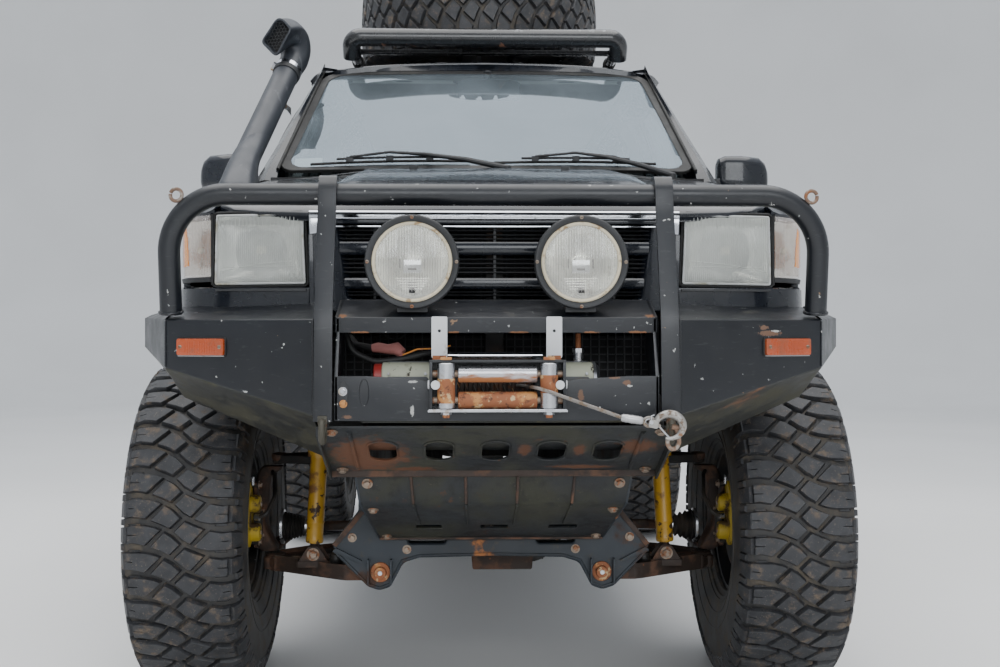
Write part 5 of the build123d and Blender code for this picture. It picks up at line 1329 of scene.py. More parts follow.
def build_door(front):
    D = Mesh()
    if front:
        poly = round_poly(FD, [0.035, 0.035, 0.3, 0.05, 0.20, 0.02, 0.01], 6)
        glass = round_poly(FG, [0.03, 0.03, 0.03, 0.03], 5)
        hole = round_poly(grow(FG, 0.014), [0.04] * 4, 5)
    else:
        a = arch_pts(WB, *on_arch(WB, 1.083, -1, 0.612), *on_arch(WB, 0.827, -1, 0.612), r=0.612, n=10)
        a = [p for p in a]
        top_on = (WB - math.sqrt(0.612**2 - (1.08 - ARCH_Z) ** 2), 1.08)
        arcp = arch_pts(WB, *on_arch(WB, 0.826, -1, 0.612), 2.442, ARCH_Z + math.sqrt(0.612**2 - (2.442 - WB) ** 2), 0.612, 14)
        poly = [(1.537, 0.825)] + arcp + RD_TOP
        rr = [0.035] + [0] * len(arcp) + [0.3, 0.05, 0.05]
        poly = round_poly(poly, rr, 6)
        glass = round_poly(RG, [0.03] * 4, 5)
        hole = round_poly(grow(RG, 0.014), [0.04] * 4, 5)
    # painted skin below the belt and the frame above it are one sheet
    panel(D, poly, [hole], side_surf, OUTX, M_BODY, 0.020, 0.050, 0.0034, back=False)
    full_thickness(D, poly, [hole], M_BODY)
    # inner sheet
    holes = [hole]
    panel(D, poly, holes, lambda a, b: (min(xin(b), bx(a, b) - 0.02), a, b), (-1, 0, 0), M_BODY, 0.004, 0.07, 0.002, back=False)
    # window surround, black, slightly proud, and its seals
    rim_seal(D, dense(hole, 0.05), side_surf, 0.0060, M_RUBBER, 0.002)
    inner_hole = round_poly(grow(FG if front else RG, 0.004), [0.034] * 4, 5)
    rim_seal(D, dense(inner_hole, 0.05), lambda a, b: (bx(a, b) - 0.016, a, b), 0.0085, M_RUBBER)
    # belt weatherstrip
    y0, y1 = (0.700, 1.490) if front else (1.562, 2.405)
    D.loft([[(bx(y, 1.600) + o, y, z) for o, z in ((-0.004, 1.586), (0.006, 1.588), (0.007, 1.600), (-0.002, 1.606))] for y in [y0 + (y1 - y0) * k / 10 for k in range(11)]], M_BLACKP, bevel=0.001)
    side_moulding(D, 0.640 if front else 1.553, 1.508 if front else 2.245)
    pull_handle(D, 1.395 if front else 2.290, 1.330)
    # inside card
    if front:
        card(D, 0.66, 1.48, 0.93, 1.56, lambda z: xin(z) - 0.010)
        # black sail triangle ahead of the glass
        panel(D, [(0.600, 1.604), (0.706, 1.604), (1.030, 1.930), (0.985, 1.955)], [], lambda a, b: (bx(a, b) + 0.003, a, b), OUTX, M_BLACKP, 0.006, 0.05, 0.002, back=False)
    else:
        ar = [(1.58, 0.93), (2.13, 0.93), (2.17, 1.03), (2.26, 1.15), (2.38, 1.22), (2.38, 1.56), (1.58, 1.56)]
        card(D, 1.58, 2.36, 0.93, 1.56, lambda z: xin(z) - 0.010, arch=round_poly(ar, 0.03, 3))
        # upright divider in the rear glass
        D.loft([[(bx(y, z) - 0.010, y, z), (bx(y, z) - 0.002, y, z), (bx(y, z) - 0.002, y + 0.016, z), (bx(y, z) - 0.010, y + 0.016, z)] for y, z in ((2.215, 1.606), (2.212, 1.72), (2.205, 1.83), (2.196, 1.946))], M_RUBBER)
    return D


def mirror_shell(sx):
    """Door mirror on its own sail base."""
    X = Mesh()
    # arm
    X.loft([[(0.775, 0.628, 1.566), (0.775, 0.694, 1.566), (0.775, 0.694, 1.618), (0.775, 0.628, 1.618)],
            [(0.806, 0.634, 1.570), (0.806, 0.690, 1.570), (0.806, 0.690, 1.610), (0.806, 0.634, 1.610)],
            [(0.836, 0.640, 1.574), (0.836, 0.690, 1.574), (0.836, 0.690, 1.606), (0.836, 0.640, 1.606)],
            [(0.856, 0.640, 1.580), (0.856, 0.694, 1.580), (0.856, 0.694, 1.628), (0.856, 0.640, 1.628)]], M_BLACKP, bevel=0.009, seg=3)
    # head: rounded box that tapers outwards; section given at five stations
    rings = []
    N = 36
    for x, y0, y1, z0, z1, rr in ((0.836, 0.662, 0.698, 1.590, 1.664, 0.018), (0.842, 0.640, 0.702, 1.573, 1.683, 0.024), (0.862, 0.630, 0.704, 1.568, 1.691, 0.028), (0.92, 0.627, 0.704, 1.564, 1.692, 0.028), (0.985, 0.634, 0.704, 1.562, 1.686, 0.030),
                                  (1.008, 0.645, 0.703, 1.564, 1.668, 0.030), (1.018, 0.657, 0.702, 1.572, 1.645, 0.024), (1.022, 0.668, 0.700, 1.585, 1.625, 0.015)):
        p = round_poly([(y0, z0), (y1, z0), (y1, z1), (y0, z1)], [rr, 0.008, 0.008, rr], 8)
        # resample to N points
        L = [0.0]
        for i in range(len(p)):
            L.append(L[-1] + math.dist(p[i], p[(i + 1) % len(p)]))
        ring = []
        for k in range(N):
            t = L[-1] * k / N
            i = max(j for j in range(len(L)) if L[j] <= t + 1e-12)
            i = min(i, len(p) - 1)
            q = (t - L[i]) / max(1e-9, L[i + 1] - L[i])
            a, b = p[i], p[(i + 1) % len(p)]
            ring.append((x, a[0] + (b[0] - a[0]) * q, a[1] + (b[1] - a[1]) * q))
        rings.append(ring)
    X.loft(rings, M_BODY, True, True)
    # silvered glass facing back
    g = round_poly([(0.858, 1.592), (0.992, 1.592), (0.986, 1.668), (0.858, 1.674)], [0.02, 0.03, 0.03, 0.02], 6)
    X.prism([(a, b) for a, b in g], 0.7035, 0.7062, "Y", M_CHROME, 0.0006)
    g2 = round_poly([(0.851, 1.585), (1.000, 1.585), (0.994, 1.675), (0.851, 1.681)], [0.024, 0.034, 0.034, 0.024], 6)
    X.prism([(a, b) for a, b in g2], 0.7005, 0.7048, "Y", M_BLACKP, 0.001)
    return X


Df, Dr = build_door(True), build_door(False)
Mi = mirror_shell(1)


def join(a, b):
    m = Mesh()
    m.v = list(a.v)
    m.f = [list(f) for f in a.f]
    m.mi = list(a.mi)
    m.mats = list(a.mats)
    o = len(m.v)
    m.v += list(b.v)
    for f, k in zip(b.f, b.mi):
        m.f.append([i + o for i in f])
        m.mi.append(m.mat(b.mats[k]))
    return m


Dfm = join(Df, Mi)
Dfm.done("Door_front_left", "door_front_left", "body_paint", ("door_front_left",), 34)
mirrored(Dfm).done("Door_front_right", "door_front_right", "body_paint", ("door_front_right",), 34)
Dr.done("Door_rear_left", "door_rear_left", "body_paint", ("door_rear_left",), 34)
mirrored(Dr).done("Door_rear_right", "door_rear_right", "body_paint", ("door_rear_right",), 34)


def glass_pane(poly, off=0.013):
    g = Mesh()
    panel(g, round_poly(poly, 0.03, 5), [], lambda a, b: (bx(a, b) - off, a, b), OUTX, M_SIDEGLASS, 0.0045, 0.12, 0.0005, back=False)
    return g


for nm, poly in (("front", grow(FG, 0.008)), ("rear", grow(RG, 0.008))):
    g = glass_pane(poly)
    g.done("Window_%s_left" % nm, "door_%s_left" % nm, "window_glass", ("window_%s_left" % nm,))
    mirrored(g).done("Window_%s_right" % nm, "door_%s_right" % nm, "window_glass", ("window_%s_right" % nm,))
g = glass_pane(grow(QG, 0.008))
join(g, mirrored(g)).done("Quarter_glass", "root", "window_glass", ("fixed_windows",))

# ---- rear quarters: body side behind the rear door
Q = Mesh()
arcq = arch_pts(WB, 2.456, ARCH_Z + math.sqrt(ARCH_R**2 - (2.456 - WB) ** 2), *on_arch(WB, 0.812, 1), n=30)
poly = [(2.454, 1.995)] + [(2.454, 1.4)] + arcq + [(3.60, 0.812), (3.706, 0.830), (3.728, 1.124), (3.598, 1.126), (3.596, 1.484), (3.700, 1.486), (3.660, 1.590), (3.480, 1.990)]
hole = round_poly(grow(QG, 0.014), [0.04] * 4, 5)
panel(Q, round_poly(poly, [0.01, 0] + [0] * len(arcq) + [0.04, 0.03, 0.0, 0.004, 0.004, 0.0, 0.02, 0.06], 5), [hole], side_surf, OUTX, M_BODY, 0.022, 0.048, 0.0030, M_DARK)
rim_seal(Q, dense(hole, 0.05), side_surf, 0.0060, M_RUBBER, 0.002)
lipq = arch_pts(WB, *on_arch(WB, 1.05, -1), *on_arch(WB, 0.82, 1), r=ARCH_R - 0.002, n=40)
Q.tube([(bx(y, z) - 0.006, y, z) for y, z in lipq], 0.0055, M_BODY, 8)
rings = []
for y, z in arch_pts(WB, *on_arch(WB, 0.72, -1, 0.612), *on_arch(WB, 0.72, 1, 0.612), r=0.612, n=30):
    rings.append([(0.660, y, z - 0.012), (bx(y, min(z, 1.2)) - 0.026, y, z - 0.002), (bx(y, min(z, 1.2)) - 0.026, y, z + 0.004), (0.660, y, z - 0.006)])
Q.loft(rings, M_LINER)
side_moulding(Q, 3.330, 3.690)
# filler flap on the right-hand side only is added below
# roof side rail above the quarter window up to the roof skin
def rail_pt(y, s):
    """s 0 at the side's top (z 1.985), 1 at the roof seam (x 0.566)."""
    a0 = Vector((bx(y, 1.992), y, 1.992))
    t = s
    x = curve([(0.0, a0.x), (0.28, 0.632), (0.55, 0.606), (1.0, 0.566)], t)
    z = curve([(0.0, 1.992), (0.28, 2.022), (0.55, 2.040), (1.0, 2.050)], t)
    dz = curve(ROOF_Z, y) - 2.085
    return (x, y, z + dz * t)
# rear part of the roof rail
panel(Q, [(2.000, 0.0), (3.452, 0.0), (3.447, 1.0), (2.000, 1.0)], [], lambda y, s: rail_pt(y, s), (0.6, 0, 0.8), M_BODY, 0.015, 0.12, 0.004, M_DARK)
# rain gutter line
Q.tube([(bx(y, 2.0) + 0.004, y, 2.001) for y in [2.46 + 0.09 * k for k in range(12)]], 0.0045, M_RUBBER, 8)
# back corner pillars beside the gate, from the tail lamp up to the roof
def back_y(z):
    return curve([(0.81, 3.735), (1.15, 3.745), (1.56, 3.690), (2.052, 3.455)], z)
for (z0, z1) in ((0.815, 1.124), (1.486, 2.040)):
    rings = []
    for i in range(9):
        z = z0 + (z1 - z0) * i / 8
        yb = back_y(z)
        xo = bx(min(yb - 0.03, 3.70), min(z, 1.985))
        rings.append([(0.698, yb - 0.003, z), (xo - 0.030, yb - 0.012, z), (xo - 0.010, yb - 0.030, z), (xo - 0.001, yb - 0.060, z), (xo - 0.020, yb - 0.060, z), (0.698, yb - 0.035, z)])
    Q.loft([[(min(p[0], max(q[0] for q in r)), p[1], p[2]) for p in r] for r in rings], M_BODY)
Qr = mirrored(Q)
both_q = join(Q, Qr)
# filler flap and its seam
fl = Mesh()
pf = round_poly([(3.215, 1.205), (3.375, 1.205), (3.375, 1.365), (3.215, 1.365)], 0.03, 6)
panel(fl, pf, [], lambda a, b: (bx(a, b) + 0.0030, a, b), OUTX, M_BODY, 0.006, 0.04, 0.002, back=False)
rim_seal(fl, dense(grow(pf, 0.003), 0.04), lambda a, b: (bx(a, b) + 0.0005, a, b), 0.0022, M_DARK)
both_q = join(both_q, mirrored(fl))
both_q.done("Rear_quarters", "root", "body_paint", ("rear_quarters",), 34)

# ---- pillars: A posts beside the screen, door frame rails, B posts
A = Mesh()
def a_out(z):
    t = (z - 1.540) / 0.530
    return Vector((0.753 + (0.582 - 0.753) * t, 0.270 + (0.828 - 0.270) * t, z)), Vector((0.810 + (0.609 - 0.810) * t, 0.480 + (1.000 - 0.480) * t, z))
rings = []
for i in range(13):
    z = 1.552 + (2.050 - 1.552) * i / 12
    t = (z - 1.590) / 0.426
    i0, o0 = a_out(z)
    e = Vector(screen_pt(screen_half(min(1.0, max(0.0, t))) + 0.004, min(1.02, max(-0.05, t)), 0.004))
    inn0 = Vector((e.x, e.y, z))
    # front edge by the glass, slanted face, round corner into the side, back edge at the door line
    yd = 0.560 + (z - 1.600) * (0.440 / 0.390) - 0.008 if z > 1.600 else 0.553
    yd = min(yd, 0.992)
    yd = max(yd, o0.y + 0.012)
    side = Vector((min(bx(yd, z), o0.x + 0.004), yd, z))
    m1 = i0.lerp(o0, 0.30)
    m2 = i0.lerp(o0, 0.72)
    m3 = i0.lerp(o0, 0.93)
    rings.append([inn0, i0.lerp(inn0, 0.35) + Vector((0.004, -0.006, 0)), m1 + Vector((0.006, -0.004, 0)), m2 + Vector((0.006, -0.002, 0)), m3 + Vector((0.004, 0.001, 0)), side + Vector((0, -0.012, 0)), side,
                  side + Vector((-0.030, 0.0, 0)), side + Vector((-0.060, -0.05, 0)), inn0 + Vector((0.004, 0.045, 0))])
A.loft(rings, M_BODY)
# rail over the doors
panel(A, [(0.840, 0.0), (2.000, 0.0), (2.000, 1.0), (0.840, 1.0)], [], lambda y, s: rail_pt(y, s), (0.6, 0, 0.8), M_BODY, 0.015, 0.12, 0.004, M_DARK)
A.loft([[(bx(y, 1.992) + 0.000, y, 1.993), (bx(y, 1.992) + 0.006, y, 1.996), (bx(y, 1.992) + 0.004, y, 2.006), (bx(y, 1.992) - 0.006, y, 2.008)] for y in [0.93 + 0.077 * k for k in range(21)]], M_RUBBER)
# roof front header between the screen and the roof skin
panel(A, [(-0.600, 0.0), (0.600, 0.0), (0.560, 1.0), (-0.560, 1.0)], [], lambda x, s: tuple(Vector(screen_pt(x, 1.005, 0.004)).lerp(Vector((x, 0.802, roof_z(x, 0.80) - 0.004)), s)), (0, -0.5, 0.85), M_BODY, 0.012, 0.06, 0.003, M_DARK)
# corner blend from the header to the rail
rings = []
for i in range(7):
    t = i / 6
    x = 0.548 + 0.062 * t
    rings.append([(x, 0.802 + 0.040 * t, roof_z(min(x, 0.56), 0.80) - 0.002 - 0.012 * t), (x + 0.012 * (1 - t), 0.93, roof_z(min(x, 0.565), 0.93) - 0.002 - 0.010 * t), (x, 0.93, 1.990), (x, 0.80 + 0.04 * t, 1.990)])
A.loft(rings, M_BODY)
# B posts: black tape between the door frames
rings = []
for z in (0.90, 1.15, 1.40, 1.50, 1.565, 1.70, 1.85, 1.955, 1.990):
    x = xin(z) - 0.010
    rings.append([(x, 1.470, z), (x + 0.006, 1.500, z), (x + 0.006, 1.545, z), (x, 1.570, z), (x - 0.045, 1.560, z), (x - 0.045, 1.480, z)])
A.loft(rings, M_PLAST)
for z in (1.02, 1.30):       # striker plates
    A.box(xin(z) - 0.006, xin(z) + 0.004, 1.500, 1.535, z - 0.02, z + 0.02, M_ZINC, 0.002)
# door opening weatherstrips
for pl in (FD, [(1.537, 0.90)] + [(2.20, 0.90), (2.27, 0.98), (2.38, 1.08), (2.436, 1.12)] + RD_TOP):
    q = round_poly(grow(pl, -0.016), 0.05, 4)
    q = [p for p in dense(q, 0.06) if p[1] > 0.88]
    A.tube([(xin(b) - 0.008, a, b) for a, b in q], 0.0085, M_RUBBER, 8)
A2 = join(A, mirrored(A))
A2.done("Body_pillars", "root", "body_paint", ("body_pillars",), 34)
B = Mesh()
# black closing strips in the gaps between the door frames and behind the rear door
for pl in ([(1.5275, 1.40), (1.5365, 1.40), (1.5365, 1.985), (1.501, 1.985)], [(2.4445, 1.40), (2.453, 1.40), (2.453, 1.985), (2.4135, 1.985)]):
    panel(B, pl, [], lambda a, b: (bx(a, b) - 0.030, a, b), OUTX, M_RUBBER, 0.008, 0.06, 0.001)
for pl in ([(1.5275, 0.84), (1.5355, 0.84), (1.5355, 1.40), (1.5275, 1.40)], [(0.612, 0.84), (0.6175, 0.84), (0.6175, 1.54), (0.612, 1.54)], [(2.4445, 1.15), (2.453, 1.15), (2.453, 1.40), (2.4445, 1.40)]):
    panel(B, pl, [], lambda a, b: (bx(a, b) - 0.034, a, b), OUTX, M_RUBBER, 0.006, 0.08, 0.0008)
join(B, mirrored(B)).done("Door_gap_seals", "root", "black_plastic")

# ------------------------------------------------------------------ bumper, bull bar, lamps, grille
# bumper wings: folded plate boxes with weld beads along the folds
WING = [(0.424, (-0.930, 0.859), (-0.930, 1.083), (-0.690, 1.127), (-0.600, 0.950), (-0.625, 0.731)),
        (0.794, (-0.800, 0.966), (-0.800, 1.083), (-0.640, 1.118), (-0.570, 1.000), (-0.600, 0.886)),
        (0.919, (-0.505, 1.014), (-0.505, 1.091), (-0.440, 1.100), (-0.430, 1.050), (-0.440, 1.018))]


def wing_front(x, z, off=0.0):
    """Point on the wing's front sheet."""
    (x0, *a), (x1, *b) = (WING[0], WING[1]) if x <= 0.794 else (WING[1], WING[2])
    t = (x - x0) / (x1 - x0)
    y = a[0][0] + (b[0][0] - a[0][0]) * t
    n = Vector((b[0][0] - a[0][0], -(x1 - x0), 0)).normalized()
    n = Vector((-n.x, n.y, 0)) if n.y > 0 else n
    return Vector((x, y, z)) + n * off


def build_wing():
    B = Mesh()
    # the sheets, cut finely along x so that the folds stay straight
    rings = []
    xs = [0.424 + (0.794 - 0.424) * k / 6 for k in range(7)] + [0.794 + (0.919 - 0.794) * k / 3 for k in (1, 2, 3)]
    for x in xs:
        (x0, *a), (x1, *b) = (WING[0], WING[1]) if x <= 0.7941 else (WING[1], WING[2])
        t = (x - x0) / (x1 - x0)
        rings.append([(x, a[k][0] + (b[k][0] - a[k][0]) * t, a[k][1] + (b[k][1] - a[k][1]) * t) for k in range(5)])
    B.loft(rings, M_BUMPER, bevel=0.0045, seg=3, angle=12)
    # the two undersides carry the grimy finish
    grime = B.mat(M_CHIN)
    for i, f in enumerate(B.f):
        a, b, c = (Vector(B.v[k]) for k in f[:3])
        if (b - a).cross(c - a).normalized().z < -0.35:
            B.mi[i] = grime
    # weld beads: at the vertical fold and along the lower fold
    def bead(p, q, r=0.0022, k=30):
        p, q = Vector(p), Vector(q)
        pts = [p.lerp(q, i / k) for i in range(k + 1)]
        B.tube(pts, r, M_BUMPER, 6, rr=[r * (0.85 + 0.3 * (i % 2)) for i in range(k + 1)])
    bead((0.794, -0.8005, 0.970), (0.794, -0.8005, 1.080))
    bead((0.794, -0.799, 1.0838), (0.794, -0.642, 1.1185), k=34)
    bead((0.426, -0.9295, 0.862), (0.426, -0.9295, 1.082), k=40)
    # the indicator lamps are built separately by indicator()
    return B


def indicator(sx):
    B = Mesh()
    c = wing_front(0.700, 1.018)
    d = (wing_front(0.76, 1.018) - wing_front(0.64, 1.018)).normalized()
    nrm = Vector((d.y, -d.x, 0)).normalized()
    if nrm.y > 0:
        nrm = -nrm
    M4 = Matrix(((d.x, 0, nrm.x, c.x), (d.y, 0, nrm.y, c.y), (d.z, 1, nrm.z, c.z), (0, 0, 0, 1)))
    def q(w, h, r):
        return round_poly([(-w, -h), (w, -h), (w, h), (-w, h)], r, 5)
    def pr(poly, z0, z1, m, bev):
        n = len(poly)
        v = [(a, b, z0) for a, b in poly] + [(a, b, z1) for a, b in poly]
        f = [list(range(n)), list(range(2 * n - 1, n - 1, -1))] + [(i, i + n, (i + 1) % n + n, (i + 1) % n) for i in range(n)]
        B.solid(v, f, m, bev, 2, 30, M4)
    pr(q(0.0665, 0.0225, 0.005), -0.003, 0.0030, M_RUBBER, 0.001)
    pr(q(0.0630, 0.0200, 0.005), 0.001, 0.0110, M_AMBER, 0.003)
    for k in range(-6, 7):
        pr([(k * 0.0066 - 0.0007, -0.0150), (k * 0.0066 + 0.0007, -0.0150), (k * 0.0066 + 0.0007, 0.0150), (k * 0.0066 - 0.0007, 0.0150)], 0.0108, 0.0116, M_AMBER, 0.0)
    pr([(-0.062, -0.0225), (0.062, -0.0225), (0.062, -0.0205), (-0.062, -0.0205)], 0.0, 0.0060, M_ALU, 0.0005)
    for s in (-1, 1):
        p = M4 @ Vector((s * 0.0530, 0, 0.0095))
        B.lathe([(0, 0), (0, 0.0052), (0.0022, 0.0048), (0.0032, 0.003), (0.0032, 0)], p, nrm, M_AMBER_TRIM, 18)
        B.box(-0.0040, 0.0040, -0.0007, 0.0007, 0.0120, 0.0131, M_DARK, 0, M4 @ Matrix.Translation((s * 0.0530, 0, 0)))
    return B if sx > 0 else mirrored(B)


WG = build_wing()
WG2 = join(WG, mirrored(WG))
for s in (1, -1):
    WG2 = join(WG2, indicator(s))
WG2.done("Bumper_wings", "root", "bumper_paint", ("bumper_wings",), 30)

# centre: upper beam, channel plate, tray, cheeks and plate brackets
Cn = Mesh()
Cn.prism([(-0.905, 1.051), (-0.905, 1.088), (-0.780, 1.132), (-0.780, 1.122), (-0.895, 1.082), (-0.897, 1.051)], -0.3775, 0.3775, "X", M_BUMPER, 0.0030, 3)
# channel plate: top edge dips towards the fairlead, slight kinks
plate = [(-0.374, 0.849), (0.374, 0.849), (0.374, 0.952), (0.300, 0.9515), (0.178, 0.9440), (0.155, 0.938), (0.092, 0.936), (0.092, 0.903), (-0.092, 0.903), (-0.092, 0.936), (-0.155, 0.938), (-0.185, 0.9455), (-0.300, 0.952), (-0.374, 0.952)]
Cn.prism(plate, -0.945, -0.937, "Y", M_BUMPER, 0.0016, 2)
Cn.prism([(-0.374, 0.944), (-0.30, 0.944), (-0.30, 0.952), (-0.374, 0.952)], -0.938, -0.915, "Y", M_BUMPER, 0.002)
Cn.prism([(0.30, 0.944), (0.374, 0.944), (0.374, 0.952), (0.30, 0.952)], -0.938, -0.915, "Y", M_BUMPER, 0.002)
Cn.box(-0.312, 0.312, -0.9375, -0.690, 0.844, 0.852, M_CHIN, 0.002)
for s in (-1, 1):
    a, b = sorted((s * 0.366, s * 0.3745))
    Cn.prism([(-0.945, 0.849), (-0.945, 0.952), (-0.905, 1.051), (-0.905, 1.088), (-0.780, 1.132), (-0.780, 1.000), (-0.866, 0.930), (-0.866, 0.849)], a, b, "X", M_BUMPER, 0.002)
    # bolted plate brackets with a hole
    h = [(s * 0.134 + 0.0036 * math.cos(2 * PI * i / 16), 1.056 + 0.0036 * math.sin(2 * PI * i / 16)) for i in range(16)]
    br = round_poly([(s * 0.134 - 0.0185, 0.9925), (s * 0.134 + 0.0185, 0.9925), (s * 0.134 + 0.0185, 1.0895), (s * 0.134 - 0.0185, 1.0895)], 0.004, 4)
    panel(Cn, br, [h], lambda a, b: (a, -0.9105, b), (0, -1, 0), M_WHITE, 0.005, 0.02, 0.0008)
    Cn.prism([(s * 0.134 - 0.0175, 1.083), (s * 0.134 + 0.0175, 1.083), (s * 0.134 + 0.0175, 1.0895), (s * 0.134 - 0.0175, 1.0895)], -0.910, -0.893, "Y", M_WHITE, 0.001)
    Cn.box(s * 0.134 - 0.016, s * 0.134 + 0.016, -0.9115, -0.903, 0.984, 0.999, M_RUSTROLL, 0.002)
# bolts and bracket on the left of the channel plate, oval mark beside it
Cn.prism(round_poly([(-0.3625, 0.880), (-0.3445, 0.880), (-0.3425, 0.925), (-0.3535, 0.944), (-0.3645, 0.925)], 0.004, 4), -0.9475, -0.945, "Y", M_BLACKP, 0.0008)
Cn.hexbolt((-0.3545, -0.9475, 0.9170), (0, -1, 0), 0.0068, 0.006, M_ZINC)
Cn.hexbolt((-0.3535, -0.9475, 0.8885), (0, -1, 0), 0.0062, 0.005, M_RUSTROLL)
Cn.tube([(-0.306 + 0.0105 * math.cos(2 * PI * i / 28), -0.9453, 0.915 + 0.0300 * math.sin(2 * PI * i / 28)) for i in range(29)], 0.0010, M_BUMPER, 5)
Cn.done("Bumper_centre", "root", "bumper_paint", ("bumper_centre",), 30)

# bull bar: flat uprights run over the hoop, tow eyes below
UP = [(-0.958, 0.848), (-0.946, 1.085), (-0.868, 1.345), (-0.858, 1.402), (-0.838, 1.427), (-0.790, 1.430),
      (-0.790, 1.421), (-0.833, 1.418), (-0.8495, 1.398), (-0.859, 1.347), (-0.937, 1.085), (-0.948, 0.848)]
BB = Mesh()
for s in (-1, 1):
    a, b = sorted((s * 0.3785, s * 0.4215))
    pts2 = []
    # soft bends: sample the strap's outer line as a smooth path with thickness
    outer = arc_path([(0, y, z) for y, z in UP[:6]], [0.25, 0.30, 0.045, 0.020], 5)
    rings = []
    for i, p in enumerate(outer):
        t = (Vector(outer[min(i + 1, len(outer) - 1)]) - Vector(outer[max(i - 1, 0)])).normalized()
        nrm = Vector((0, t.z, -t.y))      # towards the back
        rings.append([(a, p.y, p.z), (b, p.y, p.z), (b, p.y + nrm.y * 0.0095, p.z + nrm.z * 0.0095), (a, p.y + nrm.y * 0.0095, p.z + nrm.z * 0.0095)])
    BB.loft(rings, M_BUMPER, bevel=0.0020, seg=2, angle=50)
    # welded gusset down to the beam
    BB.prism([(-0.944, 1.000), (-0.905, 1.050), (-0.905, 1.088), (-0.862, 1.104), (-0.900, 1.236), (-0.9395, 1.090)], s * 0.4000 - 0.004, s * 0.4000 + 0.004, "X", M_BUMPER, 0.0012)
    # tow eye: a closed ring in a welded root
    for x0 in (-0.007, ):
        eye = [(s * 0.400, -0.953 + 0.024 * math.sin(2 * PI * i / 32), 0.826 + 0.024 * math.cos(2 * PI * i / 32)) for i in range(33)]
        BB.tube(eye, 0.008, M_EYE, 14, caps=False)
    BB.box(s * 0.400 - 0.011, s * 0.400 + 0.011, -0.962, -0.944, 0.842, 0.862, M_EYE, 0.003)
hp = arc_path([(-0.785, -0.781, 1.096), (-0.785, -0.820, 1.383), (0.785, -0.820, 1.383), (0.785, -0.781, 1.096)], 0.160, 18)
BB.tube(hp, 0.0265, M_BUMPER, 28)
for s in (-1, 1):
    # weld collars at the feet
    c = Vector((s * 0.785, -0.781, 1.098))
    BB.tube([c + Vector((0.0275 * math.cos(2 * PI * i / 30), 0.0275 * math.sin(2 * PI * i / 30), 0.004 + 0.0015 * math.sin(i * 2.4) + 0.005 * math.sin(2 * PI * i / 30))) for i in range(31)], 0.0032, M_BUMPER, 8)
    # rusty ring on the outer corner
    o = Vector((s * 0.7545, -0.822, 1.3700))
    k0 = 0.4
    ring = [o + Vector((s * 0.0145 * math.cos(a), -0.006 * math.sin(a * 0.5), 0.0145 * math.sin(a))) for a in [k0 + i * (2 * PI - 0.25) / 22 for i in range(23)]]
    BB.tube([Vector(p) + Vector((s * 0.008, 0, 0.010)) for p in ring], 0.0045, M_SHACKLE, 10)
    BB.tube([o + Vector((-s * 0.012, 0.0, -0.010)), o + Vector((-s * 0.001, -0.002, -0.002))], 0.0042, M_SHACKLE, 10)
BB.done("Bull_bar", "root", "bumper_paint", ("bull_bar",), 35)

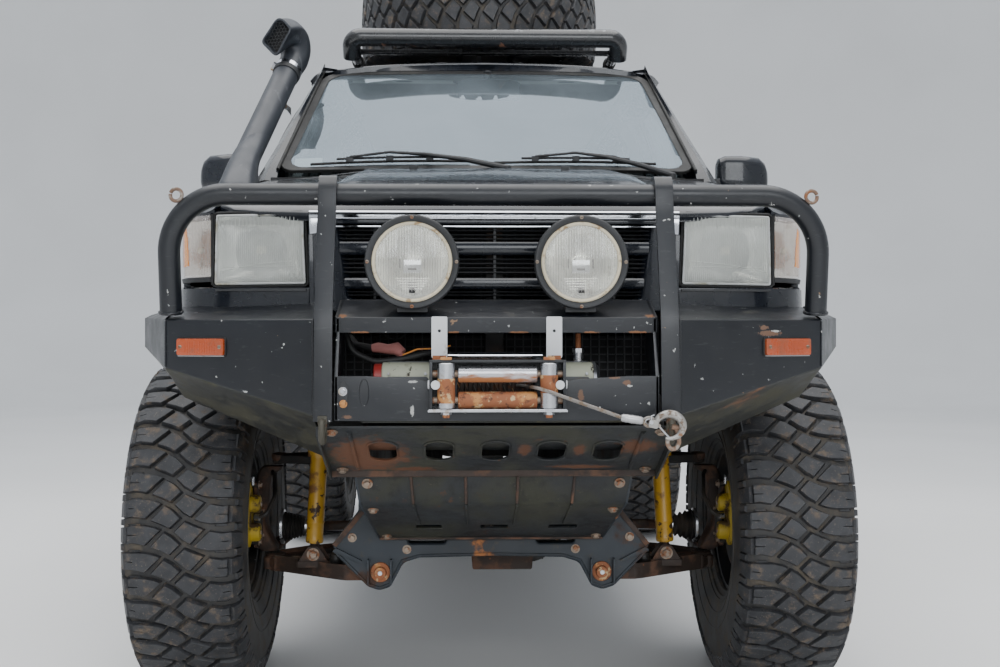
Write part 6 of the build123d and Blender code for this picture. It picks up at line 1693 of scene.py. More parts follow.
# driving lamps
DL = Mesh()
GL = Mesh()
for s in (-1, 1):
    c = (s * 0.198, -0.912, 1.217)
    Y = (0, 1, 0)
    # body and shell
    DL.lathe([(0.006, 0.094), (0.0045, 0.0965), (0.0005, 0.1035), (0.0012, 0.1075), (0.006, 0.1105), (0.020, 0.1105), (0.026, 0.1080), (0.030, 0.1000), (0.050, 0.0960), (0.072, 0.0860), (0.094, 0.0640), (0.108, 0.040), (0.110, 0.020), (0.110, 0.0)], c, Y, M_BLACKP, 72)
    # cream inner ring
    DL.lathe([(0.0062, 0.0945), (0.0030, 0.0925), (0.0022, 0.0900), (0.0040, 0.0868), (0.0090, 0.0850)], c, Y, M_CREAM, 72)
    # reflector bowl with a stepped foot and shield
    DL.lathe([(0.0100, 0.0850), (0.0280, 0.0765), (0.0450, 0.0620), (0.0600, 0.0420), (0.0680, 0.0230), (0.0700, 0.0160), (0.0700, 0.0)], c, Y, M_REFLECT, 72)
    cx, cy, cz = c
    DL.lathe([(0.040, 0.0), (0.040, 0.0150), (0.066, 0.0150), (0.0665, 0.0)], (cx, cy, cz), Y, M_REFLECT, 32)
    DL.box(cx - 0.021, cx + 0.021, cy + 0.016, cy + 0.030, cz - 0.026, cz + 0.006, M_CHROME, 0.003)
    DL.box(cx - 0.0095, cx + 0.0095, cy + 0.014, cy + 0.017, cz - 0.019, cz - 0.014, M_DARK, 0.0005)
    # chevron of ribs under the burner
    for k in range(5):
        w = 0.040 - 0.004 * k
        DL.box(cx - w, cx + w, cy + 0.026 + 0.003 * k, cy + 0.031 + 0.003 * k, cz - 0.040 - 0.006 * k, cz - 0.0365 - 0.006 * k, M_REFLECT, 0.0008)
    for k in (-2, -1, 1, 2):
        DL.box(cx + k * 0.0145 - 0.0012, cx + k * 0.0145 + 0.0012, cy + 0.020, cy + 0.030, cz - 0.014, cz + 0.008, M_DARK, 0.0004)
    DL.box(cx - 0.0075, cx + 0.0075, cy + 0.0015, cy + 0.003, cz - 0.0725, cz - 0.0625, M_DARK, 0.0006)
    # lens: shallow dome with vertical flutes
    n, R0 = 60, 0.0862
    ringsl = [(0.0050 - 0.0085 * (1 - (r / R0) ** 2), r) for r in [R0 * k / 10 for k in range(10, -1, -1)]]
    GL.lathe(ringsl, c, Y, M_LAMPCLEAR, 72)
    for k in range(-13, 14):
        x = k * 0.0060
        h = math.sqrt(max(0.0, 0.079**2 - x * x))
        if h < 0.012:
            continue
        segs = [(-h, -0.3 * h), (0.12 * h, h)] if abs(k) < 5 else [(-h, h)]
        for a, b in segs:
            pts3 = []
            for q in range(7):
                z = a + (b - a) * q / 6
                rr = math.hypot(x, z)
                pts3.append((cx + x, cy + 0.0052 - 0.0085 * (1 - (rr / R0) ** 2), cz + z))
            GL.tube(pts3, 0.0009, M_LAMPCLEAR, 5)
    # screws at the four quarters of the ring
    for k in range(4):
        t = PI / 2 * k
        p = Vector((cx + 0.1040 * math.cos(t), cy + 0.0008, cz + 0.1040 * math.sin(t)))
        DL.lathe([(0, 0), (0, 0.0044), (-0.0022, 0.0038), (-0.0030, 0.0)], p, Y, M_AMBER_TRIM, 14)
        DL.box(p.x - 0.0028, p.x + 0.0028, p.y - 0.0034, p.y - 0.0026, p.z - 0.0006, p.z + 0.0006, M_DARK)
    # bracket foot and stalk
    DL.prism(round_poly([(cx - 0.036, 1.100), (cx + 0.036, 1.100), (cx + 0.036, 1.112), (cx + 0.020, 1.118), (cx + 0.018, 1.132), (cx - 0.018, 1.132), (cx - 0.020, 1.118), (cx - 0.036, 1.112)], 0.003, 3), -0.888, -0.862, "Y", M_BLACKP, 0.0015)
    DL.hexbolt((cx - 0.028, -0.875, 1.111), (0, 0, 1), 0.0060, 0.006, M_AMBER_TRIM)
    DL.hexbolt((cx + 0.028, -0.875, 1.111), (0, 0, 1), 0.0060, 0.006, M_AMBER_TRIM)
    DL.rod((cx, -0.866, 1.125), (cx, -0.862, 1.170), 0.012, M_BLACKP, 16)
    # cable from the shell's back
    DL.tube(arc_path([(cx, -0.806, 1.200), (cx, -0.775, 1.180), (cx + s * 0.03, -0.765, 1.120), (cx + s * 0.06, -0.70, 1.100)], 0.02, 5), 0.0040, M_RUBBER, 8)
DL = join(DL, GL)
DL.done("Driving_lamps", "root", "black_plastic", ("driving_lamps",), 40)

# headlamps and corner lamps
FL = Mesh()
HL = [(0.468, -0.6905), (0.600, -0.6835), (0.706, -0.668)]


def head_y(x):
    return curve([(0.46, -0.6910), (0.600, -0.6835), (0.706, -0.6680)], x)


def head_pt(a, b, off=0.0):
    """Headlamp face: a is x, b is z; slightly domed."""
    u = (a - 0.587) / 0.12
    v = (b - 1.260) / 0.089
    return (a, head_y(a) - 0.006 * max(0.0, 1 - u**4) * max(0.0, 1 - v**4) - off, b)


hl_out = [(0.4720, 1.1740), (0.7030, 1.1715), (0.6990, 1.3480), (0.4800, 1.3500)]
# opaque rim of the glass, then the fluted glass
gl = round_poly(hl_out, 0.006, 4)
inner_gl = inset(ccw(gl), 0.005)
panel(FL, gl, [inner_gl], lambda a, b: head_pt(a, b, 0.001), (0, -1, 0), M_RIMGLASS, 0.020, 0.05, 0.0012, back=False)
panel(FL, inner_gl, [], lambda a, b: head_pt(a, b, 0.0), (0, -1, 0), M_LAMPGLASS, 0.003, 0.02, 0.0006, back=False)
# moulded flutes: close vertical ribs over the whole height, thicker short ribs along the top, three fine lines across
for k in range(44):
    x = 0.478 + k * 0.0050
    for z0, z1, r in ((1.180, 1.342, 0.00055),):
        FL.tube([head_pt(x, z0 + (z1 - z0) * q / 4, 0.0004) for q in range(5)], r, M_LAMPGLASS, 4)
for k in range(22):
    x = 0.482 + k * 0.0098
    FL.tube([head_pt(x, 1.318 + 0.024 * q / 2, 0.0006) for q in range(3)], 0.0012, M_LAMPGLASS, 5)
for a, b in (((0.490, 1.232), (0.585, 1.224)), ((0.585, 1.224), (0.690, 1.205)), ((0.500, 1.218), (0.680, 1.216))):
    FL.tube([head_pt(a[0] + (b[0] - a[0]) * q / 8, a[1] + (b[1] - a[1]) * q / 8, 0.0004) for q in range(9)], 0.0006, M_LAMPGLASS, 4)
# reflector bowl: a box blended to a paraboloid
rings = []
for t in [k / 9 for k in range(10)]:
    ring = []
    for i in range(36):
        a = 2 * PI * i / 36
        ex = max(-1, min(1, 1.35 * math.cos(a)))
        ez = max(-1, min(1, 1.35 * math.sin(a)))
        w, h = 0.108 * (1 - t) + 0.024 * t, 0.083 * (1 - t) + 0.024 * t
        x = 0.587 + w * (ex * (1 - t) + math.cos(a) * t)
        z = 1.260 + h * (ez * (1 - t) + math.sin(a) * t)
        ring.append((x, head_y(0.587) + 0.012 + 0.060 * t**0.6 * 1.0 + (x - 0.587) * 0.08 * (1 - t), z))
    rings.append(ring)
FL.loft(rings, M_REFLECT, True, False)
FL.lathe([(0.0, 0.0), (0.0, 0.020), (0.010, 0.024), (0.018, 0.024), (0.018, 0.0)], (0.587, head_y(0.587) + 0.060, 1.260), (0, 1, 0), M_REFLECT, 28)
FL.box(0.5750, 0.5990, head_y(0.587) + 0.020, head_y(0.587) + 0.034, 1.250, 1.270, M_CREAM, 0.003)
FL.rod((0.587, head_y(0.587) + 0.034, 1.260), (0.587, head_y(0.587) + 0.066, 1.260), 0.007, M_CHROME, 14)
FL.box(0.480, 0.700, -0.632, -0.618, 1.176, 1.346, M_DARK, 0.004)
# rubber gasket round the headlamp
ring = dense(inset(ccw(round_poly([(0.466, 1.170), (0.7085, 1.1675), (0.7045, 1.3525), (0.4740, 1.3545)], 0.010, 4)), 0.0), 0.03)
FL.tube([head_pt(a, b, -0.004) for a, b in ring + ring[:2]], 0.0034, M_RUBBER, 8, caps=False)
# corner lamp wrapped round the wing
CP = [(0.7130, -0.6645), (0.7450, -0.6420), (0.7765, -0.6120), (0.7980, -0.5760), (0.8125, -0.5350)]


def corner_pt(t, z, off=0.0):
    """t 0..1 round the corner, off outwards."""
    k = t * 4
    i = min(3, int(k))
    q = k - i
    a, b = Vector(CP[i]), Vector(CP[i + 1])
    p = a.lerp(b, q)
    d0 = Vector(CP[min(i + 1, 4)]) - Vector(CP[i])
    n = Vector((-d0.y, d0.x)).normalized()
    n = -n if n.y > 0 else n
    return (p.x + n.x * off, p.y + n.y * off, z)


cp_out = round_poly([(0.0, 1.1900), (0.86, 1.1910), (0.965, 1.2060), (0.985, 1.2500), (0.930, 1.3300), (0.86, 1.3440), (0.0, 1.3480)], [0.004, 0.0, 0.0, 0.0, 0.0, 0.0, 0.004], 3)
cpo = [(a * 0.17, b) for a, b in cp_out]
panel(FL, cpo, [], lambda a, b: corner_pt(min(1.0, a / 0.17), b, 0.0015), lambda p: Vector((0.55, -0.83, 0)), M_CORNER, 0.003, 0.018, 0.0006, back=False)
for k in range(20):
    t = 0.03 + k * 0.036
    FL.tube([corner_pt(t, 1.198 + (1.340 - 1.198) * q / 3, 0.0018) for q in range(4)], 0.0007, M_CORNER, 4)
# amber strip at its outer side
panel(FL, [(a * 0.17, b) for a, b in ((0.52, 1.222), (0.80, 1.220), (0.84, 1.250), (0.76, 1.318), (0.66, 1.322), (0.58, 1.290))], [], lambda a, b: corner_pt(min(1.0, a / 0.17), b, 0.0030), lambda p: Vector((0.55, -0.83, 0)), M_AMBERCLEAR, 0.004, 0.02, 0.001, back=False)
# silver back wall with steps and a bulb
rings = []
for k in range(7):
    z = 1.196 + (1.340 - 1.196) * k / 6
    rings.append([corner_pt(0.02, z, -0.006), corner_pt(0.05, z, -0.038), corner_pt(0.45, z, -0.040), corner_pt(0.80, z, -0.034), corner_pt(0.93, z, -0.004)])
FL.loft(rings, M_REFLECT, False, False)
FL.lathe([(0, 0), (0.0, 0.006), (0.012, 0.009), (0.022, 0.007), (0.026, 0)], (0.748, -0.606, 1.262), (0, -1, 0), M_CREAM, 16)
FL.loft([[corner_pt(t, 1.1800, 0.0), corner_pt(t, 1.1915, 0.0025), corner_pt(t, 1.1915, -0.010), corner_pt(t, 1.1800, -0.014)] for t in [k / 8 for k in range(9)]], M_BLACKP)
FL.loft([[corner_pt(t, 1.3455, 0.0), corner_pt(t, 1.3530, 0.002), corner_pt(t, 1.3530, -0.020), corner_pt(t, 1.3455, -0.020)] for t in [k * 0.93 / 8 for k in range(9)]], M_BODY)
# gap rubber between the lamps
FL.loft([[(0.7065, -0.6690, z), (0.7125, -0.6665, z), (0.7125, -0.640, z), (0.7065, -0.640, z)] for z in (1.172, 1.26, 1.350)], M_RUBBER)
# painted filler strip and valance under the lamps
rings = []
for x, y in ((0.462, -0.690), (0.60, -0.682), (0.70, -0.667), (0.745, -0.641), (0.777, -0.611), (0.800, -0.572), (0.8145, -0.530)):
    d = Vector((0.35, -0.94, 0)) if x < 0.72 else Vector((0.8, -0.6, 0))
    rings.append([(x - d.x * 0.006, y - d.y * 0.006 - 0.0, 1.1680), (x + d.x * 0.004, y + d.y * 0.004, 1.1640), (x + d.x * 0.006, y + d.y * 0.006, 1.1240), (x + d.x * 0.001, y + d.y * 0.001, 1.0700), (x - d.x * 0.004, y - d.y * 0.004, 1.0500), (x - d.x * 0.020, y - d.y * 0.020, 1.0500), (x - d.x * 0.020, y - d.y * 0.020, 1.1680)])
FL.loft(rings, M_BODY)
FL.loft([[(x, y, z) for y, z in ((yy - 0.009, 1.1615), (yy - 0.010, 1.1560), (yy, 1.1560), (yy, 1.1615))] for x, yy in ((0.470, -0.690), (0.60, -0.682), (0.70, -0.667))], M_BLACKP)
# body corner behind the corner lamp, down to the bumper
FL.loft([[(0.775, -0.560, z), (0.806, -0.556, z), (0.817, -0.524, z), (0.817, -0.506, z), (0.775, -0.506, z)] for z in (1.055, 1.10, 1.172)], M_BODY, bevel=0.006, seg=3)
FL2 = join(FL, mirrored(FL))
FL2.done("Front_lamps", "root", "lamp_glass", ("front_lamps",), 40)

# grille
Gr = Mesh()
og = round_poly([(-0.460, 1.104), (0.460, 1.104), (0.464, 1.332), (0.462, 1.356), (-0.462, 1.356), (-0.464, 1.332)], [0.004, 0.004, 0, 0.006, 0.006, 0], 4)
hg = round_poly([(-0.369, 1.134), (0.369, 1.134), (0.396, 1.326), (-0.396, 1.326)], 0.010, 5)
panel(Gr, og, [hg], lambda a, b: (a, -0.704, b), (0, -1, 0), M_BODY, 0.034, 0.06, 0.004)
# sloped inner reveal
lo = dense(ccw(hg), 0.05)
n = len(lo)
cxg, czg = 0.0, 1.230
V = [(a, -0.700, b) for a, b in lo] + [(a * 0.955, -0.674, czg + (b - czg) * 0.955) for a, b in lo]
Gr.add(V, [(i, (i + 1) % n, (i + 1) % n + n, i + n) for i in range(n)], M_BODY)
# bright strip along the top: flat band, dark groove, thin lower line
Gr.prism([(-0.7095, 1.3375), (-0.7095, 1.3520), (-0.7060, 1.3560), (-0.700, 1.3565), (-0.700, 1.3350), (-0.7060, 1.3350)], -0.462, 0.462, "X", M_CHROME, 0.0010)
Gr.prism([(-0.7065, 1.3245), (-0.7065, 1.3330), (-0.700, 1.3350), (-0.700, 1.3230)], -0.440, 0.440, "X", M_BODY, 0.0010)
Gr.prism([(-0.7080, 1.3150), (-0.7080, 1.3185), (-0.700, 1.3200), (-0.700, 1.3135)], -0.402, 0.402, "X", M_CHROME, 0.0006)
# glossy cross bars, thick at the front and thinner behind
for z, h in ((1.263, 0.017), (1.175, 0.014)):
    w = 0.369 + 0.027 * (z - 1.134) / 0.192
    pr = [(-0.7035, z - h * 0.55), (-0.7045, z), (-0.7035, z + h * 0.55), (-0.699, z + h * 0.95), (-0.690, z + h), (-0.674, z + h * 0.6), (-0.672, z - h * 0.6), (-0.690, z - h), (-0.699, z - h * 0.95)]
    Gr.prism(pr, -w, w, "X", M_BODY, 0.0012)
for z in (1.146, 1.154, 1.203, 1.214, 1.225, 1.236, 1.287, 1.297, 1.308):
    w = 0.366 + 0.027 * (z - 1.134) / 0.192
    Gr.prism([(-0.694, z - 0.0016), (-0.696, z), (-0.694, z + 0.0016), (-0.670, z + 0.0024), (-0.668, z - 0.0024)], -w, w, "X", M_BLACKP, 0.0004)
for x in (-0.30, -0.15, 0.0, 0.15, 0.30):
    Gr.box(x - 0.0035, x + 0.0035, -0.692, -0.668, 1.136, 1.324, M_BLACKP, 0.001)
# white corner reflectors between grille and headlamps
for s in (-1, 1):
    Gr.prism([(s * 0.4430, 1.300), (s * 0.4600, 1.298), (s * 0.4630, 1.352), (s * 0.4400, 1.352)] if s > 0 else [(s * 0.4400, 1.352), (s * 0.4630, 1.352), (s * 0.4600, 1.298), (s * 0.4430, 1.300)], -0.7075, -0.702, "Y", M_CHROME, 0.001)
    Gr.prism([(s * 0.4480, 1.120), (s * 0.4600, 1.120), (s * 0.4640, 1.296), (s * 0.4530, 1.296)] if s > 0 else [(s * 0.4530, 1.296), (s * 0.4640, 1.296), (s * 0.4600, 1.120), (s * 0.4480, 1.120)], -0.7085, -0.703, "Y", M_BODY, 0.001)
Gr.done("Grille", "root", "body_paint", ("grille",), 32)

# radiator, condenser and front panel behind the grille
Ra = Mesh()
Ra.box(-0.43, 0.43, -0.640, -0.615, 0.80, 1.33, M_DARK, 0.004)
for k in range(40):
    x = -0.42 + k * 0.0215
    Ra.box(x - 0.0015, x + 0.0015, -0.646, -0.638, 0.86, 1.32, M_BLACKP)
for k in range(24):
    z = 0.86 + k * 0.0195
    Ra.box(-0.42, 0.42, -0.6465, -0.640, z - 0.0014, z + 0.0014, M_BLACKP)
for x0, x1 in ((-0.465, -0.430), (0.430, 0.465)):
    Ra.box(x0, x1, -0.655, -0.610, 0.82, 1.350, M_CHASSIS, 0.004)
Ra.box(-0.70, 0.70, -0.655, -0.605, 1.325, 1.352, M_CHASSIS, 0.004)
Ra.box(-0.70, 0.70, -0.64, -0.60, 1.04, 1.075, M_CHASSIS, 0.004)
for s in (-1, 1):
    Ra.box(min(s * 0.60, s * 0.61), max(s * 0.60, s * 0.61), -0.64, -0.50, 1.05, 1.35, M_LINER, 0.002)
Ra.prism([(-0.025, 0.80), (0.025, 0.80), (0.020, 1.33), (-0.020, 1.33)], -0.668, -0.656, "Y", M_CHASSIS, 0.002)
Ra.done("Radiator_and_front_panel", "root")

# ------------------------------------------------------------------ winch, fairlead, rope, hook
Wn = Mesh()
WY, WZ = -0.800, 0.925
X = (1, 0, 0)
# drum with rope turns
turns = []
R0 = 0.0560
for k in range(20):
    x = -0.112 + k * 0.0102
    Wn.lathe([(-0.0050, 0.0505), (-0.0042, 0.0548), (0.0, R0 + 0.0015 * math.sin(k * 2.1)), (0.0042, 0.0548), (0.0050, 0.0505)], (x, WY, WZ), X, M_DRUMROPE, 40)
    # slanting strands
    for q in range(18):
        a = 2 * PI * q / 18 + k * 0.4
        p = [(x - 0.0040 + 0.0080 * j / 3, WY + (R0 + 0.0008) * math.cos(a + 0.10 * j), WZ + (R0 + 0.0008) * math.sin(a + 0.10 * j)) for j in range(4)]
        if math.cos(a) < 0.2 and q % 2 == 0:
            Wn.tube(p, 0.0011, M_CABLE if (k * 7 + q) % 5 else M_RUSTROLL, 4)
for x0, x1 in ((-0.152, -0.122), (0.092, 0.122)):
    Wn.lathe([(0, 0.030), (0, 0.0700), (0.003, 0.0730), (x1 - x0 - 0.003, 0.0730), (x1 - x0, 0.0700), (x1 - x0, 0.030)], (x0, WY, WZ), X, M_WINCHG, 48)
# gearbox (left) and motor (right): squared barrels, cream with grey inset panels
def barrel(x0, x1, m, r=0.066, k=0.80, bev=0.006):
    pts4 = round_poly([(-r, -r * k), (r, -r * k), (r, r * k), (-r, r * k)], r * 0.55, 7)
    Wn.prism([(WY + a, WZ + b) for a, b in pts4], x0, x1, "X", m, bev, 3)
barrel(-0.272, -0.150, M_WINCHB, 0.0655, 0.86)
barrel(-0.292, -0.268, M_RED, 0.0600, 0.88)
Wn.lathe([(0, 0), (0, 0.030), (-0.008, 0.028), (-0.008, 0)], (-0.292, WY, WZ), X, M_CAST, 32)
barrel(0.122, 0.232, M_WINCHB, 0.0655, 0.86)
Wn.lathe([(0, 0.0), (0, 0.058), (0.010, 0.056), (0.018, 0.046), (0.020, 0.0)], (0.230, WY, WZ), X, M_ZINC, 40)
for a, b in ((-0.262, -0.160), (0.132, 0.222)):
    for dz in (0.0, ):
        pr = round_poly([(a, 0.902), (b, 0.902), (b, 0.948), (a, 0.948)], 0.008, 4)
        Wn.prism(pr, WY - 0.0675, WY - 0.0640, "Y", M_WINCHG, 0.001)
        pr = round_poly([(a, WY - 0.030), (b, WY - 0.030), (b, WY + 0.030), (a, WY + 0.030)], 0.008, 4)
        Wn.prism(pr, WZ + 0.0545, WZ + 0.0580, "Z", M_WINCHG, 0.001)
        for xx in (a + 0.008, b - 0.008):
            Wn.hexbolt((xx, WY - 0.0670, 0.955), (0, -1, 0), 0.0038, 0.003, M_ZINC, False)
            Wn.hexbolt((xx, WY - 0.0670, 0.895), (0, -1, 0), 0.0038, 0.003, M_ZINC, False)
# bright tie rods between the flanges
for dy in (-0.040, 0.040):
    Wn.rod((-0.136, WY + dy, WZ + 0.0720), (0.110, WY + dy, WZ + 0.0720), 0.0085, M_CHROME, 18)
# upright terminal with hex nut on the motor
Wn.rod((0.200, WY, 0.975), (0.200, WY, 1.012), 0.0115, M_ZINC, 20, cap=0.002)
Wn.lathe([(0, 0), (0, 0.0145), (0.010, 0.0145), (0.010, 0)], (0.200, WY, 1.004), (0, 0, 1), M_ZINC, 6)
Wn.rod((0.200, WY, 1.012), (0.200, WY, 1.050), 0.0065, M_RUSTROLL, 12)
Wn.tube(arc_path([(0.200, WY, 1.048), (0.203, WY, 1.075), (0.24, WY + 0.06, 1.085), (0.27, -0.66, 1.09)], 0.02, 4), 0.0055, M_RUBBER, 8)
# faded boot on the supply lead, black leads, a yellow wire
Wn.tube([(-0.300, -0.775, 1.014), (-0.286, -0.777, 1.016), (-0.262, -0.780, 1.012), (-0.240, -0.785, 1.013), (-0.226, -0.790, 1.002)], 0.01, M_PINK, 12, rr=[0.010, 0.0125, 0.012, 0.0165, 0.0125])
Wn.rod((-0.232, -0.790, 1.010), (-0.224, -0.792, 0.972), 0.0075, M_PINK, 12)
Wn.tube([(-0.298, -0.775, 1.014), (-0.34, -0.76, 1.022), (-0.36, -0.70, 1.04)], 0.0085, M_RUBBER, 10)
Wn.tube(arc_path([(-0.366, -0.80, 1.060), (-0.345, -0.812, 1.005), (-0.290, -0.822, 0.982), (-0.225, -0.822, 0.989), (-0.150, -0.812, 1.006), (-0.120, -0.79, 1.010)], 0.05, 5), 0.0075, M_RUBBER, 12)
Wn.tube(arc_path([(-0.225, -0.800, 0.998), (-0.19, -0.800, 1.012), (-0.14, -0.80, 1.014), (-0.11, -0.78, 1.02)], 0.02, 4), 0.0022, M_AMBERCLEAR, 6)
Wn.tube(arc_path([(-0.33, -0.66, 1.10), (-0.25, -0.66, 1.02), (-0.18, -0.665, 1.10)], 0.03, 4), 0.003, M_RUBBER, 6)
Wn.box(-0.300, 0.250, -0.870, -0.730, 0.8525, 0.8640, M_CHASSIS, 0.002)
Wn.done("Winch", "root", "cast_metal", ("winch",), 35)

Fa = Mesh()
# folded frame: back plate with window, side plates, top and bottom lips
fw = [(-0.092, 0.903), (0.092, 0.903), (0.092, 0.953), (-0.092, 0.953)]
panel(Fa, round_poly([(-0.155, 0.873), (0.155, 0.873), (0.155, 0.990), (-0.155, 0.990)], 0.004, 3), [round_poly(fw, 0.006, 3)], lambda a, b: (a, -0.953, b), (0, -1, 0), M_BUMPER, 0.0075, 0.05, 0.001)
for s in (-1, 1):
    a, b = sorted((s * 0.148, s * 0.155))
    Fa.prism(round_poly([(-0.995, 0.873), (-0.946, 0.873), (-0.946, 0.990), (-0.995, 0.990)], 0.004, 3), a, b, "X", M_BUMPER, 0.0012)
    # white end caps of the horizontal roller spindles
    for z in (0.9335,):
        Fa.lathe([(0, 0), (0, 0.0105), (0.004, 0.0098), (0.004, 0)], (s * 0.155, -0.972, z), (s, 0, 0), M_WHITE, 20)
        Fa.lathe([(0, 0), (0, 0.0105), (0.003, 0.0100), (0.003, 0)], (s * 0.141, -0.9985, z), (0, -1, 0), M_WHITE, 20)
Fa.box(-0.1555, 0.1555, -0.9955, -0.946, 0.9845, 0.990, M_BLACKP, 0.0015)
Fa.box(-0.1565, 0.1565, -0.9985, -0.946, 0.8730, 0.8785, M_ZINC, 0.0015)
Fa.tube([(-0.158, -0.9985, 0.8745), (0.158, -0.9985, 0.8745)], 0.0028, M_ZINC, 8)
# horizontal rollers with spindle collars
Fa.lathe([(0, 0.008), (0, 0.0175), (0.002, 0.0195), (0.178, 0.0195), (0.180, 0.0175), (0.180, 0.008)], (-0.090, -0.974, 0.958), X, M_HALFRUST, 44)
Fa.lathe([(0, 0.008), (0, 0.0175), (0.002, 0.0195), (0.178, 0.0195), (0.180, 0.0175), (0.180, 0.008)], (-0.090, -0.974, 0.898), X, M_RUSTROLL, 44)
for z in (0.958, 0.898):
    for s in (-1, 1):
        Fa.rod((s * 0.090, -0.974, z), (s * 0.148, -0.974, z), 0.0085, M_AMBER_TRIM, 16)
# vertical rollers: bright above, rust below; nuts at both ends
for s in (-1, 1):
    c = (s * 0.117, -0.985, 0.8800)
    hz = 0.9480 if s < 0 else 0.9560
    lz = 0.8920 if s < 0 else 0.9150
    Fa.lathe([(0, 0.006), (0, 0.0185), (0.0015, 0.0200), (lz - 0.880, 0.0200)], c, (0, 0, 1), M_ZINC, 44)
    Fa.lathe([(lz - 0.880, 0.0201), (lz - 0.874, 0.0203), (hz - 0.886, 0.0203), (hz - 0.880, 0.0201)], c, (0, 0, 1), M_RUSTROLL, 44)
    Fa.lathe([(hz - 0.880, 0.0200), (0.1015, 0.0200), (0.103, 0.0185), (0.103, 0.006)], c, (0, 0, 1), M_ZINC, 44)
    Fa.lathe([(0, 0), (0, 0.0125), (-0.008, 0.0125), (-0.0085, 0)], (s * 0.117, -0.985, 0.8735), (0, 0, 1), M_ZINC, 6)
    Fa.lathe([(-0.008, 0), (-0.008, 0.0085), (-0.0150, 0.0075), (-0.0155, 0)], (s * 0.117, -0.985, 0.8735), (0, 0, 1), M_RUSTROLL, 14)
    Fa.box(s * 0.117 - 0.013, s * 0.117 + 0.013, -0.998, -0.972, 0.990, 0.9965, M_RUSTROLL, 0.0025)
Fa.done("Fairlead", "root", "cast_metal", ("fairlead",), 35)

# twisted steel rope: six strands wound on the path
Rp = Mesh()
path = arc_path([(0.050, -0.8555, 0.927), (0.090, -1.015, 0.928), (0.284, -0.9868, 0.8584)], 0.027, 8)
# straight pieces cut finely
fine = []
for i in range(len(path) - 1):
    p, q = Vector(path[i]), Vector(path[i + 1])
    k = max(1, int((q - p).length / 0.004))
    fine += [p.lerp(q, j / k) for j in range(k)]
fine.append(Vector(path[-1]))
Rp.tube(fine, 0.0030, M_DRUMROPE, 8)
u = Vector((0, 0, 1))
dist = 0.0
frames = []
for i, p in enumerate(fine):
    t = (fine[min(i + 1, len(fine) - 1)] - fine[max(i - 1, 0)]).normalized()
    u = (u - t * u.dot(t)).normalized()
    frames.append((p, u.copy(), t.cross(u)))
L = [0.0]
for i in range(1, len(fine)):
    L.append(L[-1] + (fine[i] - fine[i - 1]).length)
for k in range(6):
    pts5 = []
    for (p, u1, w1), l in zip(frames, L):
        a = 2 * PI * k / 6 + l * 2 * PI / 0.046
        pts5.append(p + (u1 * math.cos(a) + w1 * math.sin(a)) * 0.0029)
    Rp.tube(pts5, 0.0016, M_CABLE, 6)
Rp.done("Winch_rope", "root", "rusty_steel", ("winch_cable",), 60)

Hk = Mesh()
# pressed sleeve, thimble, clevis and hook with latch
a, b = Vector((0.281, -0.9865, 0.8588)), Vector((0.330, -0.9905, 0.8515))
Hk.tube([a, a.lerp(b, 0.08), a.lerp(b, 0.5), a.lerp(b, 0.92), b], 0.01, M_ALU, 18, rr=[0.0070, 0.0092, 0.0098, 0.0092, 0.0074])
for t in (0.25, 0.5, 0.75):
    q = a.lerp(b, t)
    d = (b - a).normalized()
    Hk.tube([q - d * 0.001, q + d * 0.001], 0.0103, M_ALU, 18)
# rope eye round the thimble
c = Vector((0.3440, -0.9935, 0.8490))
eye = [b] + [c + Vector((0.0125 * math.cos(t), 0.0020 * math.sin(t), 0.0100 * math.sin(t))) for t in [-PI * 0.75 + i * PI * 1.5 / 16 for i in range(17)]] + [b + Vector((0.001, 0, 0.003))]
Hk.tube(eye, 0.0038, M_CABLE, 10)
Hk.tube([c + Vector((0.0085 * math.cos(t), 0, 0.0066 * math.sin(t))) for t in [2 * PI * i / 20 for i in range(21)]], 0.0022, M_ALU, 8)
# hook body: a thick C lying on its side, open below, the tip turned back
hc = Vector((0.3880, -0.9980, 0.8390))
pts6, rr6 = [], []
for i in range(36):
    t = math.radians(172 - i * 7.9)
    R = 0.0270 + 0.0020 * math.sin(PI * i / 35)
    pts6.append(hc + Vector((R * math.cos(t) * 1.12, 0.0012 * math.sin(t), R * math.sin(t))))
    rr6.append(0.0068 + 0.0030 * math.sin(PI * min(1.0, i / 28)) - 0.0034 * max(0, i - 27) / 8)
Hk.tube(pts6, 0.008, M_HOOK, 16, rr=rr6)
# clevis jaws and pin
for y0, y1 in ((-1.0075, -1.0020), (-0.9900, -0.9845)):
    Hk.prism(round_poly([(0.3395, 0.8390), (0.3620, 0.8330), (0.3640, 0.8500), (0.3440, 0.8585)], 0.005, 4), y0, y1, "Y", M_HOOK, 0.0012)
Hk.rod((0.3470, -1.0110, 0.8490), (0.3470, -0.9810, 0.8490), 0.0050, M_ZINC, 14, cap=0.001)
Hk.tube([(0.3470, -1.0115, 0.8510), (0.3460, -1.0125, 0.8640), (0.3530, -1.0110, 0.8660)], 0.0016, M_ZINC, 6)
# spring latch
for dy in (-0.0032, 0.0032):
    Hk.tube([(0.3640, -0.9980 + dy, 0.8420), (0.3740, -0.9980 + dy, 0.8300), (0.3900, -0.9980 + dy, 0.8125)], 0.0021, M_ZINC, 8)
for k in range(5):
    q = Vector((0.3615 + 0.0016 * k, -0.9980, 0.8440 - 0.0012 * k))
    Hk.tube([q + Vector((0.0, 0.0046 * math.cos(t), 0.0046 * math.sin(t))) for t in [2 * PI * i / 12 for i in range(13)]], 0.0011, M_ZINC, 5)
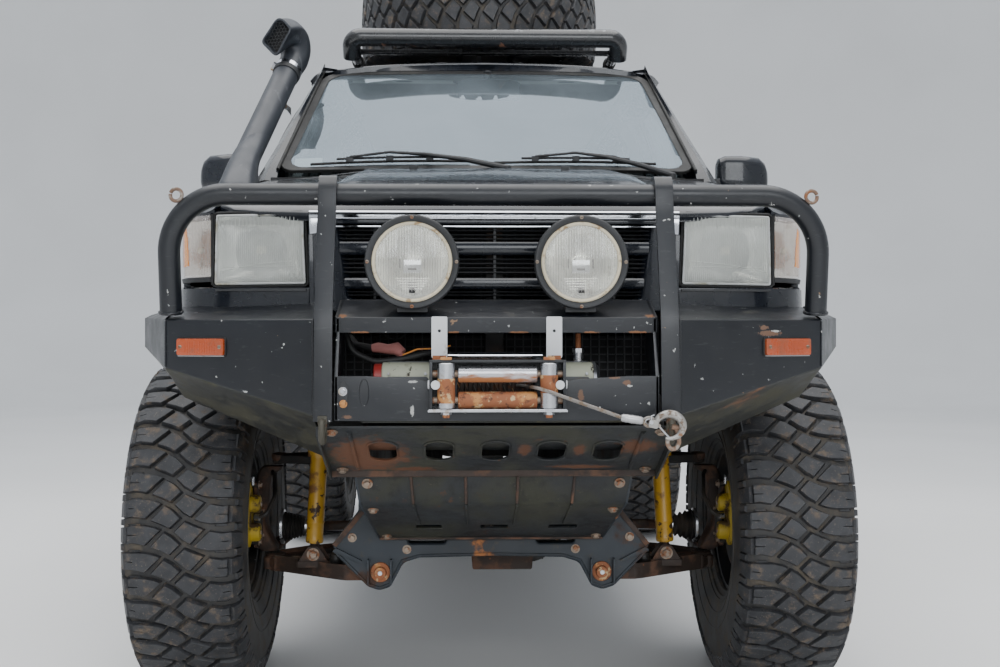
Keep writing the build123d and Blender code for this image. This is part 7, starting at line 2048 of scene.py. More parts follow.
# rusty shackle hanging from the hook's bend, with its pin
sh = [(0.4060, -0.9900, 0.8360), (0.4120, -0.9890, 0.8180), (0.4130, -0.9890, 0.8010), (0.4060, -0.9890, 0.7880), (0.3930, -0.9900, 0.7870), (0.3860, -0.9900, 0.7990), (0.3870, -0.9900, 0.8120)]
Hk.tube(arc_path(sh, 0.010, 4), 0.0052, M_SHACKLE, 10)
Hk.rod((0.3960, -0.9900, 0.8380), (0.4200, -0.9890, 0.8330), 0.0066, M_SHACKLE, 14, cap=0.001)
Hk.done("Winch_hook", "root", "zinc", ("winch_hook",), 40)

# ------------------------------------------------------------------ snorkel
Sn = Mesh()
SN_R = 0.0442
low, top = Vector((-0.798, 0.326, 1.631)), Vector((-0.710, 0.662, 1.991))
ax = (top - low).normalized()
path = arc_path([(-0.8010, 0.268, 1.5900), tuple(low), tuple(top + ax * 0.004)], [0.120], 12)
Sn.tube(path, SN_R, M_SNORK, 40)


def ring_at(cx, cy, wx, wy, z, tilt=0.0, n=44, p=3.2, lean=0.0):
    out = []
    for i in range(n):
        t = 2 * PI * i / n
        cc, ss = math.cos(t), math.sin(t)
        ex = math.copysign(abs(cc) ** (2 / p), cc)
        ey = math.copysign(abs(ss) ** (2 / p), ss)
        out.append((cx + wx * ex + lean * ey, cy + wy * ey, z + tilt * (wy * ey)))
    return out


# flared foot on the wing, flat on its inner side, blended up into the pipe
FOOT = [(1.5165, -0.8015, 0.2050, 0.0600, 0.1000, 0.13, 3.6), (1.5290, -0.8015, 0.2050, 0.0590, 0.0985, 0.13, 3.6), (1.5450, -0.8005, 0.2140, 0.0550, 0.0930, 0.16, 3.2), (1.5680, -0.8000, 0.2320, 0.0515, 0.0850, 0.14, 2.8),
        (1.6000, -0.7985, 0.2660, 0.0485, 0.0760, 0.10, 2.5), (1.6400, -0.7945, 0.3150, 0.0465, 0.0690, 0.05, 2.25), (1.6800, -0.7860, 0.3700, 0.0455, 0.0640, 0.0, 2.1), (1.7150, -0.7775, 0.4044, 0.0446, 0.0610, 0.0, 2.0)]
Sn.loft([ring_at(cx, cy, wx, wy, z, ti, p=pw) for z, cx, cy, wx, wy, ti, pw in FOOT], M_SNORK)
Sn.loft([ring_at(-0.8015, 0.2050, 0.0615, 0.1020, 1.5140, 0.13, p=3.6), ring_at(-0.8015, 0.2050, 0.0615, 0.1020, 1.5195, 0.13, p=3.6)], M_RUBBER)
# rubber band and worm-drive clamp under the head
cl = top - ax * 0.006
Sn.lathe([(-0.026, 0.0435), (-0.026, 0.0475), (-0.010, 0.0490), (-0.006, 0.0490), (-0.004, 0.0440)], cl, ax, M_BLACKP, 48)
Sn.lathe([(-0.008, 0.0440), (-0.008, 0.0500), (0.0095, 0.0500), (0.0095, 0.0440)], cl, ax, M_CHROME, 48)
side = Vector((-0.86, -0.50, 0.0))
side = (side - ax * side.dot(ax)).normalized()
tv = ax.cross(side)
wp = cl + side * 0.0520
Sn.rod(wp - tv * 0.015, wp + tv * 0.012, 0.0050, M_ZINC, 12)
Sn.lathe([(0, 0), (0, 0.0070), (0.006, 0.0070), (0.006, 0)], wp - tv * 0.021, tv, M_CREAM, 6)
# head: a fat elbow turned to the front and outwards, its mouth a leaning rounded oblong
MOUTH = [(0.006, 0.080), (0.062, 0.026), (0.002, -0.074), (-0.064, -0.012)]


def ray(corners, t, cap):
    d = (math.cos(t), math.sin(t))
    for (ax_, ay_), (bx_, by_) in zip(corners, corners[1:] + corners[:1]):
        ex, ey = bx_ - ax_, by_ - ay_
        det = d[1] * ex - d[0] * ey
        if abs(det) > 1e-9:
            q, k = (ay_ * ex - ax_ * ey) / det, (d[0] * ay_ - d[1] * ax_) / det
            if q > 0 and -1e-9 <= k <= 1 + 1e-9:
                return min(q, cap)
    return cap


NM_ = 60
raw = [ray(MOUTH, 2 * PI * i / NM_, 0.068) for i in range(NM_)]
for _ in range(3):
    raw = [(raw[i - 1] + 2 * raw[i] + raw[(i + 1) % NM_]) / 4 for i in range(NM_)]
STN = [((-0.7118, 0.6535, 1.9825), (0.17, 0.67, 0.72), 0.0455, 0.0), ((-0.7105, 0.6590, 1.9880), (0.17, 0.67, 0.72), 0.0480, 0.0), ((-0.704, 0.676, 2.006), (0.16, 0.62, 0.76), 0.0478, 0.0), ((-0.694, 0.701, 2.034), (0.13, 0.50, 0.86), 0.0500, 0.0),
       ((-0.690, 0.716, 2.075), (0.00, 0.04, 1.0), 0.0545, 0.0), ((-0.698, 0.702, 2.111), (-0.22, -0.54, 0.81), 0.0580, 0.15), ((-0.715, 0.664, 2.119), (-0.36, -0.84, 0.38), 0.0605, 0.55),
       ((-0.731, 0.630, 2.107), (-0.40, -0.90, 0.14), 0.0620, 0.95), ((-0.739, 0.611, 2.098), (-0.41, -0.91, 0.08), 0.0620, 1.0)]


def axes_of(nv):
    n = Vector(nv).normalized()
    u = Vector((0.912, -0.411, 0))
    u = (u - n * u.dot(n)).normalized()
    return n, u, n.cross(u)


def station(k):
    """A smooth point between the elbow's stations: centre, normal, radius, share of the mouth's outline."""
    k = max(0.0, min(len(STN) - 1.0, k))
    i = min(len(STN) - 2, int(k))
    q = k - i
    g = [STN[max(0, i - 1)], STN[i], STN[i + 1], STN[min(len(STN) - 1, i + 2)]]

    def cr(a, b, c, d):
        return 0.5 * (2 * b + (c - a) * q + (2 * a - 5 * b + 4 * c - d) * q * q + (3 * b - a - 3 * c + d) * q**3)
    return tuple(cr(*[w[0][j] for w in g]) for j in range(3)), tuple(cr(*[w[1][j] for w in g]) for j in range(3)), cr(*[w[2] for w in g]), max(0.0, min(1.0, cr(*[w[3] for w in g])))


def elbow_ring(c, nv, r, share, grow_=0.0, push=0.0):
    n, u, v = axes_of(nv)
    c = Vector(c) + n * push
    return [c + u * ((r * (1 - share) + raw[i] * share + grow_) * math.cos(2 * PI * i / NM_)) + v * ((r * (1 - share) + raw[i] * share + grow_) * math.sin(2 * PI * i / NM_)) for i in range(NM_)]


rings = [elbow_ring(*station(k / 3)) for k in range(3 * (len(STN) - 1) + 1)]
C_, N_ = STN[-1][0], STN[-1][1]
for g, o in ((0.0010, 0.0040), (0.0005, 0.0075), (-0.0030, 0.0092), (-0.0070, 0.0080), (-0.0090, 0.0040), (-0.0100, -0.0080), (-0.0120, -0.0180)):
    rings.append(elbow_ring(C_, N_, 0.062, 1.0, g, o))
Sn.loft(rings, M_SNORK, True, False)
# dark plug a little inside the mouth: painted shade standing in for the dark inside of the elbow
Sn.loft([elbow_ring(C_, N_, 0.062, 1.0, -0.0118, -0.0175), elbow_ring(C_, N_, 0.062, 1.0, -0.030, -0.0200), elbow_ring(C_, N_, 0.062, 1.0, -0.045, -0.0215)], M_DARK, False, True)
# hexagonal mesh across the mouth
nM, uM, vM = axes_of(N_)
oM = Vector(C_) + nM * 0.0020
hx = 0.0078
segs = set()
for i in range(-9, 10):
    for j in range(-10, 11):
        cx, cy = hx * math.sqrt(3) * (i + 0.5 * (j % 2)), hx * 1.5 * j
        for k in range(6):
            a0, a1 = math.radians(60 * k + 30), math.radians(60 * k + 90)
            p = (round(cx + hx * math.cos(a0), 5), round(cy + hx * math.sin(a0), 5))
            q = (round(cx + hx * math.cos(a1), 5), round(cy + hx * math.sin(a1), 5))
            if all(math.hypot(*w) < ray(MOUTH, math.atan2(w[1], w[0]), 0.066) - 0.0075 for w in (p, q)):
                segs.add((min(p, q), max(p, q)))
for p, q in sorted(segs):
    Sn.tube([oM + uM * p[0] + vM * p[1], oM + uM * q[0] + vM * q[1]], 0.0012, M_BLACKP, 5)
# strap bracket to the door post
Sn.loft([[(-0.716, 0.567, 1.842), (-0.716, 0.573, 1.842), (-0.716, 0.573, 1.866), (-0.716, 0.567, 1.866)], [(-0.702, 0.592, 1.836), (-0.702, 0.598, 1.836), (-0.702, 0.598, 1.858), (-0.702, 0.592, 1.858)], [(-0.692, 0.612, 1.822), (-0.692, 0.618, 1.822), (-0.692, 0.618, 1.850), (-0.692, 0.612, 1.850)]], M_ZINC, bevel=0.0008)
Sn.hexbolt((-0.707, 0.583, 1.850), (-0.6, -0.8, 0), 0.0055, 0.006, M_AMBER_TRIM)
Sn.done("Snorkel", "root", "black_plastic", ("snorkel",), 45)

# ------------------------------------------------------------------ roof rack
Rk = Mesh()
path = arc_path([(-0.495, 0.830, 2.078), (-0.495, 0.781, 2.142), (0.495, 0.781, 2.142), (0.495, 0.830, 2.078)], 0.038, 12)
# only the bar's first point is raised, by about 2 mm
path = [Vector((p.x, p.y, p.z - 0.004 * (1 - (p.x / 0.5) ** 2) + 0.002 * math.sin(p.x * 9))) for p in path[:1]] + [p for p in path[1:]]
Rk.tube(path, 0.0335, M_TUBE, 30)
for s in (-1, 1):
    Rk.tube([(s * 0.495, 0.800, 2.118), (s * 0.495, 2.560, 2.118)], 0.020, M_TUBE, 20)
    for y in (1.100, 1.800, 2.480):
        # foot: clamp saddle and stem down to the roof
        Rk.lathe([(-0.016, 0.0205), (-0.016, 0.0245), (0.016, 0.0245), (0.016, 0.0205)], (s * 0.495, y, 2.118), (0, 1, 0), M_CHASSIS, 28)
        Rk.prism(round_poly([(s * 0.495 - 0.020, 2.0640), (s * 0.495 + 0.020, 2.0640), (s * 0.495 + 0.012, 2.100), (s * 0.495 - 0.012, 2.100)], 0.004, 3), y - 0.018, y + 0.018, "Y", M_CHASSIS, 0.002)
        Rk.box(s * 0.495 - 0.032, s * 0.495 + 0.032, y - 0.030, y + 0.030, 2.0600, 2.0660, M_RUBBER, 0.002)
        Rk.hexbolt((s * 0.495, y - 0.020, 2.082), (0, -1, 0), 0.0060, 0.006, M_ZINC)
Rk.tube([(-0.495, 2.560, 2.118), (0.495, 2.560, 2.118)], 0.020, M_TUBE, 20)
for y in (0.905, 1.306, 1.710, 2.130):
    Rk.box(-0.482, 0.482, y - 0.0200, y + 0.0200, 2.1080, 2.1220, M_TUBE, 0.0025)
    for s in (-1, 1):
        Rk.tube([(s * 0.478 + 0.020 * math.cos(t), y - 0.0200 - 0.002, 2.115 + 0.006 * math.sin(t)) for t in [2 * PI * i / 14 for i in range(15)]], 0.0022, M_TUBE, 6)
# lengthwise slats; the spare-wheel spindle with its wing nut follows
for x in (-0.30, -0.10, 0.10, 0.30):
    Rk.box(x - 0.012, x + 0.012, 0.890, 2.150, 2.1215, 2.1260, M_TUBE, 0.0012)
Rk.done("Roof_rack", "root", "rusty_steel", ("roof_rack",), 35)
Sp = Mesh()
Sp.rod((-0.018, 1.306, 2.122), (-0.018, 1.306, 2.345), 0.0090, M_ZINC, 14, cap=0.002)
Sp.lathe([(0, 0), (0, 0.050), (0.006, 0.050), (0.010, 0.020), (0.022, 0.017), (0.022, 0)], (-0.018, 1.306, 2.3000), (0, 0, 1), M_CHASSIS, 28)
for s in (-1, 1):
    Sp.tube([(-0.018, 1.306, 2.334), (-0.018 + s * 0.022, 1.306, 2.345), (-0.018 + s * 0.038, 1.306, 2.362)], 0.0055, M_ZINC, 10)
Sp.done("Spare_wheel_spindle", "root", "zinc")

# ------------------------------------------------------------------ running gear seen under the bumper
def both(m):
    return chain(m, mirrored(m))


def ringed(mesh, p, q, base, bump_r, count, m, n=28, fade=1.0):
    """Rubber boot: a tube of radius base with count round ribs that stand bump_r proud."""
    p, q = Vector(p), Vector(q)
    L = (q - p).length
    steps = count * 6
    prof = [(0, 0)]
    for i in range(steps + 1):
        t = i / steps
        prof.append((L * t, (base[0] + (base[1] - base[0]) * t) + bump_r * (0.5 - 0.5 * math.cos(2 * PI * count * t)) * (1 - (1 - fade) * t)))
    prof.append((L, 0))
    mesh.lathe(prof, p, q - p, m, n)


def plate_bolts(mesh, pts, d, r=0.008, h=0.006, m=None):
    for p in pts:
        mesh.hexbolt(p, d, r, h, m or M_AMBER_TRIM)


# ---- knuckles with brake calipers and splash shields
K = Mesh()
rings = []
for z, x, hx, hy in ((0.3915, 0.668, 0.024, 0.026), (0.402, 0.674, 0.030, 0.032), (0.425, 0.686, 0.028, 0.036), (0.452, 0.697, 0.024, 0.046), (0.480, 0.700, 0.021, 0.052), (0.510, 0.698, 0.022, 0.044),
                     (0.545, 0.692, 0.024, 0.030), (0.590, 0.690, 0.023, 0.026), (0.622, 0.682, 0.024, 0.026), (0.636, 0.666, 0.034, 0.027), (0.6465, 0.660, 0.030, 0.024)):
    rings.append([(a, b, z) for a, b in round_poly([(x - hx, -hy), (x + hx, -hy), (x + hx, hy), (x - hx, hy)], 0.011, 4)])
K.loft(rings, M_ARM)
K.lathe([(0, 0), (0, 0.056), (0.004, 0.060), (0.018, 0.062), (0.024, 0.070), (0.066, 0.070), (0.072, 0.066), (0.072, 0)], (0.684, 0, HUBZ), (1, 0, 0), M_CAST, 40)
for k in range(4):
    a = PI / 4 + k * PI / 2
    K.hexbolt((0.6885, 0.053 * math.cos(a), HUBZ + 0.053 * math.sin(a)), (-1, 0, 0), 0.0075, 0.007, M_AMBER_TRIM)
K.prism(round_poly([(0.642, 0.010), (0.690, 0.010), (0.682, 0.110), (0.668, 0.208), (0.628, 0.208), (0.634, 0.110)], [0.004, 0.004, 0.05, 0.016, 0.016, 0.05], 4), 0.390, 0.404, "Z", M_ARM, 0.003)
K.lathe([(0, 0), (0, 0.019), (0.004, 0.022), (0.012, 0.022), (0.014, 0.0)], (0.648, 0.190, 0.390), (0, 0, 1), M_ARM, 24)
# splash shield, open where the caliper sits
sh = [(0.150 * math.cos(t), HUBZ + 0.150 * math.sin(t)) for t in [math.radians(-140 + 7.0 * k) for k in range(41)]]
sh += [(0.071 * math.cos(t), HUBZ + 0.071 * math.sin(t)) for t in [math.radians(140 - 10.0 * k) for k in range(29)]]
K.prism(sh, 0.7515, 0.7535, "X", M_CHASSIS)
# caliper: bridge, two bores, lugs, pins, bleed screw
cal = round_poly([(-0.152, 0.430), (-0.118, 0.418), (-0.066, 0.440), (-0.060, 0.500), (-0.066, 0.560), (-0.074, 0.596), (-0.112, 0.612), (-0.142, 0.585), (-0.156, 0.540), (-0.160, 0.480)], 0.012, 4)
K.prism(cal, 0.7080, 0.7500, "X", M_CALIPER, 0.006)
cal2 = round_poly([(-0.148, 0.436), (-0.120, 0.424), (-0.086, 0.440), (-0.078, 0.500), (-0.086, 0.560), (-0.112, 0.600), (-0.136, 0.580), (-0.150, 0.535), (-0.154, 0.480)], 0.010, 3)
K.prism(cal2, 0.7485, 0.7570, "X", M_CALIPER, 0.003)
for z in (0.462, 0.545):
    K.lathe([(0, 0), (0, 0.020), (0.003, 0.0255), (0.012, 0.027), (0.030, 0.028), (0.030, 0)], (0.6790, -0.110, z), (1, 0, 0), M_CALIPER, 32)
    K.lathe([(0, 0), (0, 0.007), (0.002, 0.008), (0.010, 0.008), (0.010, 0)], (0.6765, -0.110, z), (1, 0, 0), M_AMBER_TRIM, 6)
for z in (0.430, 0.598):
    K.rod((0.690, -0.082, z), (0.752, -0.082, z), 0.0095, M_BOOT, 16, cap=0.002)
    K.hexbolt((0.690, -0.082, z), (-1, 0, 0), 0.0085, 0.008, M_AMBER_TRIM)
K.prism(round_poly([(-0.094, 0.418), (-0.020, 0.450), (-0.020, 0.512), (-0.060, 0.520), (-0.094, 0.606), (-0.070, 0.610), (-0.030, 0.545), (0.0, 0.530), (0.0, 0.430), (-0.070, 0.408)], 0.004, 2), 0.694, 0.704, "X", M_ARM, 0.002)
K.rod((0.700, -0.128, 0.604), (0.700, -0.134, 0.628), 0.005, M_ZINC, 12)
K.hexbolt((0.700, -0.134, 0.624), (0, -0.24, 0.97), 0.0055, 0.006, M_ZINC, False)
K.tube(arc_path([(0.684, -0.150, 0.512), (0.655, -0.158, 0.520), (0.636, -0.120, 0.570), (0.648, -0.050, 0.622), (0.660, -0.020, 0.632)], [0.02, 0.03, 0.03], 5), 0.0062, M_BOOT, 10)
K.rod((0.690, -0.149, 0.512), (0.676, -0.152, 0.512), 0.0095, M_ZINC, 12)
K.done("Knuckle_left", "knuckle_left", "cast_metal", ("knuckle_left",), 34)
mirrored(K).done("Knuckle_right", "knuckle_right", "cast_metal", ("knuckle_right",), 34)

# ---- control arms
A = Mesh()
outline = round_poly([(0.338, -0.213), (0.422, -0.213), (0.560, -0.112), (0.664, -0.036), (0.688, 0.0), (0.664, 0.036), (0.540, 0.128), (0.422, 0.231), (0.338, 0.231), (0.338, 0.170), (0.420, 0.104), (0.545, 0.014), (0.545, -0.024), (0.450, -0.100), (0.378, -0.150), (0.338, -0.150)],
                     [0.014, 0.03, 0.1, 0.02, 0.02, 0.02, 0.1, 0.03, 0.014, 0.012, 0.1, 0.02, 0.02, 0.1, 0.03, 0.012], 4)
A.prism(outline, 0.343, 0.371, "Z", M_ARM, 0.006)
# raised flanges round both edges, wavy at the casting outboard
for lo_, hi_ in (((0.356, -0.205), (0.648, -0.040)), ((0.356, 0.222), (0.648, 0.040))):
    n = 14
    V = []
    for i in range(n + 1):
        t = i / n
        x, y = lo_[0] + (hi_[0] - lo_[0]) * t, lo_[1] + (hi_[1] - lo_[1]) * t
        if lo_[1] < 0:
            y = -0.2055 + max(0.0, x - 0.425) * 0.70
        else:
            y = 0.2235 - max(0.0, x - 0.425) * 0.80
        w = 0.3825 + 0.0012 * math.sin(9 * t + 1)
        V.append([(x, y - 0.0055, 0.337), (x, y + 0.0055, 0.337), (x, y + 0.0055, w), (x, y - 0.0055, w)])
    A.loft(V, M_ARM, bevel=0.002)
for x, y, r, z0, z1 in ((0.640, -0.046, 0.014, 0.338, 0.378), (0.612, -0.064, 0.011, 0.340, 0.381), (0.672, -0.022, 0.013, 0.338, 0.374), (0.588, -0.030, 0.016, 0.340, 0.378)):
    A.lathe([(0, 0), (0, r * 0.8), (0.004, r), (z1 - z0 - 0.004, r), (z1 - z0, r * 0.7), (z1 - z0, 0)], (x, y, z0), (0, 0, 1), M_ARM, 20)
A.lathe([(0, 0), (0, 0.016), (0.003, 0.021), (0.010, 0.029), (0.050, 0.030), (0.053, 0.026), (0.0555, 0.0)], (0.651, 0, 0.3295), (0, 0, 1), M_ARM, 32)
ringed(A, (0.655, 0, 0.3765), (0.658, 0, 0.3885), (0.018, 0.014), 0.003, 2, M_BOOT, 24)
for k in range(3):
    a = 0.4 + k * 2.1
    A.hexbolt((0.651 + 0.022 * math.cos(a), 0.022 * math.sin(a), 0.3345), (0, 0, -1), 0.005, 0.005, M_AMBER_TRIM, False)
# inner bushings and sleeves
for y0, y1 in ((-0.214, -0.149), (0.169, 0.232)):
    A.lathe([(0, 0), (0, 0.010), (0.001, 0.0255), (0.004, 0.028), (y1 - y0 - 0.004, 0.028), (y1 - y0 - 0.001, 0.0255), (y1 - y0, 0.010), (y1 - y0, 0)], (0.358, y0, 0.361), (0, 1, 0), M_ARM, 32)
    A.lathe([(0, 0.008), (0, 0.020), (y1 - y0 + 0.002, 0.020), (y1 - y0 + 0.002, 0.008)], (0.358, y0 - 0.001, 0.361), (0, 1, 0), M_BOOT, 28, closed=True)
# shock mount: two ears on a pad with a cross bolt
A.prism(round_poly([(0.470, -0.154), (0.570, -0.154), (0.570, -0.090), (0.470, -0.090)], 0.008, 3), 0.364, 0.3825, "Z", M_ARM, 0.003)
ear = round_poly([(0.474, 0.376), (0.566, 0.376), (0.549, 0.404), (0.536, 0.424), (0.504, 0.424), (0.491, 0.404)], [0.002, 0.002, 0.02, 0.014, 0.014, 0.02], 4)
for y0, y1 in ((-0.1505, -0.1435), (-0.1005, -0.0935)):
    A.prism(ear, y0, y1, "Y", M_ARM, 0.0015)
A.hexbolt((0.520, -0.1505, 0.402), (0, -1, 0), 0.0125, 0.009, M_AMBER_TRIM)
A.rod((0.520, -0.1435, 0.402), (0.520, -0.084, 0.402), 0.007, M_ZINC, 14)
A.hexbolt((0.520, -0.0935, 0.402), (0, 1, 0), 0.0115, 0.008, M_AMBER_TRIM)
# bump stop on its cup
A.lathe([(0, 0), (0, 0.024), (0.005, 0.027), (0.008, 0.022), (0.020, 0.024), (0.028, 0.020), (0.036, 0.021), (0.044, 0.014), (0.047, 0)], (0.452, -0.140, 0.366), (0, 0, 1), M_BOOT, 24)
# upper arm: pressed fork with a rolled edge and its ball joint
up_o = round_poly([(0.425, -0.071), (0.470, -0.073), (0.560, -0.048), (0.640, -0.022), (0.653, 0.0), (0.640, 0.022), (0.560, 0.080), (0.470, 0.151), (0.425, 0.151), (0.425, 0.105), (0.500, 0.052), (0.575, 0.015), (0.575, -0.015), (0.500, -0.026), (0.425, -0.030)], [0.01, 0.03, 0.08, 0.018, 0.018, 0.018, 0.08, 0.03, 0.01, 0.01, 0.05, 0.015, 0.015, 0.05, 0.01], 4)
A.prism(up_o, 0.6555, 0.6825, "Z", M_CHASSIS, 0.008, 3)
for y0, y1 in ((-0.072, -0.028), (0.104, 0.152)):
    A.lathe([(0, 0), (0, 0.022), (0.002, 0.024), (y1 - y0 - 0.002, 0.024), (y1 - y0, 0.022), (y1 - y0, 0)], (0.424, y0, 0.669), (0, 1, 0), M_CHASSIS, 28)
    A.hexbolt((0.424, y0, 0.669), (0, -1, 0), 0.010, 0.008, M_AMBER_TRIM)
A.rod((0.410, -0.030, 0.669), (0.410, 0.110, 0.669), 0.014, M_ARM, 20, cap=0.002)
A.lathe([(0, 0), (0, 0.020), (0.006, 0.024), (0.018, 0.024), (0.022, 0.018), (0.024, 0)], (0.640, 0, 0.664), (0, 0, 1), M_ARM, 28)
ringed(A, (0.644, 0, 0.6665), (0.646, 0, 0.6525), (0.016, 0.013), 0.003, 1, M_BOOT, 24)
both(A).done("Front_arms", "root", "rusty_steel", ("front_arms",), 34)

# ---- shock absorbers
S = Mesh()
lo_p, hi_p = Vector((0.520, -0.122, 0.430)), Vector((0.505, -0.122, 0.700))
d = (hi_p - lo_p).normalized()
L = (hi_p - lo_p).length
S.lathe([(0, 0), (0, 0.014), (0.003, 0.0245), (0.008, 0.026), (0.016, 0.026), (0.018, 0.0250), (0.060, 0.0250), (0.062, 0.0262), (0.066, 0.0262), (0.068, 0.0250), (L - 0.012, 0.0250), (L - 0.006, 0.0245), (L, 0.020), (L, 0)], lo_p, d, M_SHOCK, 36)
S.rod(Vector((0.520, -0.122, 0.406)), lo_p + d * 0.004, 0.0125, M_ARM, 20)
S.lathe([(0, 0.010), (0, 0.0165), (0.002, 0.0175), (0.034, 0.0175), (0.036, 0.0165), (0.036, 0.010)], (0.520, -0.140, 0.402), (0, 1, 0), M_ARM, 28, closed=True)
S.lathe([(0, 0.006), (0, 0.0125), (0.037, 0.0125), (0.037, 0.006)], (0.520, -0.1405, 0.402), (0, 1, 0), M_BOOT, 24, closed=True)
u0, u1 = Vector((0.5055, -0.122, 0.686)), Vector((0.484, -0.122, 1.010))
e = (u1 - u0).normalized()
LU = (u1 - u0).length
S.lathe([(0, 0.0285), (0, 0.0335), (0.004, 0.034), (LU - 0.030, 0.034), (LU - 0.018, 0.028), (LU - 0.010, 0.016), (LU, 0.016), (LU, 0), (LU - 0.034, 0), (LU - 0.034, 0.0285)], u0, e, M_SHOCK, 36, closed=False)
S.lathe([(0, 0), (0, 0.026), (0.010, 0.028), (0.014, 0.024), (0.014, 0)], u1 - e * 0.010, e, M_BOOT, 24)
# rear pair, leaning, with dust cover
r0, r1 = Vector((0.440, 2.905, 0.560)), Vector((0.425, 2.990, 0.800))
e = (r1 - r0).normalized()
LR = (r1 - r0).length
S.lathe([(0, 0), (0, 0.020), (0.004, 0.0245), (LR * 0.55, 0.0245), (LR * 0.55, 0.0265), (LR - 0.010, 0.0265), (LR, 0.020), (LR, 0)], r0, e, M_SHOCK, 32)
S.rod(Vector((0.443, 2.896, 0.508)), r0 + e * 0.006, 0.010, M_CHASSIS, 18)
S.lathe([(0, 0.007), (0, 0.020), (0.032, 0.020), (0.032, 0.007)], (0.428, 2.897, 0.507), (1, 0, 0), M_CHASSIS, 28, closed=True)
S.hexbolt((0.460, 2.897, 0.507), (1, 0, 0), 0.011, 0.008, M_AMBER_TRIM)
both(S).done("Shock_absorbers", "root", "shock_paint", ("shock_absorbers",), 34)

# ---- front differential, tubes, shafts and boots
D = Mesh()
c0 = (0.110, 0.020, 0.470)
D.lathe([(-0.095, 0), (-0.095, 0.050), (-0.090, 0.066), (-0.070, 0.086), (-0.044, 0.112), (-0.038, 0.118), (0.004, 0.118), (0.008, 0.112), (0.016, 0.112), (0.020, 0.118), (0.056, 0.118), (0.064, 0.104), (0.098, 0.066), (0.148, 0.046), (0.150, 0.040), (0.150, 0)], c0, (0, 1, 0), M_CAST, 56)
for k in range(12):
    a = 2 * PI * k / 12 + 0.1
    D.hexbolt((c0[0] + 0.101 * math.cos(a), c0[1] - 0.050, c0[2] + 0.101 * math.sin(a)), (0, -1, 0), 0.0065, 0.006, M_AMBER_TRIM)
for k in range(7):
    a = PI * (k + 0.5) / 7
    q = Vector((math.cos(a), 0, -math.sin(a)))
    D.box(-0.003, 0.003, -0.034, 0.050, 0.060, 0.121, M_CAST, 0.002, at=Matrix.Translation(Vector(c0)) @ Quaternion((0, 1, 0), math.atan2(q.x, q.z)).to_matrix().to_4x4())
D.hexbolt((0.110, -0.073, 0.436), (0, -1, 0), 0.012, 0.006, M_ZINC)
D.lathe([(0, 0), (0, 0.040), (0.006, 0.046), (0.050, 0.044), (0.060, 0.052), (0.088, 0.052), (0.088, 0)], (0.146, 0.020, 0.488), (1, 0, 0), M_CAST, 36)
D.lathe([(0, 0), (0, 0.046), (0.080, 0.044), (0.088, 0.050), (0.096, 0.050), (0.096, 0)], (0.030, 0.020, 0.480), (-1, 0, 0), M_CAST, 36)
D.prism(round_poly([(-0.210, 0.562), (-0.180, 0.598), (0.270, 0.598), (0.300, 0.562), (0.300, 0.566), (0.180, 0.562), (-0.120, 0.562)], 0.004, 2), -0.024, 0.084, "Y", M_CHASSIS, 0.004)
D.prism(round_poly([(-0.052, 0.336), (0.128, 0.336), (0.132, 0.392), (0.100, 0.400), (-0.030, 0.400), (-0.056, 0.380)], 0.006, 3), -0.050, 0.090, "Y", M_ARM, 0.004)
for sx, x0 in ((1, 0.232), (-1, 0.060)):
    D.lathe([(0, 0), (0, 0.050), (0.006, 0.053), (0.016, 0.053), (0.020, 0.036), (0.034, 0.034), (0.034, 0)], (sx * x0, 0, 0.470), (sx, 0, 0), M_ARM, 36)
    ringed(D, (sx * (x0 + 0.032), 0, 0.470), (sx * (x0 + 0.128), 0, 0.469), (0.038, 0.020), 0.009, 5, M_BOOT, 32, 0.5)
    D.rod((sx * (x0 + 0.120), 0, 0.469), (sx * 0.566, 0, 0.462), 0.0145, M_ARM, 24)
# outer boots: fine ribs on one side, a few deep ones on the other
for sx, cnt, br in ((-1, 7, 0.0055), (1, 4, 0.009)):
    D.rod((sx * 0.5545, 0, 0.462), (sx * 0.566, 0, 0.462), 0.021, M_ZINC, 28, cap=0.001)
    ringed(D, (sx * 0.562, 0, 0.462), (sx * 0.626, 0, 0.4615), (0.024, 0.042), br, cnt, M_BOOT, 40)
    D.lathe([(0, 0), (0, 0.0505), (0.001, 0.0525), (0.008, 0.0525), (0.009, 0.0505), (0.009, 0)], (sx * 0.6255, 0, 0.4615), (sx, 0, 0), M_ZINC, 40)
D.done("Front_differential", "root", "cast_metal", ("front_differential",), 34)

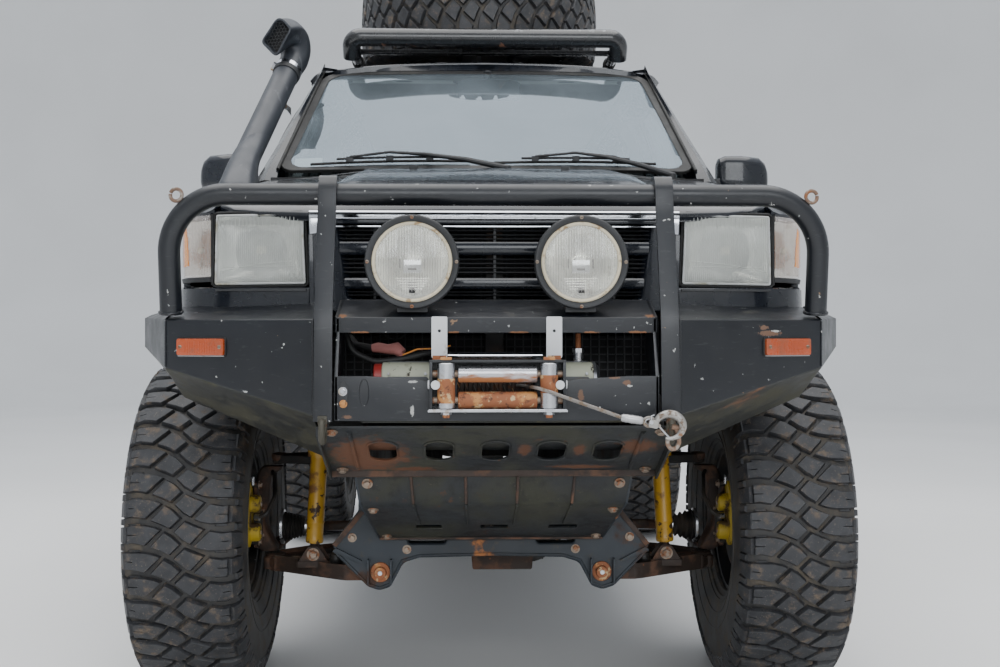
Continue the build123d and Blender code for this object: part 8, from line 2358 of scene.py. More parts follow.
# ---- steering rods
T = Mesh()
zr, yr = 0.427, 0.190
T.rod((-0.300, yr, zr), (0.300, yr, zr), 0.0125, M_ARM, 24)
for s in (-1, 1):
    T.lathe([(0, 0), (0, 0.0135), (0.002, 0.0155), (0.070, 0.0155), (0.072, 0.0135), (0.072, 0)], (s * 0.300, yr, zr), (s, 0, 0), M_ARM, 28)
    T.rod((s * 0.370, yr, zr), (s * 0.625, yr, zr), 0.0085, M_ZINC, 20)
    for k in range(9):
        T.lathe([(0, 0.006), (0, 0.0098), (0.0018, 0.0098), (0.0018, 0.006)], (s * (0.376 + 0.004 * k), yr, zr), (1, 0, 0), M_ZINC, 18, closed=True)
    T.lathe([(0, 0), (0, 0.013), (0.012, 0.013), (0.012, 0)], (s * 0.540, yr, zr), (s, 0, 0), M_ZINC, 6)
    T.rod((s * 0.552, yr, zr), (s * 0.630, yr, zr), 0.0115, M_ARM, 20, 0.0130)
    T.lathe([(0, 0), (0, 0.014), (0.004, 0.019), (0.022, 0.019), (0.027, 0.016), (0.030, 0.010), (0.0315, 0)], (s * 0.640, yr, 0.4095), (0, 0, 1), M_ARM, 28)
    for a in (0.28, 0.335):
        T.lathe([(0, 0.012), (0, 0.0175), (0.010, 0.0175), (0.010, 0.012)], (s * a, yr, zr), (s, 0, 0), M_ZINC, 24, closed=True)
        T.hexbolt((s * (a + 0.005), yr - 0.018, zr - 0.008), (0, 0, -1), 0.005, 0.006, M_AMBER_TRIM)
T.done("Steering_rods", "steering_rods", "rusty_steel", ("steering_rods",), 34)

# ---- front crossmember
C2 = Mesh()
cr = round_poly([(-0.378, 0.545), (-0.452, 0.450), (-0.440, 0.420), (-0.350, 0.330), (-0.318, 0.319), (-0.286, 0.330), (-0.250, 0.398), (-0.205, 0.412), (0.0, 0.416), (0.205, 0.412), (0.250, 0.398), (0.286, 0.330), (0.318, 0.319),
                 (0.350, 0.330), (0.440, 0.420), (0.452, 0.450), (0.378, 0.545), (0.378, 0.618), (0.320, 0.618), (0.320, 0.560), (-0.320, 0.560), (-0.320, 0.618), (-0.378, 0.618)],
                [0.02, 0.012, 0.015, 0.02, 0.03, 0.02, 0.03, 0.03, 0.0, 0.03, 0.03, 0.02, 0.03, 0.02, 0.015, 0.012, 0.02, 0.004, 0.004, 0.012, 0.012, 0.004, 0.004], 4)
holes = [round_poly([(-0.238, 0.452), (-0.128, 0.452), (-0.128, 0.476), (-0.238, 0.476)], 0.010, 4), round_poly([(0.128, 0.452), (0.238, 0.452), (0.238, 0.476), (0.128, 0.476)], 0.010, 4),
         [(0.0 + 0.022 * math.cos(2 * PI * k / 20), 0.490 + 0.022 * math.sin(2 * PI * k / 20)) for k in range(20)]]
panel(C2, cr, holes, lambda a, b: (a, -0.268, b), (0, -1, 0), M_CROSS, 0.050, 0.030, 0.0040)
# pressed lip below, stiffening beads
lip = [(x, z) for x, z in [(-0.446, 0.430), (-0.352, 0.334), (-0.318, 0.323), (-0.288, 0.334), (-0.254, 0.400), (-0.205, 0.414), (0.0, 0.418), (0.205, 0.414), (0.254, 0.400), (0.288, 0.334), (0.318, 0.323), (0.352, 0.334), (0.446, 0.430)]]
C2.tube([(x, -0.2685, z + 0.004) for x, z in lip], 0.0042, M_CROSS, 8)
C2.tube([(x, -0.2680, z) for x, z in ((-0.300, 0.520), (-0.150, 0.512), (0.0, 0.512), (0.150, 0.512), (0.300, 0.520))], 0.006, M_CROSS, 8)
for s in (-1, 1):
    # upright tabs either side of the pivot bolt, washer, nut with a bright middle
    for x in (0.3465, 0.2820):
        C2.box(min(s * x, s * (x + 0.005)), max(s * x, s * (x + 0.005)), -0.289, -0.264, 0.338, 0.410, M_CROSS, 0.0015)
    C2.lathe([(0, 0), (0, 0.0275), (-0.003, 0.0285), (-0.006, 0.0270), (-0.007, 0.018), (-0.012, 0.0165), (-0.019, 0.0155), (-0.021, 0.0)], (s * 0.315, -0.2675, 0.372), (0, 1, 0), M_RUSTROLL, 32)
    C2.lathe([(0, 0), (0, 0.0072), (-0.003, 0.0060), (-0.003, 0)], (s * 0.315, -0.2870, 0.372), (0, 1, 0), M_ZINC, 18)
    C2.hexbolt((s * 0.240, -0.268, 0.436), (0, -1, 0), 0.0085, 0.007, M_AMBER_TRIM)
    C2.hexbolt((s * 0.395, -0.268, 0.470), (0, -1, 0), 0.0085, 0.007, M_AMBER_TRIM)
    # brown wedge strip down the post, hanging wing tip
    C2.prism([(s * 0.452, 0.452), (s * 0.372, 0.548), (s * 0.360, 0.541), (s * 0.440, 0.444)], -0.2745, -0.2670, "Y", M_ARM, 0.0015)
    C2.prism(round_poly([(s * 0.452, 0.432), (s * 0.372, 0.398), (s * 0.365, 0.404), (s * 0.440, 0.442)], 0.002, 2), -0.276, -0.240, "Y", M_CROSS, 0.0015)
C2.done("Front_crossmember", "root", "chassis_paint", ("front_crossmember",), 34)

# ---- skid plates
SK = Mesh()
def up_pt(a, b, o=0.0):
    return (a, b, 0.838 - (b + 0.930) * (0.138 / 0.310) - o)
ovals = []
for x in (-0.274, -0.137, 0.0, 0.137, 0.274):
    ovals.append([(x + 0.036 * math.cos(t), -0.775 + (0.030 if math.sin(t) > 0 else -0.030) + 0.036 * math.sin(t)) for t in [2 * PI * k / 32 for k in range(32)]])
panel(SK, round_poly([(-0.420, -0.928), (0.420, -0.928), (0.420, -0.622), (-0.420, -0.622)], 0.012, 4), ovals, lambda a, b: up_pt(a, b, 0.0), (0, -0.407, 0.914), M_SKID, 0.0055, 0.040, 0.0015)
# rolled collar in each oval, folded edges, two beads
for h in ovals:
    SK.tube([up_pt(a, b, 0.0055) for a, b in h + [h[0], h[1]]], 0.0030, M_SKID, 8)
# pressed scoop over the front part of each oval, open to the back
for x in (-0.274, -0.137, 0.0, 0.137, 0.274):
    rings = []
    for t in (0.0, 0.25, 0.6, 1.0):
        y = -0.846 + 0.148 * t
        zp = up_pt(x, y)[2] + 0.001
        zs = zp + 0.0015 + 0.0215 * t
        w = 0.062 + 0.004 * math.sin(PI * min(1.0, 0.3 + t))
        rings.append([(x - w - 0.006, y, zp), (x - w + 0.006, y, zs + 0.002), (x + w - 0.006, y, zs + 0.002), (x + w + 0.006, y, zp), (x + w + 0.003, y, zp), (x + w - 0.008, y, zs), (x - w + 0.008, y, zs), (x - w - 0.003, y, zp)])
    SK.loft(rings, M_SKID, bevel=0.0006)
for s in (-1, 1):
    SK.loft([[up_pt(s * 0.4195, y, 0.004), up_pt(s * 0.4195, y, 0.026), up_pt(s * 0.4135, y, 0.026), up_pt(s * 0.4135, y, 0.004)] for y in (-0.925, -0.770, -0.625)], M_SKID, bevel=0.0015)
    for x in (0.345,):
        SK.tube([up_pt(s * x, y, 0.0055) for y in (-0.900, -0.86, -0.70, -0.650)], 0.0055, M_SKID, 8)
    for y in (-0.905, -0.645):
        q = Vector(up_pt(s * 0.385, y, 0.0055))
        SK.hexbolt(q, (0, -0.407, -0.914), 0.010, 0.008, M_AMBER_TRIM)
SK.loft([[up_pt(x, -0.6215, -0.001), up_pt(x, -0.6215, 0.018), up_pt(x, -0.6285, 0.018), up_pt(x, -0.6285, -0.001)] for x in (-0.415, 0.0, 0.415)], M_ARM, bevel=0.0015)
# lower plate: steep band above, sloping plate below
band, slope = math.dist((-0.604, 0.690), (-0.572, 0.607)), math.dist((-0.572, 0.607), (-0.285, 0.470))
def low_pt(a, b, o=0.0):
    """a is the fraction of the half width, b the way down the bent plate."""
    half = curve([(0.0, 0.360), (band, 0.350), (band + slope, 0.318)], b)
    if b <= band:
        t = b / band
        y, z, n = -0.604 + 0.032 * t, 0.690 - 0.083 * t, (-0.933, -0.360)
    else:
        t = (b - band) / slope
        y, z, n = -0.572 + 0.287 * t, 0.607 - 0.137 * t, (-0.431, -0.902)
    return (a * half, y + n[0] * o, z + n[1] * o)
slots = []
for x0, x1 in ((-0.213, -0.141), (-0.033, 0.044), (0.157, 0.237)):
    h = 0.334
    slots.append(round_poly([(x0 / h, band + 0.190), (x1 / h, band + 0.190), (x1 / h, band + 0.222), (x0 / h, band + 0.222)], 0.012, 4))
panel(SK, [(-1.0, 0.0), (1.0, 0.0), (1.0, band), (1.0, band + slope), (-1.0, band + slope), (-1.0, band)], slots, lambda a, b: low_pt(a, b), (0, -0.62, -0.78), M_SKID, 0.0055, 0.032, 0.0012)
for x in (-0.210, -0.072, 0.061, 0.205):
    for k, (b0, b1) in enumerate(((0.004, band - 0.002), (band + 0.004, band + 0.170))):
        a = x / 0.352
        SK.loft([[low_pt(a - 0.012, b, 0.0), low_pt(a - 0.007, b, 0.0055), low_pt(a + 0.007, b, 0.0055), low_pt(a + 0.012, b, 0.0)] for b in (b0, (b0 + b1) / 2, b1)], M_SKID if k else M_ARM, bevel=0.0012)
for s in (-1, 1):
    SK.loft([[low_pt(s * 1.0, b, 0.001), low_pt(s * 1.0, b, -0.030), low_pt(s * 0.984, b, -0.030), low_pt(s * 0.984, b, 0.001)] for b in (0.0, band, band + 0.15, band + slope)], M_CROSS, bevel=0.001)
    for b in (0.028, band + 0.045, band + slope - 0.030):
        q = Vector(low_pt(s * 0.915, b, 0.001))
        SK.hexbolt(q, (0, -0.93, -0.36) if b < band else (0, -0.431, -0.902), 0.0095, 0.008, M_AMBER_TRIM)
SK.tube([low_pt(a, band + slope - 0.002, -0.001) for a in [-0.99 + 0.11 * k for k in range(19)]], 0.0055, M_ARM, 8)
SK.done("Skid_plates", "root", "chassis_paint", ("skid_plates",), 34)

# ---- ladder frame: boxed rails, crossmembers, mounts, brackets
LF = Mesh()
RAILP = [(-0.860, 0.905), (-0.860, 0.826), (-0.640, 0.732), (-0.450, 0.700), (-0.200, 0.625), (0.200, 0.620), (3.735, 0.620), (3.735, 0.760), (0.200, 0.760), (-0.200, 0.775), (-0.420, 0.850), (-0.640, 0.905)]
RI, RO = 0.320, 0.400
rail_hole = [[(y + 0.022 * math.cos(2 * PI * k / 20), 0.690 + 0.022 * math.sin(2 * PI * k / 20)) for k in range(20)] for y in (0.90, 1.42, 1.95, 2.45, 3.05, 3.50)]
rp = round_poly(RAILP, [0.006, 0.006, 0.05, 0.08, 0.10, 0.08, 0.010, 0.010, 0.08, 0.12, 0.12, 0.04], 4)
panel(LF, rp, rail_hole, lambda a, b: (RO, a, b), (1, 0, 0), M_CHASSIS, RO - RI, 0.090, 0.006)
for y in (0.62, 1.10, 1.70, 2.16, 2.70, 3.28):
    for z in (0.648, 0.732):
        LF.hexbolt((RO - 0.001, y, z), (1, 0, 0), 0.008, 0.007, M_AMBER_TRIM)
# weld seam along the box, brackets on the side
LF.tube([(RO - 0.0005, y, 0.748) for y in (0.25, 1.0, 2.0, 3.0, 3.72)], 0.0035, M_CHASSIS, 8)
for y in (0.56, 1.30, 2.08, 3.56):       # body mounts: cup, rubber, washer, bolt
    LF.prism(round_poly([(0.322, y - 0.050), (0.398, y - 0.050), (0.404, y - 0.020), (0.404, y + 0.020), (0.398, y + 0.050), (0.322, y + 0.050)], 0.008, 3), 0.757, 0.766, "Z", M_CHASSIS, 0.002)
    LF.lathe([(0, 0), (0, 0.034), (0.004, 0.038), (0.028, 0.038), (0.034, 0.033), (0.040, 0.033), (0.046, 0.037), (0.066, 0.037), (0.072, 0.030), (0.072, 0)], (0.360, y, 0.765), (0, 0, 1), M_BOOT, 36)
    LF.lathe([(0, 0), (0, 0.030), (0.003, 0.030), (0.003, 0)], (0.360, y, 0.8365), (0, 0, 1), M_AMBER_TRIM, 28)
for y0, y1 in ((2.110, 2.170), (3.430, 3.490)):
    yc = (y0 + y1) / 2
    for x in (0.470, 0.545):
        LF.prism(round_poly([(y0 - 0.004, 0.698), (y1 + 0.004, 0.698), (yc + 0.024, 0.642), (yc - 0.024, 0.642)], [0.006, 0.006, 0.022, 0.022], 5), x - 0.005, x, "X", M_CHASSIS, 0.0015)
        LF.hexbolt((x - (0.005 if x < 0.5 else 0.0), yc, 0.660), (-1 if x < 0.5 else 1, 0, 0), 0.011, 0.009, M_AMBER_TRIM)
    LF.prism(round_poly([(0.396, y0), (0.545, y0), (0.545, y1), (0.396, y1)], 0.006, 3), 0.688, 0.700, "Z", M_CHASSIS, 0.002)
LF = both(LF)
for y, z, hy, hz in ((-0.500, 0.800, 0.030, 0.035), (0.640, 0.629, 0.060, 0.009), (1.480, 0.730, 0.040, 0.028), (2.250, 0.700, 0.030, 0.038), (2.960, 0.715, 0.025, 0.035), (3.690, 0.690, 0.030, 0.050)):
    LF.prism(round_poly([(y - hy, z - hz), (y + hy, z - hz), (y + hy, z + hz), (y - hy, z + hz)], min(hy, hz) * 0.35, 4), -RI - 0.002, RI + 0.002, "X", M_CHASSIS)
    for s in (-1, 1):
        LF.prism([(s * (RI + 0.001), y - hy - 0.008), (s * (RI - 0.060), y - hy + 0.006), (s * (RI - 0.060), y + hy - 0.006), (s * (RI + 0.001), y + hy + 0.008)], z + hz - 0.002, z + hz + 0.005, "Z", M_CHASSIS, 0.0015)
        plate_bolts(LF, [(s * (RI - 0.030), y, z + hz + 0.0048)], (0, 0, 1), 0.008, 0.006)
LF.done("Ladder_frame", "root", "chassis_paint", ("ladder_frame",), 34)

# ---- dark sheets between the gearbox and the rails: painted shade that closes off the view into the underbody
US = Mesh()
for s in (-1, 1):
    x0, x1 = 0.1505, 0.312
    spans = ((x0, 0.206), (0.286, x1)) if s < 0 else ((x0, x1),)      # the exhaust passes on the left
    for k, (za, zb, y0) in enumerate(((0.606, 0.730, 0.372), (0.730, 0.836, 0.352))):
        for xa, xb in (spans if k == 0 else ((x0, x1),)):
            US.prism([(y0 + 0.010, za), (y0 + 0.013, za), (y0 - 0.007, zb), (y0 - 0.010, zb)], min(s * xa, s * xb), max(s * xa, s * xb), "X", M_LINER, 0.001)
    US.loft([[(s * x, 0.340, 0.831), (s * x, 0.430, 0.833), (s * x, 0.430, 0.837), (s * x, 0.340, 0.835)] for x in (x0, (x0 + x1) / 2, x1)], M_LINER)
    for x in ((0.19, 0.296) if s < 0 else (0.19, 0.238, 0.286)):
        US.tube([(s * x, 0.380, 0.622), (s * x, 0.360, 0.730), (s * x, 0.338, 0.826)], 0.0045, M_LINER, 8)
        US.hexbolt((s * x, 0.350, 0.829), (0, -0.2, -0.98), 0.006, 0.005, M_AMBER_TRIM)
US.done("Underbody_shade_sheets", "root", "chassis_paint")

# ------------------------------------------------------------------ engine bay
E = Mesh()
E.prism(round_poly([(-0.150, 0.845), (0.150, 0.845), (0.205, 0.930), (0.235, 1.080), (0.240, 1.150), (-0.240, 1.150), (-0.235, 1.080), (-0.205, 0.930)], 0.012, 3), -0.330, 0.230, "Y", M_CAST, 0.006)
for s in (-1, 1):
    for k in range(5):      # ribs on the block sides
        y = -0.280 + 0.115 * k
        E.prism([(s * 0.200, 0.930), (s * 0.224, 1.060), (s * 0.247, 1.065), (s * 0.222, 0.928)], y, y + 0.008, "Y", M_CAST, 0.002)
E.prism(round_poly([(-0.118, 0.778), (0.118, 0.778), (0.130, 0.800), (0.130, 0.848), (-0.130, 0.848), (-0.130, 0.800)], 0.016, 4), -0.325, 0.175, "Y", M_CHASSIS, 0.006)
for k in range(8):
    for s in (-1, 1):
        E.hexbolt((s * 0.122, -0.300 + 0.065 * k, 0.848), (0, 0, -1), 0.006, 0.006, M_AMBER_TRIM, False)
for s in (-1, 1):           # two leaning rocker covers with bolts and a filler cap
    E.prism(round_poly([(s * 0.050, 1.150), (s * 0.238, 1.150), (s * 0.232, 1.205), (s * 0.200, 1.232), (s * 0.090, 1.248), (s * 0.052, 1.230)], 0.018, 4), -0.300, 0.190, "Y", M_CHASSIS, 0.010, 3)
    for k in range(5):
        E.hexbolt((s * 0.142, -0.255 + 0.100 * k, 1.240), (s * 0.12, 0, 1), 0.006, 0.010, M_ZINC)
        E.tube([(s * 0.030, -0.240 + 0.100 * k, 1.262), (s * 0.110, -0.240 + 0.100 * k, 1.276), (s * 0.190, -0.235 + 0.100 * k, 1.245), (s * 0.214, -0.235 + 0.100 * k, 1.222)], 0.0045, M_BOOT, 8)
E.lathe([(0, 0), (0, 0.030), (0.010, 0.034), (0.022, 0.034), (0.026, 0.028), (0.026, 0)], (0.150, 0.110, 1.238), (0.12, 0, 1), M_BLACKP, 12)
# intake plenum with six runners and throttle
E.prism(round_poly([(-0.100, 1.246), (0.100, 1.246), (0.112, 1.275), (0.090, 1.312), (-0.090, 1.312), (-0.112, 1.275)], 0.018, 4), -0.220, 0.130, "Y", M_ALU, 0.010, 3)
for k in range(6):
    y = -0.190 + 0.058 * k
    E.tube(arc_path([(0.0, y, 1.300), (-0.120 if k % 2 else 0.120, y, 1.285), (-0.150 if k % 2 else 0.150, y, 1.205)], [0.04], 6), 0.021, M_ALU, 14)
E.lathe([(0, 0), (0, 0.038), (0.006, 0.042), (0.050, 0.040), (0.060, 0.044), (0.066, 0.044), (0.066, 0)], (0.0, -0.215, 1.280), (0, -1, 0), M_ALU, 28)
E.tube(arc_path([(0.0, -0.280, 1.280), (0.0, -0.330, 1.284), (0.150, -0.350, 1.270), (0.235, -0.300, 1.250)], [0.03, 0.05], 6), 0.036, M_BOOT, 20)
# pulleys, belt, fan
for x, z, r in ((0.0, 0.900, 0.075), (0.0, 1.060, 0.062), (-0.160, 1.090, 0.040), (0.165, 1.120, 0.052), (0.120, 0.960, 0.032)):
    E.lathe([(0, 0), (0, r - 0.010), (0.003, r), (0.006, r), (0.012, r - 0.008), (0.018, r), (0.021, r), (0.024, r - 0.010), (0.018, r * 0.5), (0.018, 0)], (x, -0.331, z), (0, -1, 0), M_AMBER_TRIM, 36)
E.lathe([(0, 0), (0, 0.062), (0.010, 0.066), (0.090, 0.066), (0.100, 0.060), (0.100, 0)], (0.165, -0.330, 1.120), (0, 1, 0), M_ALU, 32)
bl = [(-0.206, 1.110), (-0.180, 1.132), (-0.150, 1.128), (0.000, 1.122), (0.150, 1.172), (0.200, 1.165), (0.216, 1.110), (0.150, 0.945), (0.060, 0.850), (0.0, 0.825), (-0.060, 0.850)]
E.tube([(x, -0.343, z) for x, z in bl + [bl[0]]], 0.0075, M_BOOT, 8)
for k in range(7):
    a = 2 * PI * k / 7
    c, s = math.cos(a), math.sin(a)
    q = [(0.040, -0.022), (0.062, -0.034), (0.150, -0.044), (0.162, -0.010), (0.150, 0.030), (0.062, 0.026)]
    E.loft([[(r * c - t * s, -0.366 + 0.22 * (t + 0.03) * 0.35 + o, 1.060 + r * s + t * c) for r, t in q] for o in (0.0, 0.0035)], M_BLACKP, bevel=0.001)
E.lathe([(0, 0), (0, 0.040), (0.004, 0.046), (0.020, 0.046), (0.026, 0.030), (0.026, 0)], (0, -0.347, 1.060), (0, -1, 0), M_ALU, 28)
# headers down each side
for s in (-1, 1):
    for k in range(3):
        y = -0.190 + 0.150 * k
        E.tube(arc_path([(s * 0.222, y, 1.120), (s * 0.246, y + 0.01, 1.095), (s * 0.246, 0.120, 0.930)], [0.02], 5), 0.0145, M_RUSTROLL, 14)
E.done("Engine", "root", "cast_metal", ("engine",), 34)
# battery, air box, reservoir and booster on the inner wings
EB = Mesh()
def tray(mesh, x0, x1, y0, y1, z0, z1, m, b=0.006):
    mesh.prism(round_poly([(x0, y0), (x1, y0), (x1, y1), (x0, y1)], 0.012, 4), z0, z1, "Z", m, b)
tray(EB, 0.470, 0.660, -0.180, 0.110, 1.130, 1.140, M_CHASSIS, 0.002)
tray(EB, 0.480, 0.650, -0.165, 0.095, 1.142, 1.300, M_BLACKP, 0.005)
tray(EB, 0.476, 0.654, -0.170, 0.100, 1.296, 1.325, M_CHASSIS, 0.004)
for y, m in ((-0.135, M_PINK), (0.060, M_BLACKP)):
    EB.lathe([(0, 0), (0, 0.010), (0.018, 0.009), (0.018, 0)], (0.512, y, 1.324), (0, 0, 1), M_ZINC, 20)
    EB.tube(arc_path([(0.512, y, 1.338), (0.512, y, 1.352), (0.440, y - 0.02, 1.350), (0.400, y - 0.04, 1.180)], [0.01, 0.04], 4), 0.0065, m, 10)
EB.rod((0.490, -0.035, 1.332), (0.640, -0.035, 1.332), 0.006, M_AMBER_TRIM, 12)
tray(EB, -0.650, -0.440, -0.150, 0.120, 1.120, 1.250, M_BLACKP, 0.012)
tray(EB, -0.644, -0.446, -0.144, 0.114, 1.253, 1.330, M_BLACKP, 0.018)
for y in (-0.10, 0.0, 0.08):
    EB.box(-0.444, -0.436, y - 0.010, y + 0.010, 1.235, 1.275, M_ZINC, 0.001)
EB.tube(arc_path([(-0.450, 0.0, 1.290), (-0.380, 0.0, 1.300), (-0.330, -0.150, 1.290)], [0.04], 5), 0.032, M_BOOT, 20)
EB.lathe([(0, 0), (0, 0.030), (0.006, 0.110), (0.016, 0.118), (0.050, 0.118), (0.056, 0.112), (0.066, 0.060), (0.070, 0)], (0.420, 0.290, 1.260), (0, -1, 0), M_CHASSIS, 40)
EB.rod((0.420, 0.225, 1.260), (0.420, 0.130, 1.268), 0.020, M_ALU, 20, cap=0.003)
tray(EB, 0.392, 0.448, 0.130, 0.205, 1.284, 1.325, M_WHITE, 0.006)
EB.lathe([(0, 0), (0, 0.024), (0.014, 0.024), (0.014, 0)], (0.420, 0.165, 1.324), (0, 0, 1), M_BLACKP, 16)
tray(EB, -0.640, -0.520, 0.150, 0.270, 1.130, 1.310, M_WHITE, 0.016)
EB.lathe([(0, 0), (0, 0.026), (0.016, 0.026), (0.016, 0)], (-0.580, 0.205, 1.309), (0, 0, 1), M_BLACKP, 16)
# shelves these stand on
for s in (-1, 1):
    EB.prism([(s * 0.404, -0.40), (s * 0.672, -0.34), (s * 0.672, 0.285), (s * 0.404, 0.285)], 1.112, 1.118, "Z", M_DARK, 0.001)
    EB.prism([(s * 0.404, -0.40), (s * 0.412, -0.40), (s * 0.412, 0.285), (s * 0.404, 0.285)], 0.800, 1.118, "Z", M_DARK, 0.001)
EB.done("Engine_bay_fittings", "root", "black_plastic")

# ------------------------------------------------------------------ gearbox, transfer case, shafts
G2 = Mesh()
rings = []
for y, w, z0, z1 in ((0.252, 0.148, 0.650, 0.828), (0.300, 0.148, 0.646, 0.826), (0.420, 0.110, 0.655, 0.805), (0.560, 0.088, 0.665, 0.790), (0.760, 0.088, 0.662, 0.790), (0.800, 0.112, 0.652, 0.800), (0.940, 0.120, 0.645, 0.805), (0.978, 0.120, 0.650, 0.800)):
    rings.append([(a, y, b) for a, b in round_poly([(-w, z0), (w, z0), (w, z1), (-w, z1)], min(w, (z1 - z0) / 2) * 0.55, 5)])
G2.loft(rings, M_CAST, bevel=0.004)
for y in (0.300, 0.790):
    w = 0.150 if y < 0.5 else 0.116
    for k in range(10):
        a = 2 * PI * k / 10
        G2.hexbolt((w * 0.90 * math.cos(a), y - 0.004, 0.737 + 0.080 * math.sin(a)), (0, 1 if y < 0.5 else -1, 0), 0.006, 0.012, M_AMBER_TRIM, False)
for k in range(6):
    for s in (-1, 1):
        G2.box(min(s * 0.084, s * 0.092), max(s * 0.084, s * 0.092), 0.570 + 0.034 * k, 0.576 + 0.034 * k, 0.680, 0.775, M_CAST, 0.001)
rings = []
for y, x0, x1, z0, z1 in ((0.987, -0.130, 0.175, 0.600, 0.800), (1.020, -0.190, 0.225, 0.572, 0.808), (1.150, -0.203, 0.238, 0.562, 0.813), (1.270, -0.196, 0.232, 0.566, 0.806), (1.328, -0.120, 0.200, 0.590, 0.770)):
    rings.append([(a, y, b) for a, b in round_poly([(x0, z0), (x1, z0), (x1, z1), (x0, z1)], 0.050, 5)])
G2.loft(rings, M_CAST, bevel=0.005)
for k in range(14):
    a = 2 * PI * k / 14
    G2.hexbolt((0.018 + 0.200 * math.cos(a), 1.150, 0.688 + 0.112 * math.sin(a)), (math.cos(a), 0, math.sin(a)), 0.006, 0.008, M_AMBER_TRIM, False)
def joint(mesh, c, d, r):
    """Universal joint: two yokes and a cross at c along d."""
    c, d = Vector(c), Vector(d).normalized()
    u = d.cross(Vector((1, 0, 0))).normalized()
    w = d.cross(u)
    mesh.rod(c - u * r, c + u * r, r * 0.30, M_AMBER_TRIM, 18, cap=0.002)
    mesh.rod(c - w * r, c + w * r, r * 0.30, M_AMBER_TRIM, 18, cap=0.002)
    for k, e in ((-1, u), (1, w)):
        for s in (-1, 1):
            p = c + e * (s * r * 0.80)
            mesh.rod(p - d * (k * -1) * r * 0.15, p + d * k * r * 0.95, r * 0.24, M_ARM, 14, cap=0.002)
        mesh.rod(c + d * k * r * 0.85, c + d * k * r * 1.20, r * 0.95, M_ARM, 28, cap=0.003)
a0, a1 = Vector((0, 1.325, 0.665)), Vector((0, 2.586, 0.520))
d = (a1 - a0).normalized()
joint(G2, a0 + d * 0.055, d, 0.040)
G2.lathe([(0, 0), (0, 0.040), (0.020, 0.0355), (0.900, 0.0355), (0.915, 0.030), (0.935, 0.030), (0.940, 0.0355), (1.050, 0.0355), (1.070, 0.040), (1.070, 0)], a0 + d * 0.100, d, M_CHASSIS, 36)
joint(G2, a0 + d * 1.215, d, 0.040)
b0, b1 = Vector((0.160, 0.990, 0.600)), Vector((0.110, 0.185, 0.530))
d = (b1 - b0).normalized()
joint(G2, b0 + d * 0.045, d, 0.032)
G2.lathe([(0, 0), (0, 0.032), (0.014, 0.0265), (0.560, 0.0265), (0.575, 0.022), (0.600, 0.022), (0.606, 0.0265), (0.640, 0.030), (0.640, 0)], b0 + d * 0.080, d, M_CHASSIS, 32)
joint(G2, b0 + d * 0.760, d, 0.032)
G2.done("Driveline", "root", "cast_metal", ("driveline",), 34)

# ------------------------------------------------------------------ fuel tank and exhaust
FT = Mesh()
rings = []
for z, e in ((0.6405, 0.022), (0.650, 0.008), (0.668, 0.002), (0.722, 0.001), (0.726, -0.006), (0.732, -0.006), (0.736, 0.001), (0.790, 0.002), (0.806, 0.010), (0.8145, 0.024)):
    rings.append([(a, b, z) for a, b in round_poly([(-0.150 + max(e, 0) - min(e, 0) * 0 + (e if e < 0 else 0), 3.012 + e), (0.283 - e, 3.012 + e), (0.283 - e, 3.598 - e), (-0.150 + e, 3.598 - e)], 0.045, 5)])
FT.loft(rings, M_BLACKP)
for y in (3.140, 3.460):
    FT.loft([[(x, y - 0.018, z), (x, y + 0.018, z), (x + nx, y + 0.018, z + nz), (x + nx, y - 0.018, z + nz)] for x, z, nx, nz in ((-0.156, 0.815, 0.003, 0.0), (-0.157, 0.700, 0.003, 0.0), (-0.150, 0.640, 0.002, 0.002), (-0.120, 0.6355, 0.0, 0.003), (0.250, 0.6355, 0.0, 0.003), (0.282, 0.640, -0.002, 0.002), (0.290, 0.700, -0.003, 0.0), (0.289, 0.815, -0.003, 0.0))], M_ARM, bevel=0.0008)
    FT.hexbolt((0.065, y, 0.6355), (0, 0, -1), 0.010, 0.008, M_AMBER_TRIM)
FT.lathe([(0, 0), (0, 0.018), (0.004, 0.020), (0.010, 0.020), (0.010, 0)], (0.160, 3.200, 0.6410), (0, 0, -1), M_ZINC, 6)
FT.done("Fuel_tank", "root", "black_plastic", ("fuel_tank",), 34)
EX = Mesh()
xe, ze = -0.262, 0.588
EX.tube(arc_path([(-0.240, 0.330, 0.700), (-0.250, 0.430, 0.640), (xe, 0.560, ze), (xe, 1.570, ze)], [0.08, 0.10], 7), 0.0255, M_ARM, 24)
EX.lathe([(0, 0), (0, 0.030), (0.012, 0.034), (0.030, 0.066), (0.034, 0.0705), (0.042, 0.0705), (0.046, 0.068), (0.594, 0.068), (0.598, 0.0705), (0.606, 0.0705), (0.610, 0.066), (0.628, 0.034), (0.640, 0.030), (0.640, 0)], (xe, 1.560, ze - 0.008), (0, 1, 0), M_ARM, 40)
EX.tube(arc_path([(xe, 2.180, ze), (xe, 3.560, ze), (xe - 0.030, 3.700, ze - 0.010), (xe - 0.060, 3.848, 0.562)], [0.10, 0.10], 7), 0.0255, M_ARM, 24)
EX.lathe([(0, 0.0215), (0, 0.0262), (0.002, 0.0275), (0.050, 0.0275), (0.050, 0.0215)], Vector((xe - 0.0515, 3.806, 0.5685)), Vector((-0.20, 0.97, -0.14)), M_CHROME, 32, closed=True)
for y in (0.640, 1.500, 2.260, 3.300):
    EX.lathe([(-0.010, 0.0255), (-0.010, 0.0285), (0.010, 0.0285), (0.010, 0.0255)], (xe, y, ze), (0, 1, 0), M_AMBER_TRIM, 28, closed=True)
    EX.rod((xe, y, ze + 0.026), (xe + 0.012, y, ze + 0.062), 0.005, M_AMBER_TRIM, 12)
    EX.lathe([(-0.006, 0.006), (-0.006, 0.016), (0.006, 0.016), (0.006, 0.006)], (xe + 0.014, y, ze + 0.074), (0, 1, 0), M_BOOT, 20, closed=True)
